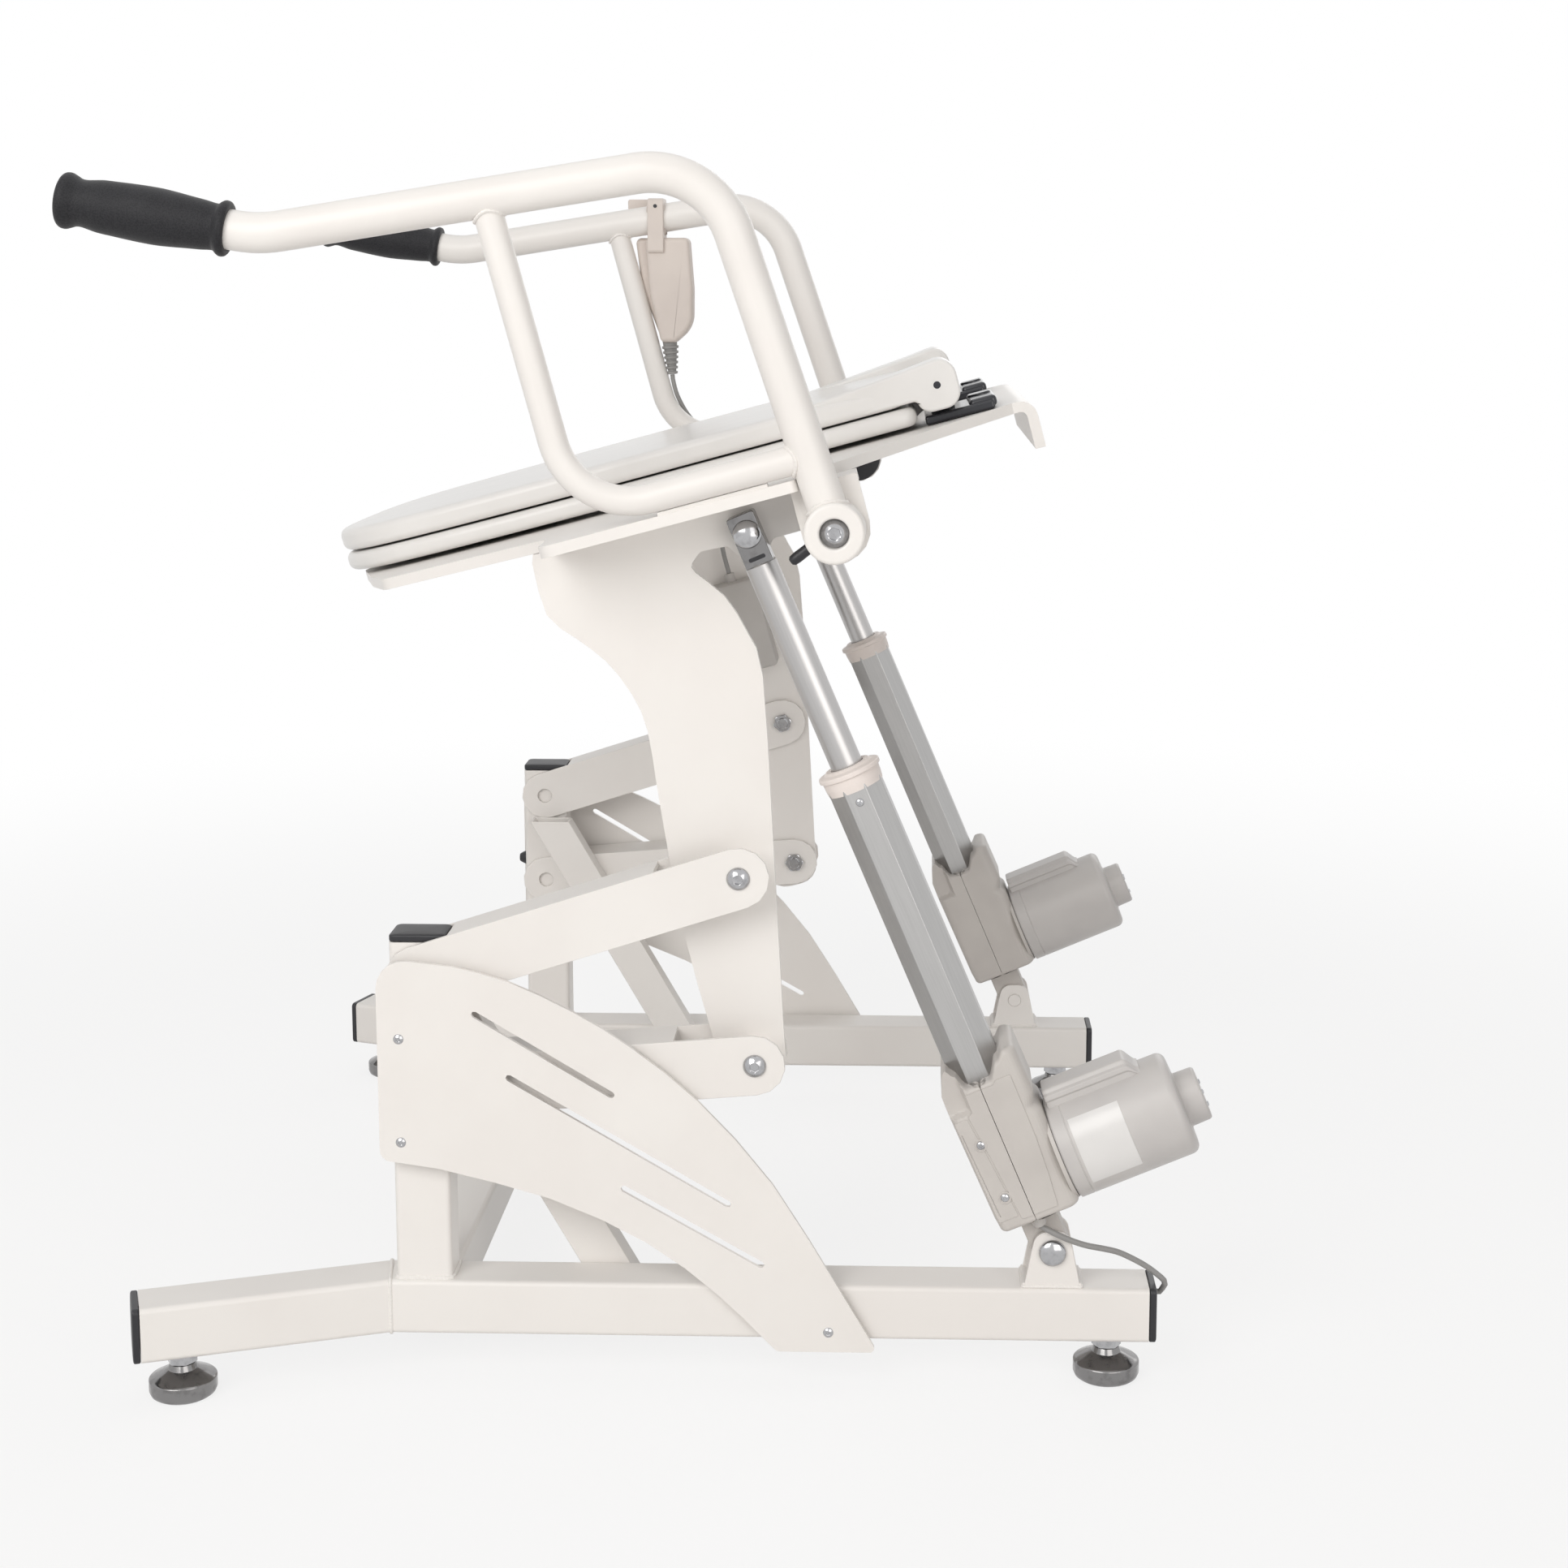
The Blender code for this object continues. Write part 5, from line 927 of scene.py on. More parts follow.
joint = np.roll(dense(rectangle(POST_Y, RAIL_Z, half_rail, half_rail, TUBE_CORNER), 0.0), 1, axis=1)
joints = [weld(joint + (side * (cross_reach - 0.0004), 0, 0), WELD_SIZE) for side in (1, -1)]
piece("cross_tube_with_welds", [cross, *joints], WHITE_PAINT, "base", "white_paint", ["cross_tube"])
for side in ("left", "right"):
    softened(f"{side}_brace", f"{side}_brace_bar", WHITE_PAINT, 0.0008)
print("cross tube", round(2 * cross_reach, 4), "m, with", len(joint), "rings in each weld")

# %% [markdown]
# ## Caps and feet
# The tubes' ends are closed by moulded black caps: a plug inside, and outside a flange as
# large as the tube with its edge drafted and rounded. The feet are pressed chrome domes,
# each screwed into a nut under the rail.

# %% Caps
CAP_THICKNESS = 0.005
PILLOW = 0.0006


def cap(half_x, half_y):
    """A flange whose face rises from a rounded rim: where the outline has shrunk to a share,
    by pillow (1 - share^4)."""
    outline = rectangle(0, 0, half_x, half_y, TUBE_CORNER)
    rows = list(rim(outline, GAP, CAP_THICKNESS, 0.0012)[:8])
    for share in (0.94, 0.8, 0.55, 0.25, 0.02):
        rows.append(level(outline * share, CAP_THICKNESS + PILLOW * (1 - share ** 4)))
    return skin(np.array(rows))


end_cap = cap(half_rail, half_rail)
facing_rear = turned(-math.pi / 2, "X")
leg_cap = placed(end_cap, at(*leg_end, RAIL_Z) @ turned(math.pi + LEG_SPLAY, "Z") @ facing_rear)
rail_cap = placed(end_cap, at(RAIL_X, RAIL_REAR, RAIL_Z) @ facing_rear)
post_cap = placed(cap(POST_WIDTH / 2, half_rail), at(RAIL_X, POST_Y, POST_TOP))
both_sides("leg_end_cap", [leg_cap], BLACK, "base", "black_plastic", ["{side}_leg_cap"])
both_sides("rail_end_cap", [rail_cap], BLACK, "base", "black_plastic", ["{side}_rail_cap"])
both_sides("post_top_cap", [post_cap], BLACK, "base", "black_plastic", ["{side}_post_cap"])
print("a cap stands", CAP_THICKNESS + PILLOW, "m out of its tube")

# %% Feet
FOOT_RADIUS = 0.0225
FOOT_TOP = 0.0217
FEET = {"front": (0.33588, -0.3215), "rear": (RAIL_X, 0.301)}


def foot_profile():
    """From the stem down: a soft curve over the pressed shoulder, then an upright skirt."""
    shoulder = smooth([(0.0100, 0.0180), (0.0135, 0.0163), (0.0190, 0.0135), (0.0222, 0.0118),
                       (FOOT_RADIUS, 0.0100)], 6)
    return [(0, FOOT_TOP), (0.0085, FOOT_TOP), (0.0090, 0.0205), *shoulder, (FOOT_RADIUS, 0.0040),
            (0.0215, 0.0015), (0.0195, 0.0), (0, 0)]


def six_sided(angle, half):
    """How far a hexagon reaches in a direction: half its width over the flats, divided by the
    cosine of the angle from the middle of the nearest flat."""
    return half / np.cos((angle + np.pi / 6) % (np.pi / 3) - np.pi / 6)


def nut(flats, low, high):
    """A hexagonal nut whose corners are turned off at both faces."""
    a = 2 * np.pi * np.arange(72) / 72
    heights = np.array([low, low + 0.0006, high - 0.0006, high])
    limits = np.array([0.96, 1.12, 1.12, 0.96]) * flats / 2
    radius = np.minimum(six_sided(a, flats / 2)[None], limits[:, None])
    return skin(np.stack([radius * np.cos(a), radius * np.sin(a), heights[:, None] + 0 * radius], -1))


for end, (x, y) in FEET.items():
    foot = "{side}_" + end + "_foot"
    dome, foot_nut = in_frame(at(x, y), lathe(foot_profile(), 56), nut(0.018, 0.0222, 0.0309))
    both_sides(f"{end}_foot_dome", [dome], FOOT_STEEL, foot, "polished_steel", [foot])
    both_sides(f"{end}_foot_nut", [foot_nut], CHROME, "base", "polished_steel")
print("the foot's outline has", len(foot_profile()), "points")

# %% [markdown]
# ## Bolts
# Every pivot shows a button-head bolt: a low dome with a hexagonal socket. The head is a
# turned dome, and the socket is made by letting the same rings run down its six walls.


# %% Bolt heads
def button_head(radius, height, socket):
    """Rings from the rim over the dome to the socket's lip, then six-sided down to its floor."""
    a = 2 * np.pi * np.arange(48) / 48
    hexagon = six_sided(a, socket)[None]
    rise = np.sin(np.linspace(0, 1, 9)[1:, None] * np.pi / 2)
    dome = radius + (socket * 1.25 - radius) * rise ** 1.4 + 0 * a
    none = 0 * hexagon
    rings = [0.90 * radius + none, radius + none, dome, hexagon * 1.06, hexagon, hexagon, none]
    levels = [[-0.0003], [0.0], height * rise[:, 0] ** 0.8, [height - 0.0001], [height - 0.0006],
              [0.35 * height], [0.30 * height]]
    r, h = np.concatenate(rings), np.concatenate(levels)[:, None]
    return skin(np.stack([h + 0 * r, r * np.cos(a), r * np.sin(a)], -1), caps=(True, False))


print("a bolt's head has", len(button_head(0.0078, 0.0038, 0.0028)[0]), "points")

# %% Arms, plates and covers
CHANNEL_HALF = 0.0187
ARM_BOLT = 0.0078
NUT_HEIGHT = 0.005
inwards = turned(-math.pi / 2, "Y")


def arm_bolt(length):
    """Head outside the arm, shank through it, and a nut with the bolt's end inside."""
    outside, inside = RAIL_X + CHANNEL_HALF, RAIL_X - CHANNEL_HALF
    head = placed(button_head(ARM_BOLT, 0.0038, 0.0028), at(outside + GAP, length))
    shank_profile = [(0.005, outside), (0.005, inside - 0.0065), (0.0044, inside - 0.0072)]
    back_nut = placed(nut(0.0145, 0, NUT_HEIGHT), at(inside - GAP, length) @ inwards)
    return [head, lathe(shank_profile, 24, "X", (0, length, 0)), back_nut]


for name, arm, length in (("upper", upper_arm, UPPER_LENGTH), ("lower", lower_arm, LOWER_LENGTH)):
    bolt = in_frame(arm, *arm_bolt(length))
    both_sides(f"{name}_arm_bolt", bolt, CHROME, f"{name}_arms", "polished_steel",
               ["{side}_" + name + "_pivot_bolt"])
for side in ("left", "right"):
    for node in ("upper_arm", "lower_arm", "support_plate", "side_cover"):
        softened(f"{side}_{node}", f"{side}_{node}_sheet", WHITE_PAINT, 0.0007)

# %% [markdown]
# ## Seat deck
# The deck is one thick plate, cut with wings for the armrests and a large oval opening, and
# folded down at the back. The frame's own plate already has that outline, so a copy of it
# is enough: its flat faces are merged, and a bevel rolls every edge as the paint does.

# %% Deck
deck_plate = softened("seat_deck", "seat_deck_plate", WHITE_PAINT, 0.0012)
print("deck faces", len(deck_plate.data.polygons))

# %% [markdown]
# ## Seat ring and lid
# Both are moulded, egg-shaped in front and square behind. The lid is a shallow crowned
# shell with a rolled rim, and it thickens towards its two rear knuckles. The ring is the
# same outline round a hole. Rings of the outline, drawn in and raised, make both.

# %% Seat ring
SEAT_HALF_WIDTH = 0.185
SEAT_FRONT = -0.250
SEAT_REAR = 0.190
SEAT_EDGE = 0.0055
RING_BOTTOM, RING_TOP = 0.251, 0.2645
PIN_U, PIN_V = 0.209, 0.2745
LUG_START, LUG_END = 0.095, 0.1197
BUMPER_LOW, BUMPER_HIGH = 0.2478, RING_BOTTOM + 0.002
SEAT_CURVE = ((0.40, 0.003), (0.68, 0.016), (0.86, 0.046), (0.96, 0.105), (1.0, 0.190), (0.985, 0.320))
BUMPER_SPOTS = ((0.110, -0.170), (0.145, 0.080))


def seat_outline(rear, steps=10):
    """The egg-shaped edge as a soft curve through a few points, and the square rear with round
    corners."""
    half = [(share * SEAT_HALF_WIDTH, SEAT_FRONT + back) for share, back in SEAT_CURVE]
    nose = smooth([(-x, y) for x, y in half[::-1]] + [(0, SEAT_FRONT)] + half, steps)
    wide, narrow = 0.985 * SEAT_HALF_WIDTH, 0.93 * SEAT_HALF_WIDTH
    tail = rounded([(wide, 0, 0), (narrow, rear, 0.012), (-narrow, rear, 0.012), (-wide, 0, 0)], 8)[1:-1]
    return np.vstack([nose, tail])


ring_outline = seat_outline(SEAT_REAR)
ring_hole = hole_like(ring_outline, 0, -0.046, 0.105, 0.132)
ring = slab(ring_outline, RING_BOTTOM, RING_TOP, SEAT_EDGE, hole=ring_hole, steps=6)
lug_outline = hull_outline((0.184, RING_BOTTOM + 0.00675), 0.0055, (PIN_U, PIN_V), 0.009)
ring_lug = slab(lug_outline, LUG_START, LUG_END, 0.001, "X")
bumper = lathe([(0, BUMPER_LOW), (0.007, BUMPER_LOW), (0.008, 0.2490), (0.008, BUMPER_HIGH),
                (0, BUMPER_HIGH)], 24)
bumpers = [placed(bumper, at(side * x, u)) for side in (1, -1) for x, u in BUMPER_SPOTS]
piece("seat_ring_moulding", in_frame(seat, ring, ring_lug, mirrored(ring_lug)), SEAT_PLASTIC, "seat_ring",
      "white_seat", ["seat_ring"])
piece("seat_ring_bumpers", in_frame(seat, *bumpers), COLLAR, "seat_ring", "white_seat")
print("the ring's outline has", len(ring_outline), "points")

# %% Seat lid
LID_BOTTOM, LID_TOP = 0.266, 0.282
LID_CROWN = 0.0016
CHEEK_START, CHEEK_END = 0.1200, 0.1735
PLUG_RADIUS, PLUG_START = 0.0026, 0.1732


def crowned(outline, low, high, crown, centre):
    """A lid: a rim with rolled edges, then rings that shrink to the centre by a share s while
    they rise by crown (1 - s^2)."""
    rows = list(rim(outline, low, high, SEAT_EDGE, 6))
    top = rows[-1][:, :2]
    for s in np.linspace(0.97, 0.0, 14):
        rows.append(level(centre + (top - centre) * s, high + crown * (1 - s * s)))
    return skin(np.array(rows), caps=(True, False))


def cheek():
    """The lid's thickened rear corner: side-on it swells from the lid into the round knuckle."""
    front, rear = PIN_U - 0.0155, PIN_U + 0.0150
    low, high = PIN_V - 0.0175, PIN_V + 0.0190
    hidden = SEAT_REAR - 0.100
    outline = rounded([(hidden, LID_BOTTOM + 0.001, 0), (front - 0.001, LID_BOTTOM + 0.001, 0.003),
                       (front + 0.001, low, 0.0105), (rear, low, 0.012), (rear, high, 0.0125),
                       (front - 0.004, high - 0.004, 0.030), (hidden, LID_TOP - 0.001, 0)], 10)
    return slab(outline, CHEEK_START, CHEEK_END, 0.0022, "X", steps=5)


lid = crowned(seat_outline(SEAT_REAR - 0.006), LID_BOTTOM, LID_TOP, LID_CROWN, np.array((0.0, -0.02)))
piece("seat_lid_moulding", in_frame(seat, lid, cheek(), mirrored(cheek())), SEAT_PLASTIC, "seat_lid",
      "white_seat", ["seat_lid"])
plug_profile = [(0, 0.1737), (PLUG_RADIUS, 0.1737), (PLUG_RADIUS, PLUG_START), (0, PLUG_START)]
pin_plug = lathe(plug_profile, 20, "X", (0, PIN_U, PIN_V))
both_sides("hinge_pin_plug", in_frame(seat, pin_plug), DARK_GLOSS, "seat_lid", "black_plastic")
print("the lid has", len(lid[0]), "points")

# %% [markdown]
# ## Seat hinges
# Each hinge stands on a black foot that is clamped to the deck with a knob, so that the
# seat can be lifted off for cleaning. The foot and its block are moulded with round edges.

# %% Hinges
DECK_TOP = 0.2475
hinge_foot = block((0.065, 0.195, DECK_TOP + GAP), (0.160, 0.245, DECK_TOP + 0.007), 0.002)
hinge_block = block((0.066, 0.2275, DECK_TOP + 0.002), (0.159, 0.247, DECK_TOP + 0.0102), 0.003)
hinge_outline = hull_outline((PIN_U, DECK_TOP + 0.0103), 0.009, (PIN_U, PIN_V), 0.0085)
hinge_post = slab(hinge_outline, 0.070, 0.0947, 0.0015, "X")
hinge_axle = lathe([(0.003, 0.0705), (0.003, 0.1494)], 24, "X", (0, PIN_U, PIN_V))
knob_profile = rounded([(0, 0.0116, 0), (0.0085, 0.0116, 0.0008), (0.0085, 0.0100, 0.0002),
                        (0.0075, 0.0090, 0), (0, 0.0090, 0)], 5)
hinge_knob = placed(lathe(knob_profile, 40), at(0.1125, 0.2365, DECK_TOP))
hinge = in_frame(seat, hinge_foot, hinge_block, hinge_post, hinge_axle, hinge_knob)
both_sides("hinge_body", hinge, DARK_GLOSS, "seat_frame", "black_plastic", ["{side}_seat_hinge"])
print("a hinge has", len(hinge), "parts")

# %% [markdown]
# ## Armrests
# An armrest is a tube bent twice, welded at its foot to a hub that turns on a bolt, with a
# thinner tube welded in below it as a brace. Where one tube meets another or the hub, the
# weld follows a saddle: round the branch at angle a it lies sqrt(R^2 - (r sin a)^2) from the
# main tube's axis, where R and r are the two radii.

# %% Armrest lines
TUBE_RADIUS = 0.0127
THIN_RADIUS = 0.0095
GRIP_SLOPE = math.radians(25)
GRIP_LENGTH = 0.108
THIN_U, THIN_V = -0.0335, 0.2595
hub_spot, top_corner, grip_corner = (np.array(p.yz) for p in (HUB, TOP_CORNER, GRIP_CORNER))
grip_way = np.array((-math.cos(GRIP_SLOPE), math.sin(GRIP_SLOPE)))
grip_foot = grip_corner + grip_way * 0.0185
tip = grip_foot + grip_way * (GRIP_LENGTH - 0.015)
upright = (top_corner - hub_spot) / np.hypot(*(top_corner - hub_spot))
top_run = (grip_corner - top_corner) / np.hypot(*(grip_corner - top_corner))
foot_end = hub_spot + upright * 0.012
main_line = rounded([(*foot_end, 0), (*top_corner, 0.055), (*grip_corner, 0.080), (*tip, 0)], 24)
thin_top = top_corner + top_run * (top_corner[0] - THIN_U) / -top_run[0]
thin_end = hub_spot + upright * (THIN_V - hub_spot[1]) / upright[1]
thin_line = rounded([(*thin_top, 0), (THIN_U, THIN_V, 0.050), (*thin_end, 0)], 24)
print("armrest tube", round(length_of(main_line), 3), "m, brace", round(length_of(thin_line), 3), "m")

# %% Armrest tubes
HUB_RADIUS = 0.0195
HUB_START, HUB_END = 0.334, 0.366
HUB_BORE = 0.0052


def in_plane(line):
    """The line, drawn in (y, z), in the armrest's plane."""
    return np.column_stack([np.full(len(line), ARMREST_X), line])


def saddle(spot, branch, main_radius, radius, size, crossing):
    """The weld round a branch tube that leaves a main tube at a spot. The wave is the cosine of
    the angle where the main axis is the hub's, and the sine where it is another tube's."""
    angle = np.linspace(0, 2 * np.pi, 140, endpoint=False)
    across = np.array((-branch[1], branch[0]))
    grown = radius + 0.3 * size
    reach = np.sqrt(main_radius ** 2 - (radius * crossing(angle)) ** 2) + 0.3 * size
    flat = spot + reach[:, None] * branch + (grown * np.cos(angle))[:, None] * across
    return weld(np.column_stack([ARMREST_X + grown * np.sin(angle), flat]), size)


main_tube = sweep(in_plane(main_line), circle(TUBE_RADIUS, 32), LEFT)
thin_tube = sweep(in_plane(thin_line), circle(THIN_RADIUS, 28), LEFT)
hub_profile = rounded([(HUB_BORE, HUB_END - 0.006, 0), (0.0094, HUB_END - 0.006, 0.0006),
                       (0.0096, HUB_END, 0.0018), (HUB_RADIUS, HUB_END, 0.0028),
                       (HUB_RADIUS, HUB_START, 0.0012), (0.012, HUB_START, 0), (0.012, 0.3313, 0),
                       (HUB_BORE, 0.3313, 0)], 6)
hub = lathe(hub_profile, 56, "X", (0, *hub_spot), closed=True)
beads = [saddle(hub_spot, upright, HUB_RADIUS, TUBE_RADIUS, 0.0013, np.cos),
         saddle(thin_end, np.array((-1.0, 0.0)), TUBE_RADIUS, THIN_RADIUS, 0.0012, np.sin),
         saddle(thin_top, np.array((0.0, -1.0)), TUBE_RADIUS, THIN_RADIUS, 0.0012, np.sin)]
both_sides("armrest_tubes", in_frame(seat, main_tube, thin_tube, hub, *beads), WHITE_PAINT,
           "{side}_armrest", "white_paint", ["{side}_armrest"])
print("an armrest has", len(beads), "welds")

# %% Grips
GRIP_SHAPE = ((0.0000, 0.0160), (0.0012, 0.0172), (0.0035, 0.0176), (0.0055, 0.0166), (0.0078, 0.0148),
              (0.0110, 0.0148), (0.0161, 0.0155), (0.0254, 0.0163), (0.0350, 0.0172), (0.0440, 0.0178),
              (0.0530, 0.0178), (0.0624, 0.0175), (0.0720, 0.0170), (0.0810, 0.0165), (0.0870, 0.0155),
              (0.0915, 0.0148), (0.0950, 0.0150), (0.0985, 0.0165), (0.1015, 0.0176), (0.1045, 0.0172),
              (0.1065, 0.0150), (0.1077, 0.0100), (0.1080, 0.0050))
BORE_END = GRIP_LENGTH - 0.012


def grip_profile():
    """Down the grip from its closed end: a soft curve through the swell and both flanges, then
    the bore for the tube."""
    outside = [(r, h) for h, r in smooth(GRIP_SHAPE, 5)[::-1]]
    bore = TUBE_RADIUS + GAP
    return [(0, GRIP_LENGTH), *outside, (bore, 0.0), (bore, BORE_END), (0, BORE_END)]


grip_turn = math.atan2(grip_way[1], grip_way[0]) - math.pi / 2
grip = lathe(grip_profile(), 56)
both_sides("hand_grip", in_frame(seat @ at(ARMREST_X, *grip_foot) @ turned(grip_turn, "X"), grip), RUBBER,
           "{side}_armrest", "grip_rubber", ["{side}_grip"], sharp=60, weighted=False)
print("a grip has", len(grip[0]), "points")

# %% Hub bolts and release levers
LEVER_LOW, LEVER_HIGH = 0.3165, 0.3245
LEVER_TIP = (-0.0342, -0.0144)
hub_face = HUB_END - 0.006 + GAP
hub_bolt = [placed(button_head(0.0092, 0.0050, 0.0035), at(hub_face, *hub_spot)),
            lathe([(0.005, hub_face), (0.005, 0.3100)], 28, "X", (0, *hub_spot)),
            placed(nut(0.0150, 0, NUT_HEIGHT), at(0.3162, *hub_spot) @ inwards)]
both_sides("hub_bolt", in_frame(seat, *hub_bolt), CHROME, "seat_frame", "polished_steel",
           ["{side}_armrest_bolt"])
lever_profile = rounded([(0.0053, LEVER_LOW, 0), (0.021, LEVER_LOW, 0.001), (0.021, LEVER_HIGH, 0.001),
                         (0.0053, LEVER_HIGH, 0)], 4)
lever_disc = lathe(lever_profile, 48, "X", (0, *hub_spot), closed=True)
stub_turn = math.atan2(LEVER_TIP[1], LEVER_TIP[0]) - math.pi / 2
stub_reach = math.hypot(*LEVER_TIP)
stub_profile = [(0, stub_reach), (0.0020, stub_reach - 0.0002), (0.0034, stub_reach - 0.0016),
                (0.0038, stub_reach - 0.005), (0.0036, 0.018), (0, 0.018)]
stub = placed(lathe(stub_profile, 28), at(0.3205, *hub_spot) @ turned(stub_turn, "X"))
both_sides("lever_disc", in_frame(seat, lever_disc, stub), BLACK, "{side}_release_lever",
           "black_plastic", ["{side}_release_lever"])
print("a lever reaches", round(stub_reach, 4), "m from the hub")

# %% [markdown]
# ## Actuator brackets
# Each actuator stands in a bracket on its rail: a foot plate and two ears, welded together
# and painted, with a domed chrome pin through them. An ear is cut from sheet, so its
# outline is drawn flat and given a thickness.

# %% Brackets
ACTUATOR_X = 0.291
PIN_Y, PIN_Z = swing_pivot[1:]
EAR_TOP = PIN_Z + 0.0140
FOOT_LOW = RAIL_TOP + GAP
FOOT_HALF_X, FOOT_HALF_Y = 0.0158, 0.020
DOME_RISE = 0.0042


def domed_head(radius, skirt, low, base, y, z):
    """A plain head that lies along X: a short skirt, then at angle a of the quarter turn
    (radius cos a, base + rise sin a)."""
    quarter = np.linspace(0, np.pi / 2, 10)
    dome = np.stack([radius * np.cos(quarter), base + DOME_RISE * np.sin(quarter)], -1)
    return lathe([(0, low), (skirt, low), *dome[:-1], (0, dome[-1, 1])], 48, "X", (0, y, z))


ear_outline = rounded([(PIN_Y - 0.0189, FOOT_LOW, 0.0004), (PIN_Y + 0.0189, FOOT_LOW, 0.0004),
                       (PIN_Y + 0.0112, EAR_TOP, 0.0098), (PIN_Y - 0.0112, EAR_TOP, 0.0098)], 12)
ears = [slab(ear_outline, ACTUATOR_X + x, ACTUATOR_X + x + 0.003, 0.0005, "X") for x in (-0.016, 0.013)]
foot_plate = block((ACTUATOR_X - FOOT_HALF_X, PIN_Y - FOOT_HALF_Y, FOOT_LOW),
                   (ACTUATOR_X + FOOT_HALF_X, PIN_Y + FOOT_HALF_Y, RAIL_TOP + 0.0033), 0.0008)
pin_profile = [(0.0052, ACTUATOR_X - 0.0175), (0.0060, ACTUATOR_X - 0.0165), (0.0060, ACTUATOR_X + 0.0160)]
pin = lathe(pin_profile, 32, "X", (0, PIN_Y, PIN_Z))
plate_outline = rectangle(ACTUATOR_X, PIN_Y, FOOT_HALF_X, FOOT_HALF_Y, 0.001)
plate_weld = weld(dense(plate_outline, RAIL_TOP + 0.0008), 0.0012)
both_sides("bracket_ears", [*ears, foot_plate, pin, plate_weld], WHITE_PAINT, "base", "white_paint",
           ["{side}_actuator_bracket"])
pin_head = domed_head(0.0092, 0.0088, ACTUATOR_X + 0.0162, ACTUATOR_X + 0.0173, PIN_Y, PIN_Z)
both_sides("bracket_pin_head", [pin_head], CHROME, "base", "polished_steel")
print("a bracket's pin lies at", [round(c, 4) for c in (PIN_Y, PIN_Z)])

# %% [markdown]
# ## Gearboxes
# A gearbox is two castings that meet in a flat joint, and the joint shows as a thin line.
# Each half is a stack of rounded rectangles up the actuator whose front and rear follow the
# casting's slow taper, and whose top dips to a saddle round the tube. The raised faces and
# the screw bosses on its sides have crisp edges, so they are thin plates of their own.


# %% The casting's faces
def soft_step(value, low, high):
    """0 below low, 1 above high, and t^2 (3 - 2 t) between them."""
    t = np.clip((value - low) / (high - low), 0, 1)
    return t * t * (3 - 2 * t)


def saddle_top(y):
    """The height of the casting's top: low beside the tube's flat, high at the front and rear."""
    out = np.abs(y)
    return 0.1307 + 0.0104 * soft_step(out, 0.0075, 0.0165) + 0.0056 * soft_step(out, 0.0165, 0.0240)


def front_face(z):
    """Where the front lies at a height, read from the casting's side view."""
    heights = (0.0290, 0.0407, 0.1170, 0.1308, 0.1467)
    return np.interp(z, heights, (-0.0245, -0.0257, -0.0269, -0.0266, -0.0200))


def rear_face(z):
    """Where the rear lies, with a notch beside the motor's hood."""
    heights = (0.0290, 0.0985, 0.1040, 0.1120, 0.1467)
    return np.interp(z, heights, (0.0316, 0.0316, 0.0282, 0.0315, 0.0310))


print("half way up the casting is", round(rear_face(0.08) - front_face(0.08), 4), "m deep")

# %% Gearbox halves
GEAR_HALF = 0.0292
GEAR_LOW, GEAR_HIGH = 0.029, 0.1467
GEAR_EDGE = 0.0035
MIDDLE_ROWS = 72


def casting_outline(depth, seam, corner):
    """A half's section, from the seam to its depth. Along it stand its own corners and 129
    points evenly spaced, so that the top can bend between them."""
    corners = [(-GEAR_HALF, seam, 0.0006), (GEAR_HALF, seam, 0.0006), (GEAR_HALF, depth, corner),
               (-GEAR_HALF, depth, corner)]
    outline = rounded(corners if depth > 0 else corners[::-1], 7)
    closed = np.vstack([outline, outline[:1]])
    run = running_length(closed)
    between = np.linspace(0, run[-1], 130, endpoint=False)[1:]
    return read_at(closed, np.sort(np.concatenate([run[:-1], between])))


def casting_rows(outline):
    """The outline at each height. Near both ends it shrinks along a quarter circle."""
    a = np.linspace(0, np.pi / 2, 6)
    low, high = GEAR_LOW + GEAR_EDGE, GEAR_HIGH - GEAR_EDGE
    heights = np.concatenate([GEAR_LOW + GEAR_EDGE * (1 - np.sin(a))[::-1],
                              np.linspace(low, high, MIDDLE_ROWS + 2)[1:-1], high + GEAR_EDGE * np.sin(a)])
    drawn_in = GEAR_EDGE * (1 - np.cos(a))
    insets = np.concatenate([drawn_in[::-1], np.zeros(MIDDLE_ROWS), drawn_in])
    return [level(inset(outline, i), z) for i, z in zip(insets, heights)]


def casting(face, seam, corner=0.0052):
    """One half, from the seam at y = 0 to a face: each row is stretched so that its front or
    rear is the face's at that height, and the last rows close the top in on its middle."""
    depth = face(0.08)
    rows = casting_rows(casting_outline(depth, seam, corner))
    middle = np.array((0.0, depth / 2))
    for share in (0.9, 0.75, 0.5, 0.25):
        rows.append(np.column_stack([middle + (rows[-1][:, :2] - middle) * share, rows[-1][:, 2]]))
    x, y, z = np.moveaxis(np.array(rows), -1, 0)
    z = GEAR_LOW + (z - GEAR_LOW) * (saddle_top(y) - GEAR_LOW) / (GEAR_HIGH - GEAR_LOW)
    y = y * (face(z) / depth)
    set_back = 0.0050 * soft_step(z, 0.1140, 0.1165) * soft_step(-y, 0.0110, 0.0135)
    x = np.sign(x) * np.minimum(np.abs(x), GEAR_HALF - set_back)
    return skin(np.stack([ACTUATOR_X + x, y, z], -1))


front_half = casting(front_face, -0.0001)
rear_half = casting(rear_face, 0.0001, 0.0090)
print("a half has", len(front_half[0]), "points")

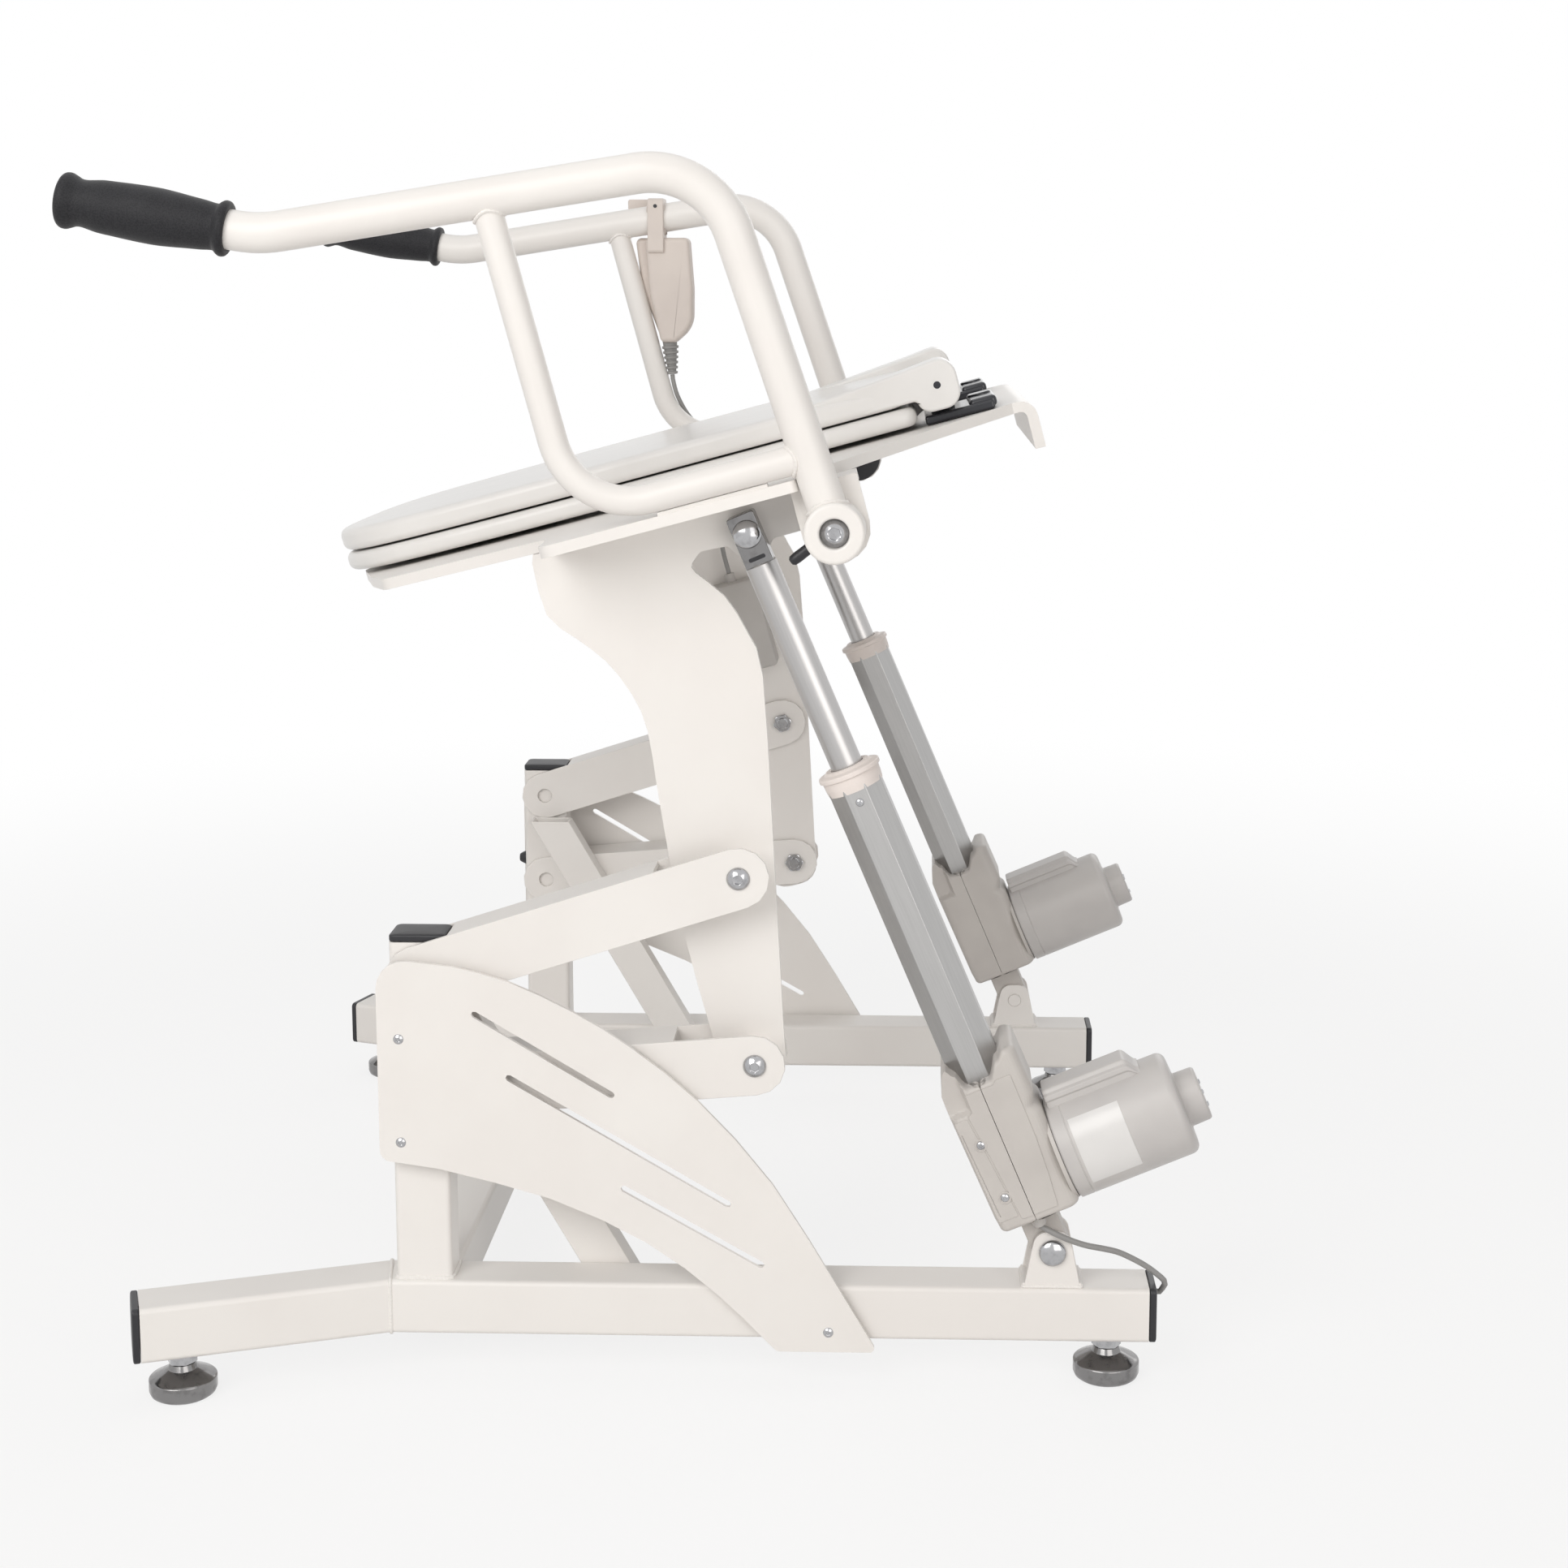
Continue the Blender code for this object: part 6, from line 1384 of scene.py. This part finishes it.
# %% Gearbox
MOTOR_Z = 0.0603
FACE_X = ACTUATOR_X + GEAR_HALF
GLAND_BORE = 0.0026
STRIP = ((-0.0236, 0.0375, 0.001), (-0.0098, 0.0375, 0.001), (-0.0133, 0.0820, 0), (-0.0162, 0.1120, 0.001),
         (-0.0252, 0.1120, 0.001))
GROOVE = ((-0.0218, 0.0415, 0.0005), (-0.0208, 0.0415, 0.0005), (-0.0232, 0.1035, 0.0005),
          (-0.0242, 0.1035, 0.0005))
FRONT_FIELD = ((-0.0085, 0.0345, 0.001), (-0.0002, 0.0345, 0), (-0.0002, 0.1275, 0),
               (-0.0112, 0.1275, 0.001), (-0.0112, 0.1150, 0), (-0.0150, 0.1130, 0), (-0.0118, 0.0820, 0))
REAR_FIELD = ((0.0002, 0.0345, 0), (0.0172, 0.0345, 0.001), (0.0196, 0.0567, 0), (0.0214, 0.0829, 0),
              (0.0216, 0.0995, 0), (0.0218, 0.1300, 0.001), (0.0112, 0.1300, 0.001), (0.0088, 0.1275, 0),
              (0.0002, 0.1275, 0))
BOSSES = ((-0.0146, 0.0920), (-0.0135, 0.0525))
lug_outline = hull_outline((0, 0), 0.0128, (0, 0.034), 0.0128)
lug = slab(lug_outline, ACTUATOR_X - 0.0122, ACTUATOR_X + 0.0122, 0.0012, "X")
flange_profile = rounded([(0.0100, 0.0290, 0), (0.0345, 0.0290, 0), (0.0345, 0.0319, 0.0006),
                          (0.0100, 0.0319, 0)], 3)
round_flange = lathe(flange_profile, 64, "Y", (ACTUATOR_X, 0, MOTOR_Z), closed=True)
fields = ((STRIP, 0.0005), (GROOVE, 0.0008), (FRONT_FIELD, 0.0008), (REAR_FIELD, 0.0008))
raised = [slab(rounded(corners, 5), FACE_X - 0.001, FACE_X + height, 0.0003, "X", steps=3)
          for corners, height in fields]
boss_profile = [(0, FACE_X - 0.001), (0.0044, FACE_X - 0.001), (0.0044, FACE_X + 0.0007),
                (0.0041, FACE_X + 0.0010), (0.0036, FACE_X + 0.0010), (0.0033, FACE_X + 0.0004),
                (0, FACE_X + 0.0004)]
bosses = [lathe(boss_profile, 32, "X", (0, y, z)) for y, z in BOSSES]
gearbox = in_frame(actuator, front_half, rear_half, lug, round_flange, *raised, *bosses)
both_sides("gearbox_castings", gearbox, CASTING, "actuators", "grey_housing",
           ["{side}_gearbox", "{side}_lead_screw"])
gland_profile = [(GLAND_BORE, 0.0215), (0.0042, 0.0215), (0.0052, 0.0240), (0.0056, 0.0300),
                 (GLAND_BORE, 0.0300)]
gland = lathe(gland_profile, 28, spot=(LEAD_X, 0, 0), closed=True)
both_sides("lead_gland", in_frame(actuator, gland), BOX_GREY, "actuators", "control_grey")
print("a gearbox has", len(gearbox), "parts")

# %% Gearbox and tube screws
OCTAGON = 0.018


def screw_on_side(y, z, x, radius, height):
    """A small button head whose socket is 0.36 of its radius."""
    return placed(button_head(radius, height, radius * 0.36), at(x, y, z))


screws = [screw_on_side(y, z, FACE_X + 0.0004, 0.0029, 0.0010) for y, z in BOSSES]
screws.append(screw_on_side(0.0, 0.3345, ACTUATOR_X + OCTAGON, 0.0028, 0.0012))
both_sides("gearbox_screws", in_frame(actuator, *screws), CHROME, "actuators", "polished_steel")
print("screws on each actuator's side", len(screws))

# %% [markdown]
# ## Motors
# The motor is a round can with a rolled end and a bearing boss, and a hood along its top
# over the brushes. The can is turned. The hood is a stack of rounded sections along the
# motor, whose height slopes off at the rear and whose two long edges stand up as ribs.

# %% Motor can
MOTOR_RADIUS = 0.0355
DRAWN = MOTOR_RADIUS - 0.0004
MOTOR_END, BOSS_END = 0.119, 0.134
can_profile = rounded([(0.0335, 0.0322, 0), (0.0335, 0.0330, 0.0001), (MOTOR_RADIUS, 0.0331, 0.0003),
                       (MOTOR_RADIUS, 0.0418, 0.0002), (DRAWN, 0.0419, 0.0001), (DRAWN, 0.0425, 0.0001),
                       (MOTOR_RADIUS, 0.0427, 0.0002), (MOTOR_RADIUS - 0.0003, MOTOR_END, 0.0060),
                       (0.0215, MOTOR_END, 0.0015), (0.0186, MOTOR_END + 0.0008, 0.0005),
                       (0.0182, BOSS_END, 0.0022), (0, BOSS_END, 0)], 7)
can = lathe(np.vstack([can_profile, [(0, 0.0322)]]), 80, "Y", (ACTUATOR_X, 0, MOTOR_Z))
print("the can has", len(can[0]), "points")

# %% Motor hood and screws
HOOD_START, HOOD_END, HOOD_TOP, HOOD_HALF = 0.0352, 0.1012, 0.1055, 0.0135
HOOD_SIDE = ((HOOD_HALF, 0.085, 0), (HOOD_HALF, 0.0970, 0.0004), (HOOD_HALF + 0.0014, 0.0985, 0.0006),
             (HOOD_HALF + 0.0014, 0.1015, 0.0008), (HOOD_HALF - 0.0010, 0.1028, 0.0006),
             (HOOD_HALF - 0.0028, HOOD_TOP, 0.0022))


def hood():
    """Sections across the motor: an upright wall, a bead along its foot and a rounded top. At
    the rear the sections sink to the can and draw in, as the moulding's end does."""
    edge = HOOD_START + 0.0010 * np.array((0, 0.3, 1.0))
    along = np.concatenate([edge, np.linspace(HOOD_START + 0.003, HOOD_END, 46)])[:, None]
    end = soft_step(along, HOOD_END - 0.0085, HOOD_END)
    start = 1 - soft_step(along, HOOD_START, HOOD_START + 0.0010)
    x, z = rounded([*HOOD_SIDE, *[(-x, z, r) for x, z, r in HOOD_SIDE[::-1]]], 6).T
    sunk = (0.0095 * end + 0.0005 * start) * soft_step(z, 0.088, HOOD_TOP)
    return skin(np.stack([x * (1 - 0.16 * end - 0.03 * start) + ACTUATOR_X, along + 0 * x, z - sunk], -1))


both_sides("motor_can", in_frame(actuator, can, hood()), MOTOR_GREY, "actuators", "grey_housing",
           ["{side}_motor"])
boss_screws = []
for angle in (0.4, 2.5, 4.6):
    spot = at(ACTUATOR_X + 0.009 * math.cos(angle), BOSS_END, MOTOR_Z + 0.009 * math.sin(angle))
    spot = actuator @ spot @ turned(math.pi / 2, "Z")
    boss_screws.append(placed(button_head(0.0022, 0.0010, 0.0008), spot))
both_sides("motor_boss_screws", boss_screws, CHROME, "actuators", "polished_steel")
print("the hood has", len(hood()[0]), "points")


# %% Motor label
def label_patch():
    """A bare foil on the can: a thin shell bent to its radius, on the side that faces out."""
    along = np.linspace(0.0445, 0.0800, 12)[:, None]
    angle = np.linspace(-0.60, 0.78, 26)
    inside, outside = (np.stack([ACTUATOR_X + r * np.cos(angle) + 0 * along, along + 0 * angle,
                                 MOTOR_Z + r * np.sin(angle) + 0 * along], -1)
                       for r in (DRAWN, MOTOR_RADIUS + 0.00018))
    return skin(np.concatenate([outside, inside[:, ::-1]], axis=1))


label = in_frame(actuator, label_patch())
both_sides("motor_label", label, LABEL, "actuators", "grey_housing")
print("the foil has", len(label[0][0]), "points")

# %% [markdown]
# ## Actuator tubes and rods
# The outer tube is an eight-sided extrusion with a moulded guide collar on its end. The
# rod slides in the collar and carries a steel block, which the drive bolt holds to the
# seat's support plate.

# %% Tubes and collars
OUTER_END, COLLAR_END = 0.346, 0.358
COLLAR_BORE = 0.0111


def octagon(flats, corner=0.0009):
    """Eight flats with small round corners, whose points lie flats / cos(22.5 degrees) out."""
    angle = np.pi / 8 + np.pi / 4 * np.arange(8)
    radius = flats / math.cos(math.pi / 8)
    return rounded([(radius * math.cos(a), radius * math.sin(a), corner) for a in angle], 6)


tube_line = np.array([(ACTUATOR_X, 0, 0.1280), (ACTUATOR_X, 0, OUTER_END)])
outer_tube = sweep(tube_line, octagon(OCTAGON), LEFT, 0.0055)
both_sides("actuator_outer_tube", in_frame(actuator, outer_tube), TUBE_METAL, "actuators",
           "anodised_aluminium", ["{side}_actuator_tube"])
collar_profile = rounded([(COLLAR_BORE, OUTER_END - 0.004, 0), (0.0190, OUTER_END - 0.004, 0),
                          (0.0196, OUTER_END + 0.0005, 0.0006), (0.0198, COLLAR_END - 0.0062, 0.0008),
                          (0.0214, COLLAR_END - 0.0056, 0.0006), (0.0214, COLLAR_END - 0.0026, 0.0010),
                          (0.0170, COLLAR_END - 0.0016, 0.0008), (0.0150, COLLAR_END, 0.0008),
                          (0.0118, COLLAR_END, 0.0004), (COLLAR_BORE, COLLAR_END - 0.001, 0)], 5)
collar = lathe(collar_profile, 56, spot=(ACTUATOR_X, 0, 0), closed=True)
both_sides("guide_collar", in_frame(actuator, collar), COLLAR, "actuators", "beige_handset")
print("the tube's outline has", len(octagon(OCTAGON)), "points")

# %% Rods and their end blocks
ROD_RADIUS = 0.01075
ROD_END = 0.300
BLOCK_HALF = 0.0095
BLOCK_LOW, BLOCK_HIGH = ACTUATOR_LENGTH - 0.022, ACTUATOR_LENGTH + 0.0135
chamfer = BLOCK_LOW + 0.0008
rod = lathe([(0, chamfer), (ROD_RADIUS - 0.0008, chamfer), (ROD_RADIUS, BLOCK_LOW), (ROD_RADIUS, ROD_END),
             (0, ROD_END)], 56, spot=(ACTUATOR_X, 0, 0))
both_sides("sliding_rod", in_frame(actuator, rod), ROD_METAL, "actuator_rods", "anodised_aluminium",
           ["{side}_actuator_rod"])
block_outline = rounded([(-BLOCK_HALF, BLOCK_LOW, 0.0006), (BLOCK_HALF, BLOCK_LOW, 0.0006),
                         (BLOCK_HALF, BLOCK_HIGH, 0.0018), (-BLOCK_HALF, BLOCK_HIGH, 0.0018)], 8)
end_block = slab(block_outline, 0.2817, 0.2997, 0.0007, "X")
both_sides("rod_end_block", in_frame(actuator, end_block), FOOT_STEEL, "actuator_rods", "polished_steel")
drive_head = domed_head(BLOCK_HALF, 0.0090, 0.2990, 0.2999, 0, ACTUATOR_LENGTH)
both_sides("drive_bolt_head", in_frame(actuator, drive_head), CHROME, "actuator_rods", "polished_steel")
# Painted shade: a thin black sheet on the block's face stands for the dark inside of a slot.
slot_shade_outline = rectangle(0, BLOCK_LOW + 0.0052, 0.0058, 0.0014, 0.0012)
painted_slot_shade = slab(slot_shade_outline, 0.2990, 0.2998, 0.0002, "X", steps=2)
both_sides("rod_end_slot", in_frame(actuator, painted_slot_shade), BLACK, "actuator_rods", "black_plastic")
print("the block reaches from", round(BLOCK_LOW, 4), "to", round(BLOCK_HIGH, 4), "m")

# %% [markdown]
# ## Screws on the covers
# Each side cover is held by three low screws, and the post's front carries the head of the
# bolt that clamps it. They are the same turned heads, smaller.

# %% Cover screws
COVER_FACE = 0.3170
COVER_SCREWS = ((-0.1742, 0.2411), (-0.1742, 0.1696), (0.1120, 0.0396))
cover_screws = [screw_on_side(y, z, COVER_FACE, 0.0035, 0.0013) for y, z in COVER_SCREWS]
both_sides("cover_screws", cover_screws, CHROME, "base", "polished_steel")
front_spot = at(0.3000, POST_Y - half_rail - GAP, 0.218) @ turned(-math.pi / 2, "Z")
front_bolt = placed(button_head(0.0067, 0.0085, 0.0026), front_spot)
both_sides("post_front_bolt", [front_bolt], BLACK, "base", "black_plastic")

# %% [markdown]
# ## Handset
# The handset hangs on the right armrest by a moulded clip. Its body is a rounded slab
# that narrows to the cord, with a joint between its two shells, and below it the strain
# relief is a tapered sleeve of ribs, so that the cord can't kink.

# %% Handset body and clip
HANDSET_HALF = 0.0125
HANDSET_EDGE = 0.0045
SEAM = 0.0002
BODY_TOP = -0.0165
RIGHT_SIDE = ((0.0317, BODY_TOP, 0.005), (0.0350, -0.062, 0.060), (0.0345, -0.0965, 0.026),
              (0.0190, -0.1100, 0.004), (0.0055, -0.1100, 0.005))
NARROW_CORNERS = ((-0.0082, BODY_TOP, 0.005), *RIGHT_SIDE, (-0.0046, -0.064, 0.080))
WIDE_CORNERS = ((-0.0180, BODY_TOP, 0.005), *RIGHT_SIDE, (-0.0125, -0.062, 0.080))
clip_half = HANDSET_HALF + 0.004
body_outline = rounded(NARROW_CORNERS[::-1], 12)
wide_outline = rounded(WIDE_CORNERS[::-1], 12)
front_shell = slab(body_outline, SEAM, HANDSET_HALF, HANDSET_EDGE, "X", steps=6)
back_shell = slab(wide_outline, -HANDSET_HALF, -SEAM, HANDSET_EDGE, "X", steps=6)
seam_core = slab(inset(body_outline, 0.0006), -0.003, 0.003, 0.0002, "X", steps=2)
clip_outline = rounded([(-0.030, -clip_half, 0.003), (0.0185, -clip_half, 0.006),
                        (0.0185, clip_half, 0.006), (-0.030, clip_half, 0.003)], 8)
tube_hole = hole_like(clip_outline, 0, 0, TUBE_RADIUS + 0.0024, TUBE_RADIUS + 0.0006)
clip = slab(clip_outline, -0.0052, 0.0092, 0.0012, "Y", hole=tube_hole)
hook_outline = rectangle(-0.01425, 0.01115, 0.01125, 0.00715, 0.002)
hook = slab(hook_outline, -clip_half + 0.0005, -HANDSET_HALF, 0.0008, "X")
shells = in_frame(plumb, front_shell, back_shell, seam_core, clip, hook)
piece("handset_shells", shells, HANDSET, "right_armrest", "beige_handset", ["pendant"])
print("the handset has", sum(len(points) for points, _ in shells), "points")

# %% Strain relief, clip pin and keys
RIB_STEP = 0.0046
RELIEF_WIDE, RELIEF_NARROW = 0.0066, 0.0034
PIN_TOP, PIN_RADIUS = clip_half + GAP, 0.0017
KEY_FACE, KEY_RADIUS = -0.0142, 0.0080


def relief_profile():
    """From its collar down: the sleeve tapers, and six ribs stand on it."""
    z = np.linspace(0.0, -RELIEF_LENGTH, 150)
    taper = RELIEF_WIDE + (RELIEF_NARROW - RELIEF_WIDE) * (z / -RELIEF_LENGTH)
    rib = 0.0014 * soft_step(np.cos(2 * np.pi * z / RIB_STEP), -0.35, 0.15) * soft_step(-z, 0.002, 0.003)
    sleeve = np.stack([taper + rib, z], -1)
    return [(0, 0.006), (0.0076, 0.006), *sleeve, (0.0024, -RELIEF_LENGTH), (0, -RELIEF_LENGTH)]


piece("handset_strain_relief", in_frame(relief, lathe(relief_profile(), 36)), RELIEF_GREY, "right_armrest",
      "control_grey")
pin_base = clip_half - 0.001
clip_pin = lathe([(0, PIN_TOP), (PIN_RADIUS, PIN_TOP), (PIN_RADIUS, pin_base), (0, pin_base)], 24, "X",
                 (0, 0.002, 0.0115))
piece("handset_clip_pin", in_frame(plumb, clip_pin), BLACK, "right_armrest", "black_plastic")
key_profile = [(0, KEY_FACE), (0.0062, KEY_FACE), (0.0076, -0.0136), (KEY_RADIUS, -0.0126),
               (KEY_RADIUS, -0.0098), (0, -0.0098)]
for name, z in (("raise", -0.042), ("lower", -0.068)):
    keycap = lathe(key_profile, 40, "X", (0, 0.013, z))
    piece(f"{name}_keycap", in_frame(plumb, keycap), BLACK, f"{name}_button", "black_plastic",
          [f"{name}_button"])
softened("control_box", "control_box_shell", BOX_GREY, 0.0010)
print("the strain relief's outline has", len(relief_profile()), "points")

# %% [markdown]
# ## Studio
# A pale floor and an even white surround. The camera, mirrors and glass see the surround
# and most of the floor as plain white, while its own soft shadow is kept, and the lamps
# alone set the light on the lift.


# %% Floor
def seen_directly(tree):
    """1 for camera, mirror and glass rays, 0 for the light that falls on things."""
    path = tree.nodes.new("ShaderNodeLightPath")
    most = path.outputs["Is Camera Ray"]
    for ray in ("Is Glossy Ray", "Is Transmission Ray"):
        higher = tree.nodes.new("ShaderNodeMath")
        higher.operation = "MAXIMUM"
        tree.links.new(most, higher.inputs[0])
        tree.links.new(path.outputs[ray], higher.inputs[1])
        most = higher.outputs[0]
    return most


FLOOR_HALF = 7.0
WHITE = rgb(1.0, 1.0, 1.0)
floor_corners = [(x * FLOOR_HALF, y * FLOOR_HALF, 0) for x, y in ((-1, -1), (1, -1), (1, 1), (-1, 1))]
floor_mesh = bpy.data.meshes.new("studio_floor")
floor_mesh.from_pydata(floor_corners, [], [(0, 1, 2, 3)])
floor = in_scene("studio_floor", floor_mesh)
paper = Finish("pale_floor", Base_Color=rgb(0.80, 0.79, 0.78), Roughness=0.9)
middle_out = paper.add("ShaderNodeVectorMath", {"operation": "LENGTH"}, {0: paper.place})
distance = Number(paper, middle_out.outputs["Value"])
share_of_white = Number(paper, seen_directly(paper.tree)) * (0.80 + 0.20 * paper.band(distance, 0.7, 2.2))
glow = paper.add("ShaderNodeEmission", None, {"Color": WHITE}).outputs[0]
layers = {0: share_of_white, 1: paper.shader.outputs[0], 2: glow}
mixed = paper.add("ShaderNodeMixShader", None, layers).outputs[0]
paper.tree.links.new(mixed, paper.tree.nodes["Material Output"].inputs["Surface"])
floor_mesh.materials.append(paper.material)
print("the floor is", 2 * FLOOR_HALF, "m wide")

# %% Surround
surround = bpy.data.worlds.new("white_surround")
surround.use_nodes = True
bpy.context.scene.world = surround
tree = surround.node_tree
backing = tree.nodes["Background"]
white = tree.nodes.new("ShaderNodeBackground")
for node, colour, strength in ((backing, rgb(1.0, 0.985, 0.97), 0.33), (white, WHITE, 1.0)):
    node.inputs["Color"].default_value = colour
    node.inputs["Strength"].default_value = strength
chooser = tree.nodes.new("ShaderNodeMixShader")
for number, source in enumerate((seen_directly(tree), backing.outputs[0], white.outputs[0])):
    tree.links.new(source, chooser.inputs[number])
tree.links.new(chooser.outputs[0], tree.nodes["World Output"].inputs["Surface"])
print("the surround has", len(tree.nodes), "nodes")

# %% Lamps
AIM = Vector((0.0, 0.0, 0.42))
LAMPS = (
    ("key_softbox", (2.3, -1.1, 1.7), 1.7, 37.0, (1.0, 0.985, 0.965)),
    ("side_softbox", (2.3, 1.3, 0.9), 1.6, 15.0, (1.0, 0.97, 0.94)),
    ("top_softbox", (-0.2, 0.0, 2.5), 1.8, 7.0, (1.0, 1.0, 1.0)),
    ("rear_softbox", (-2.0, 0.9, 1.5), 1.4, 8.0, (1.0, 1.0, 1.0)),
)
for name, place, size, power, colour in LAMPS:
    lamp = bpy.data.lights.new(name, "AREA")
    lamp.shape = "SQUARE"
    lamp.size = size
    lamp.energy = power
    lamp.color = colour
    holder = in_scene(name, lamp)
    holder.location = place
    holder.rotation_euler = facing(AIM - Vector(place))
bpy.context.scene.view_settings.view_transform = "Standard"
print("lamps", [name for name, *_ in LAMPS])

# %% [markdown]
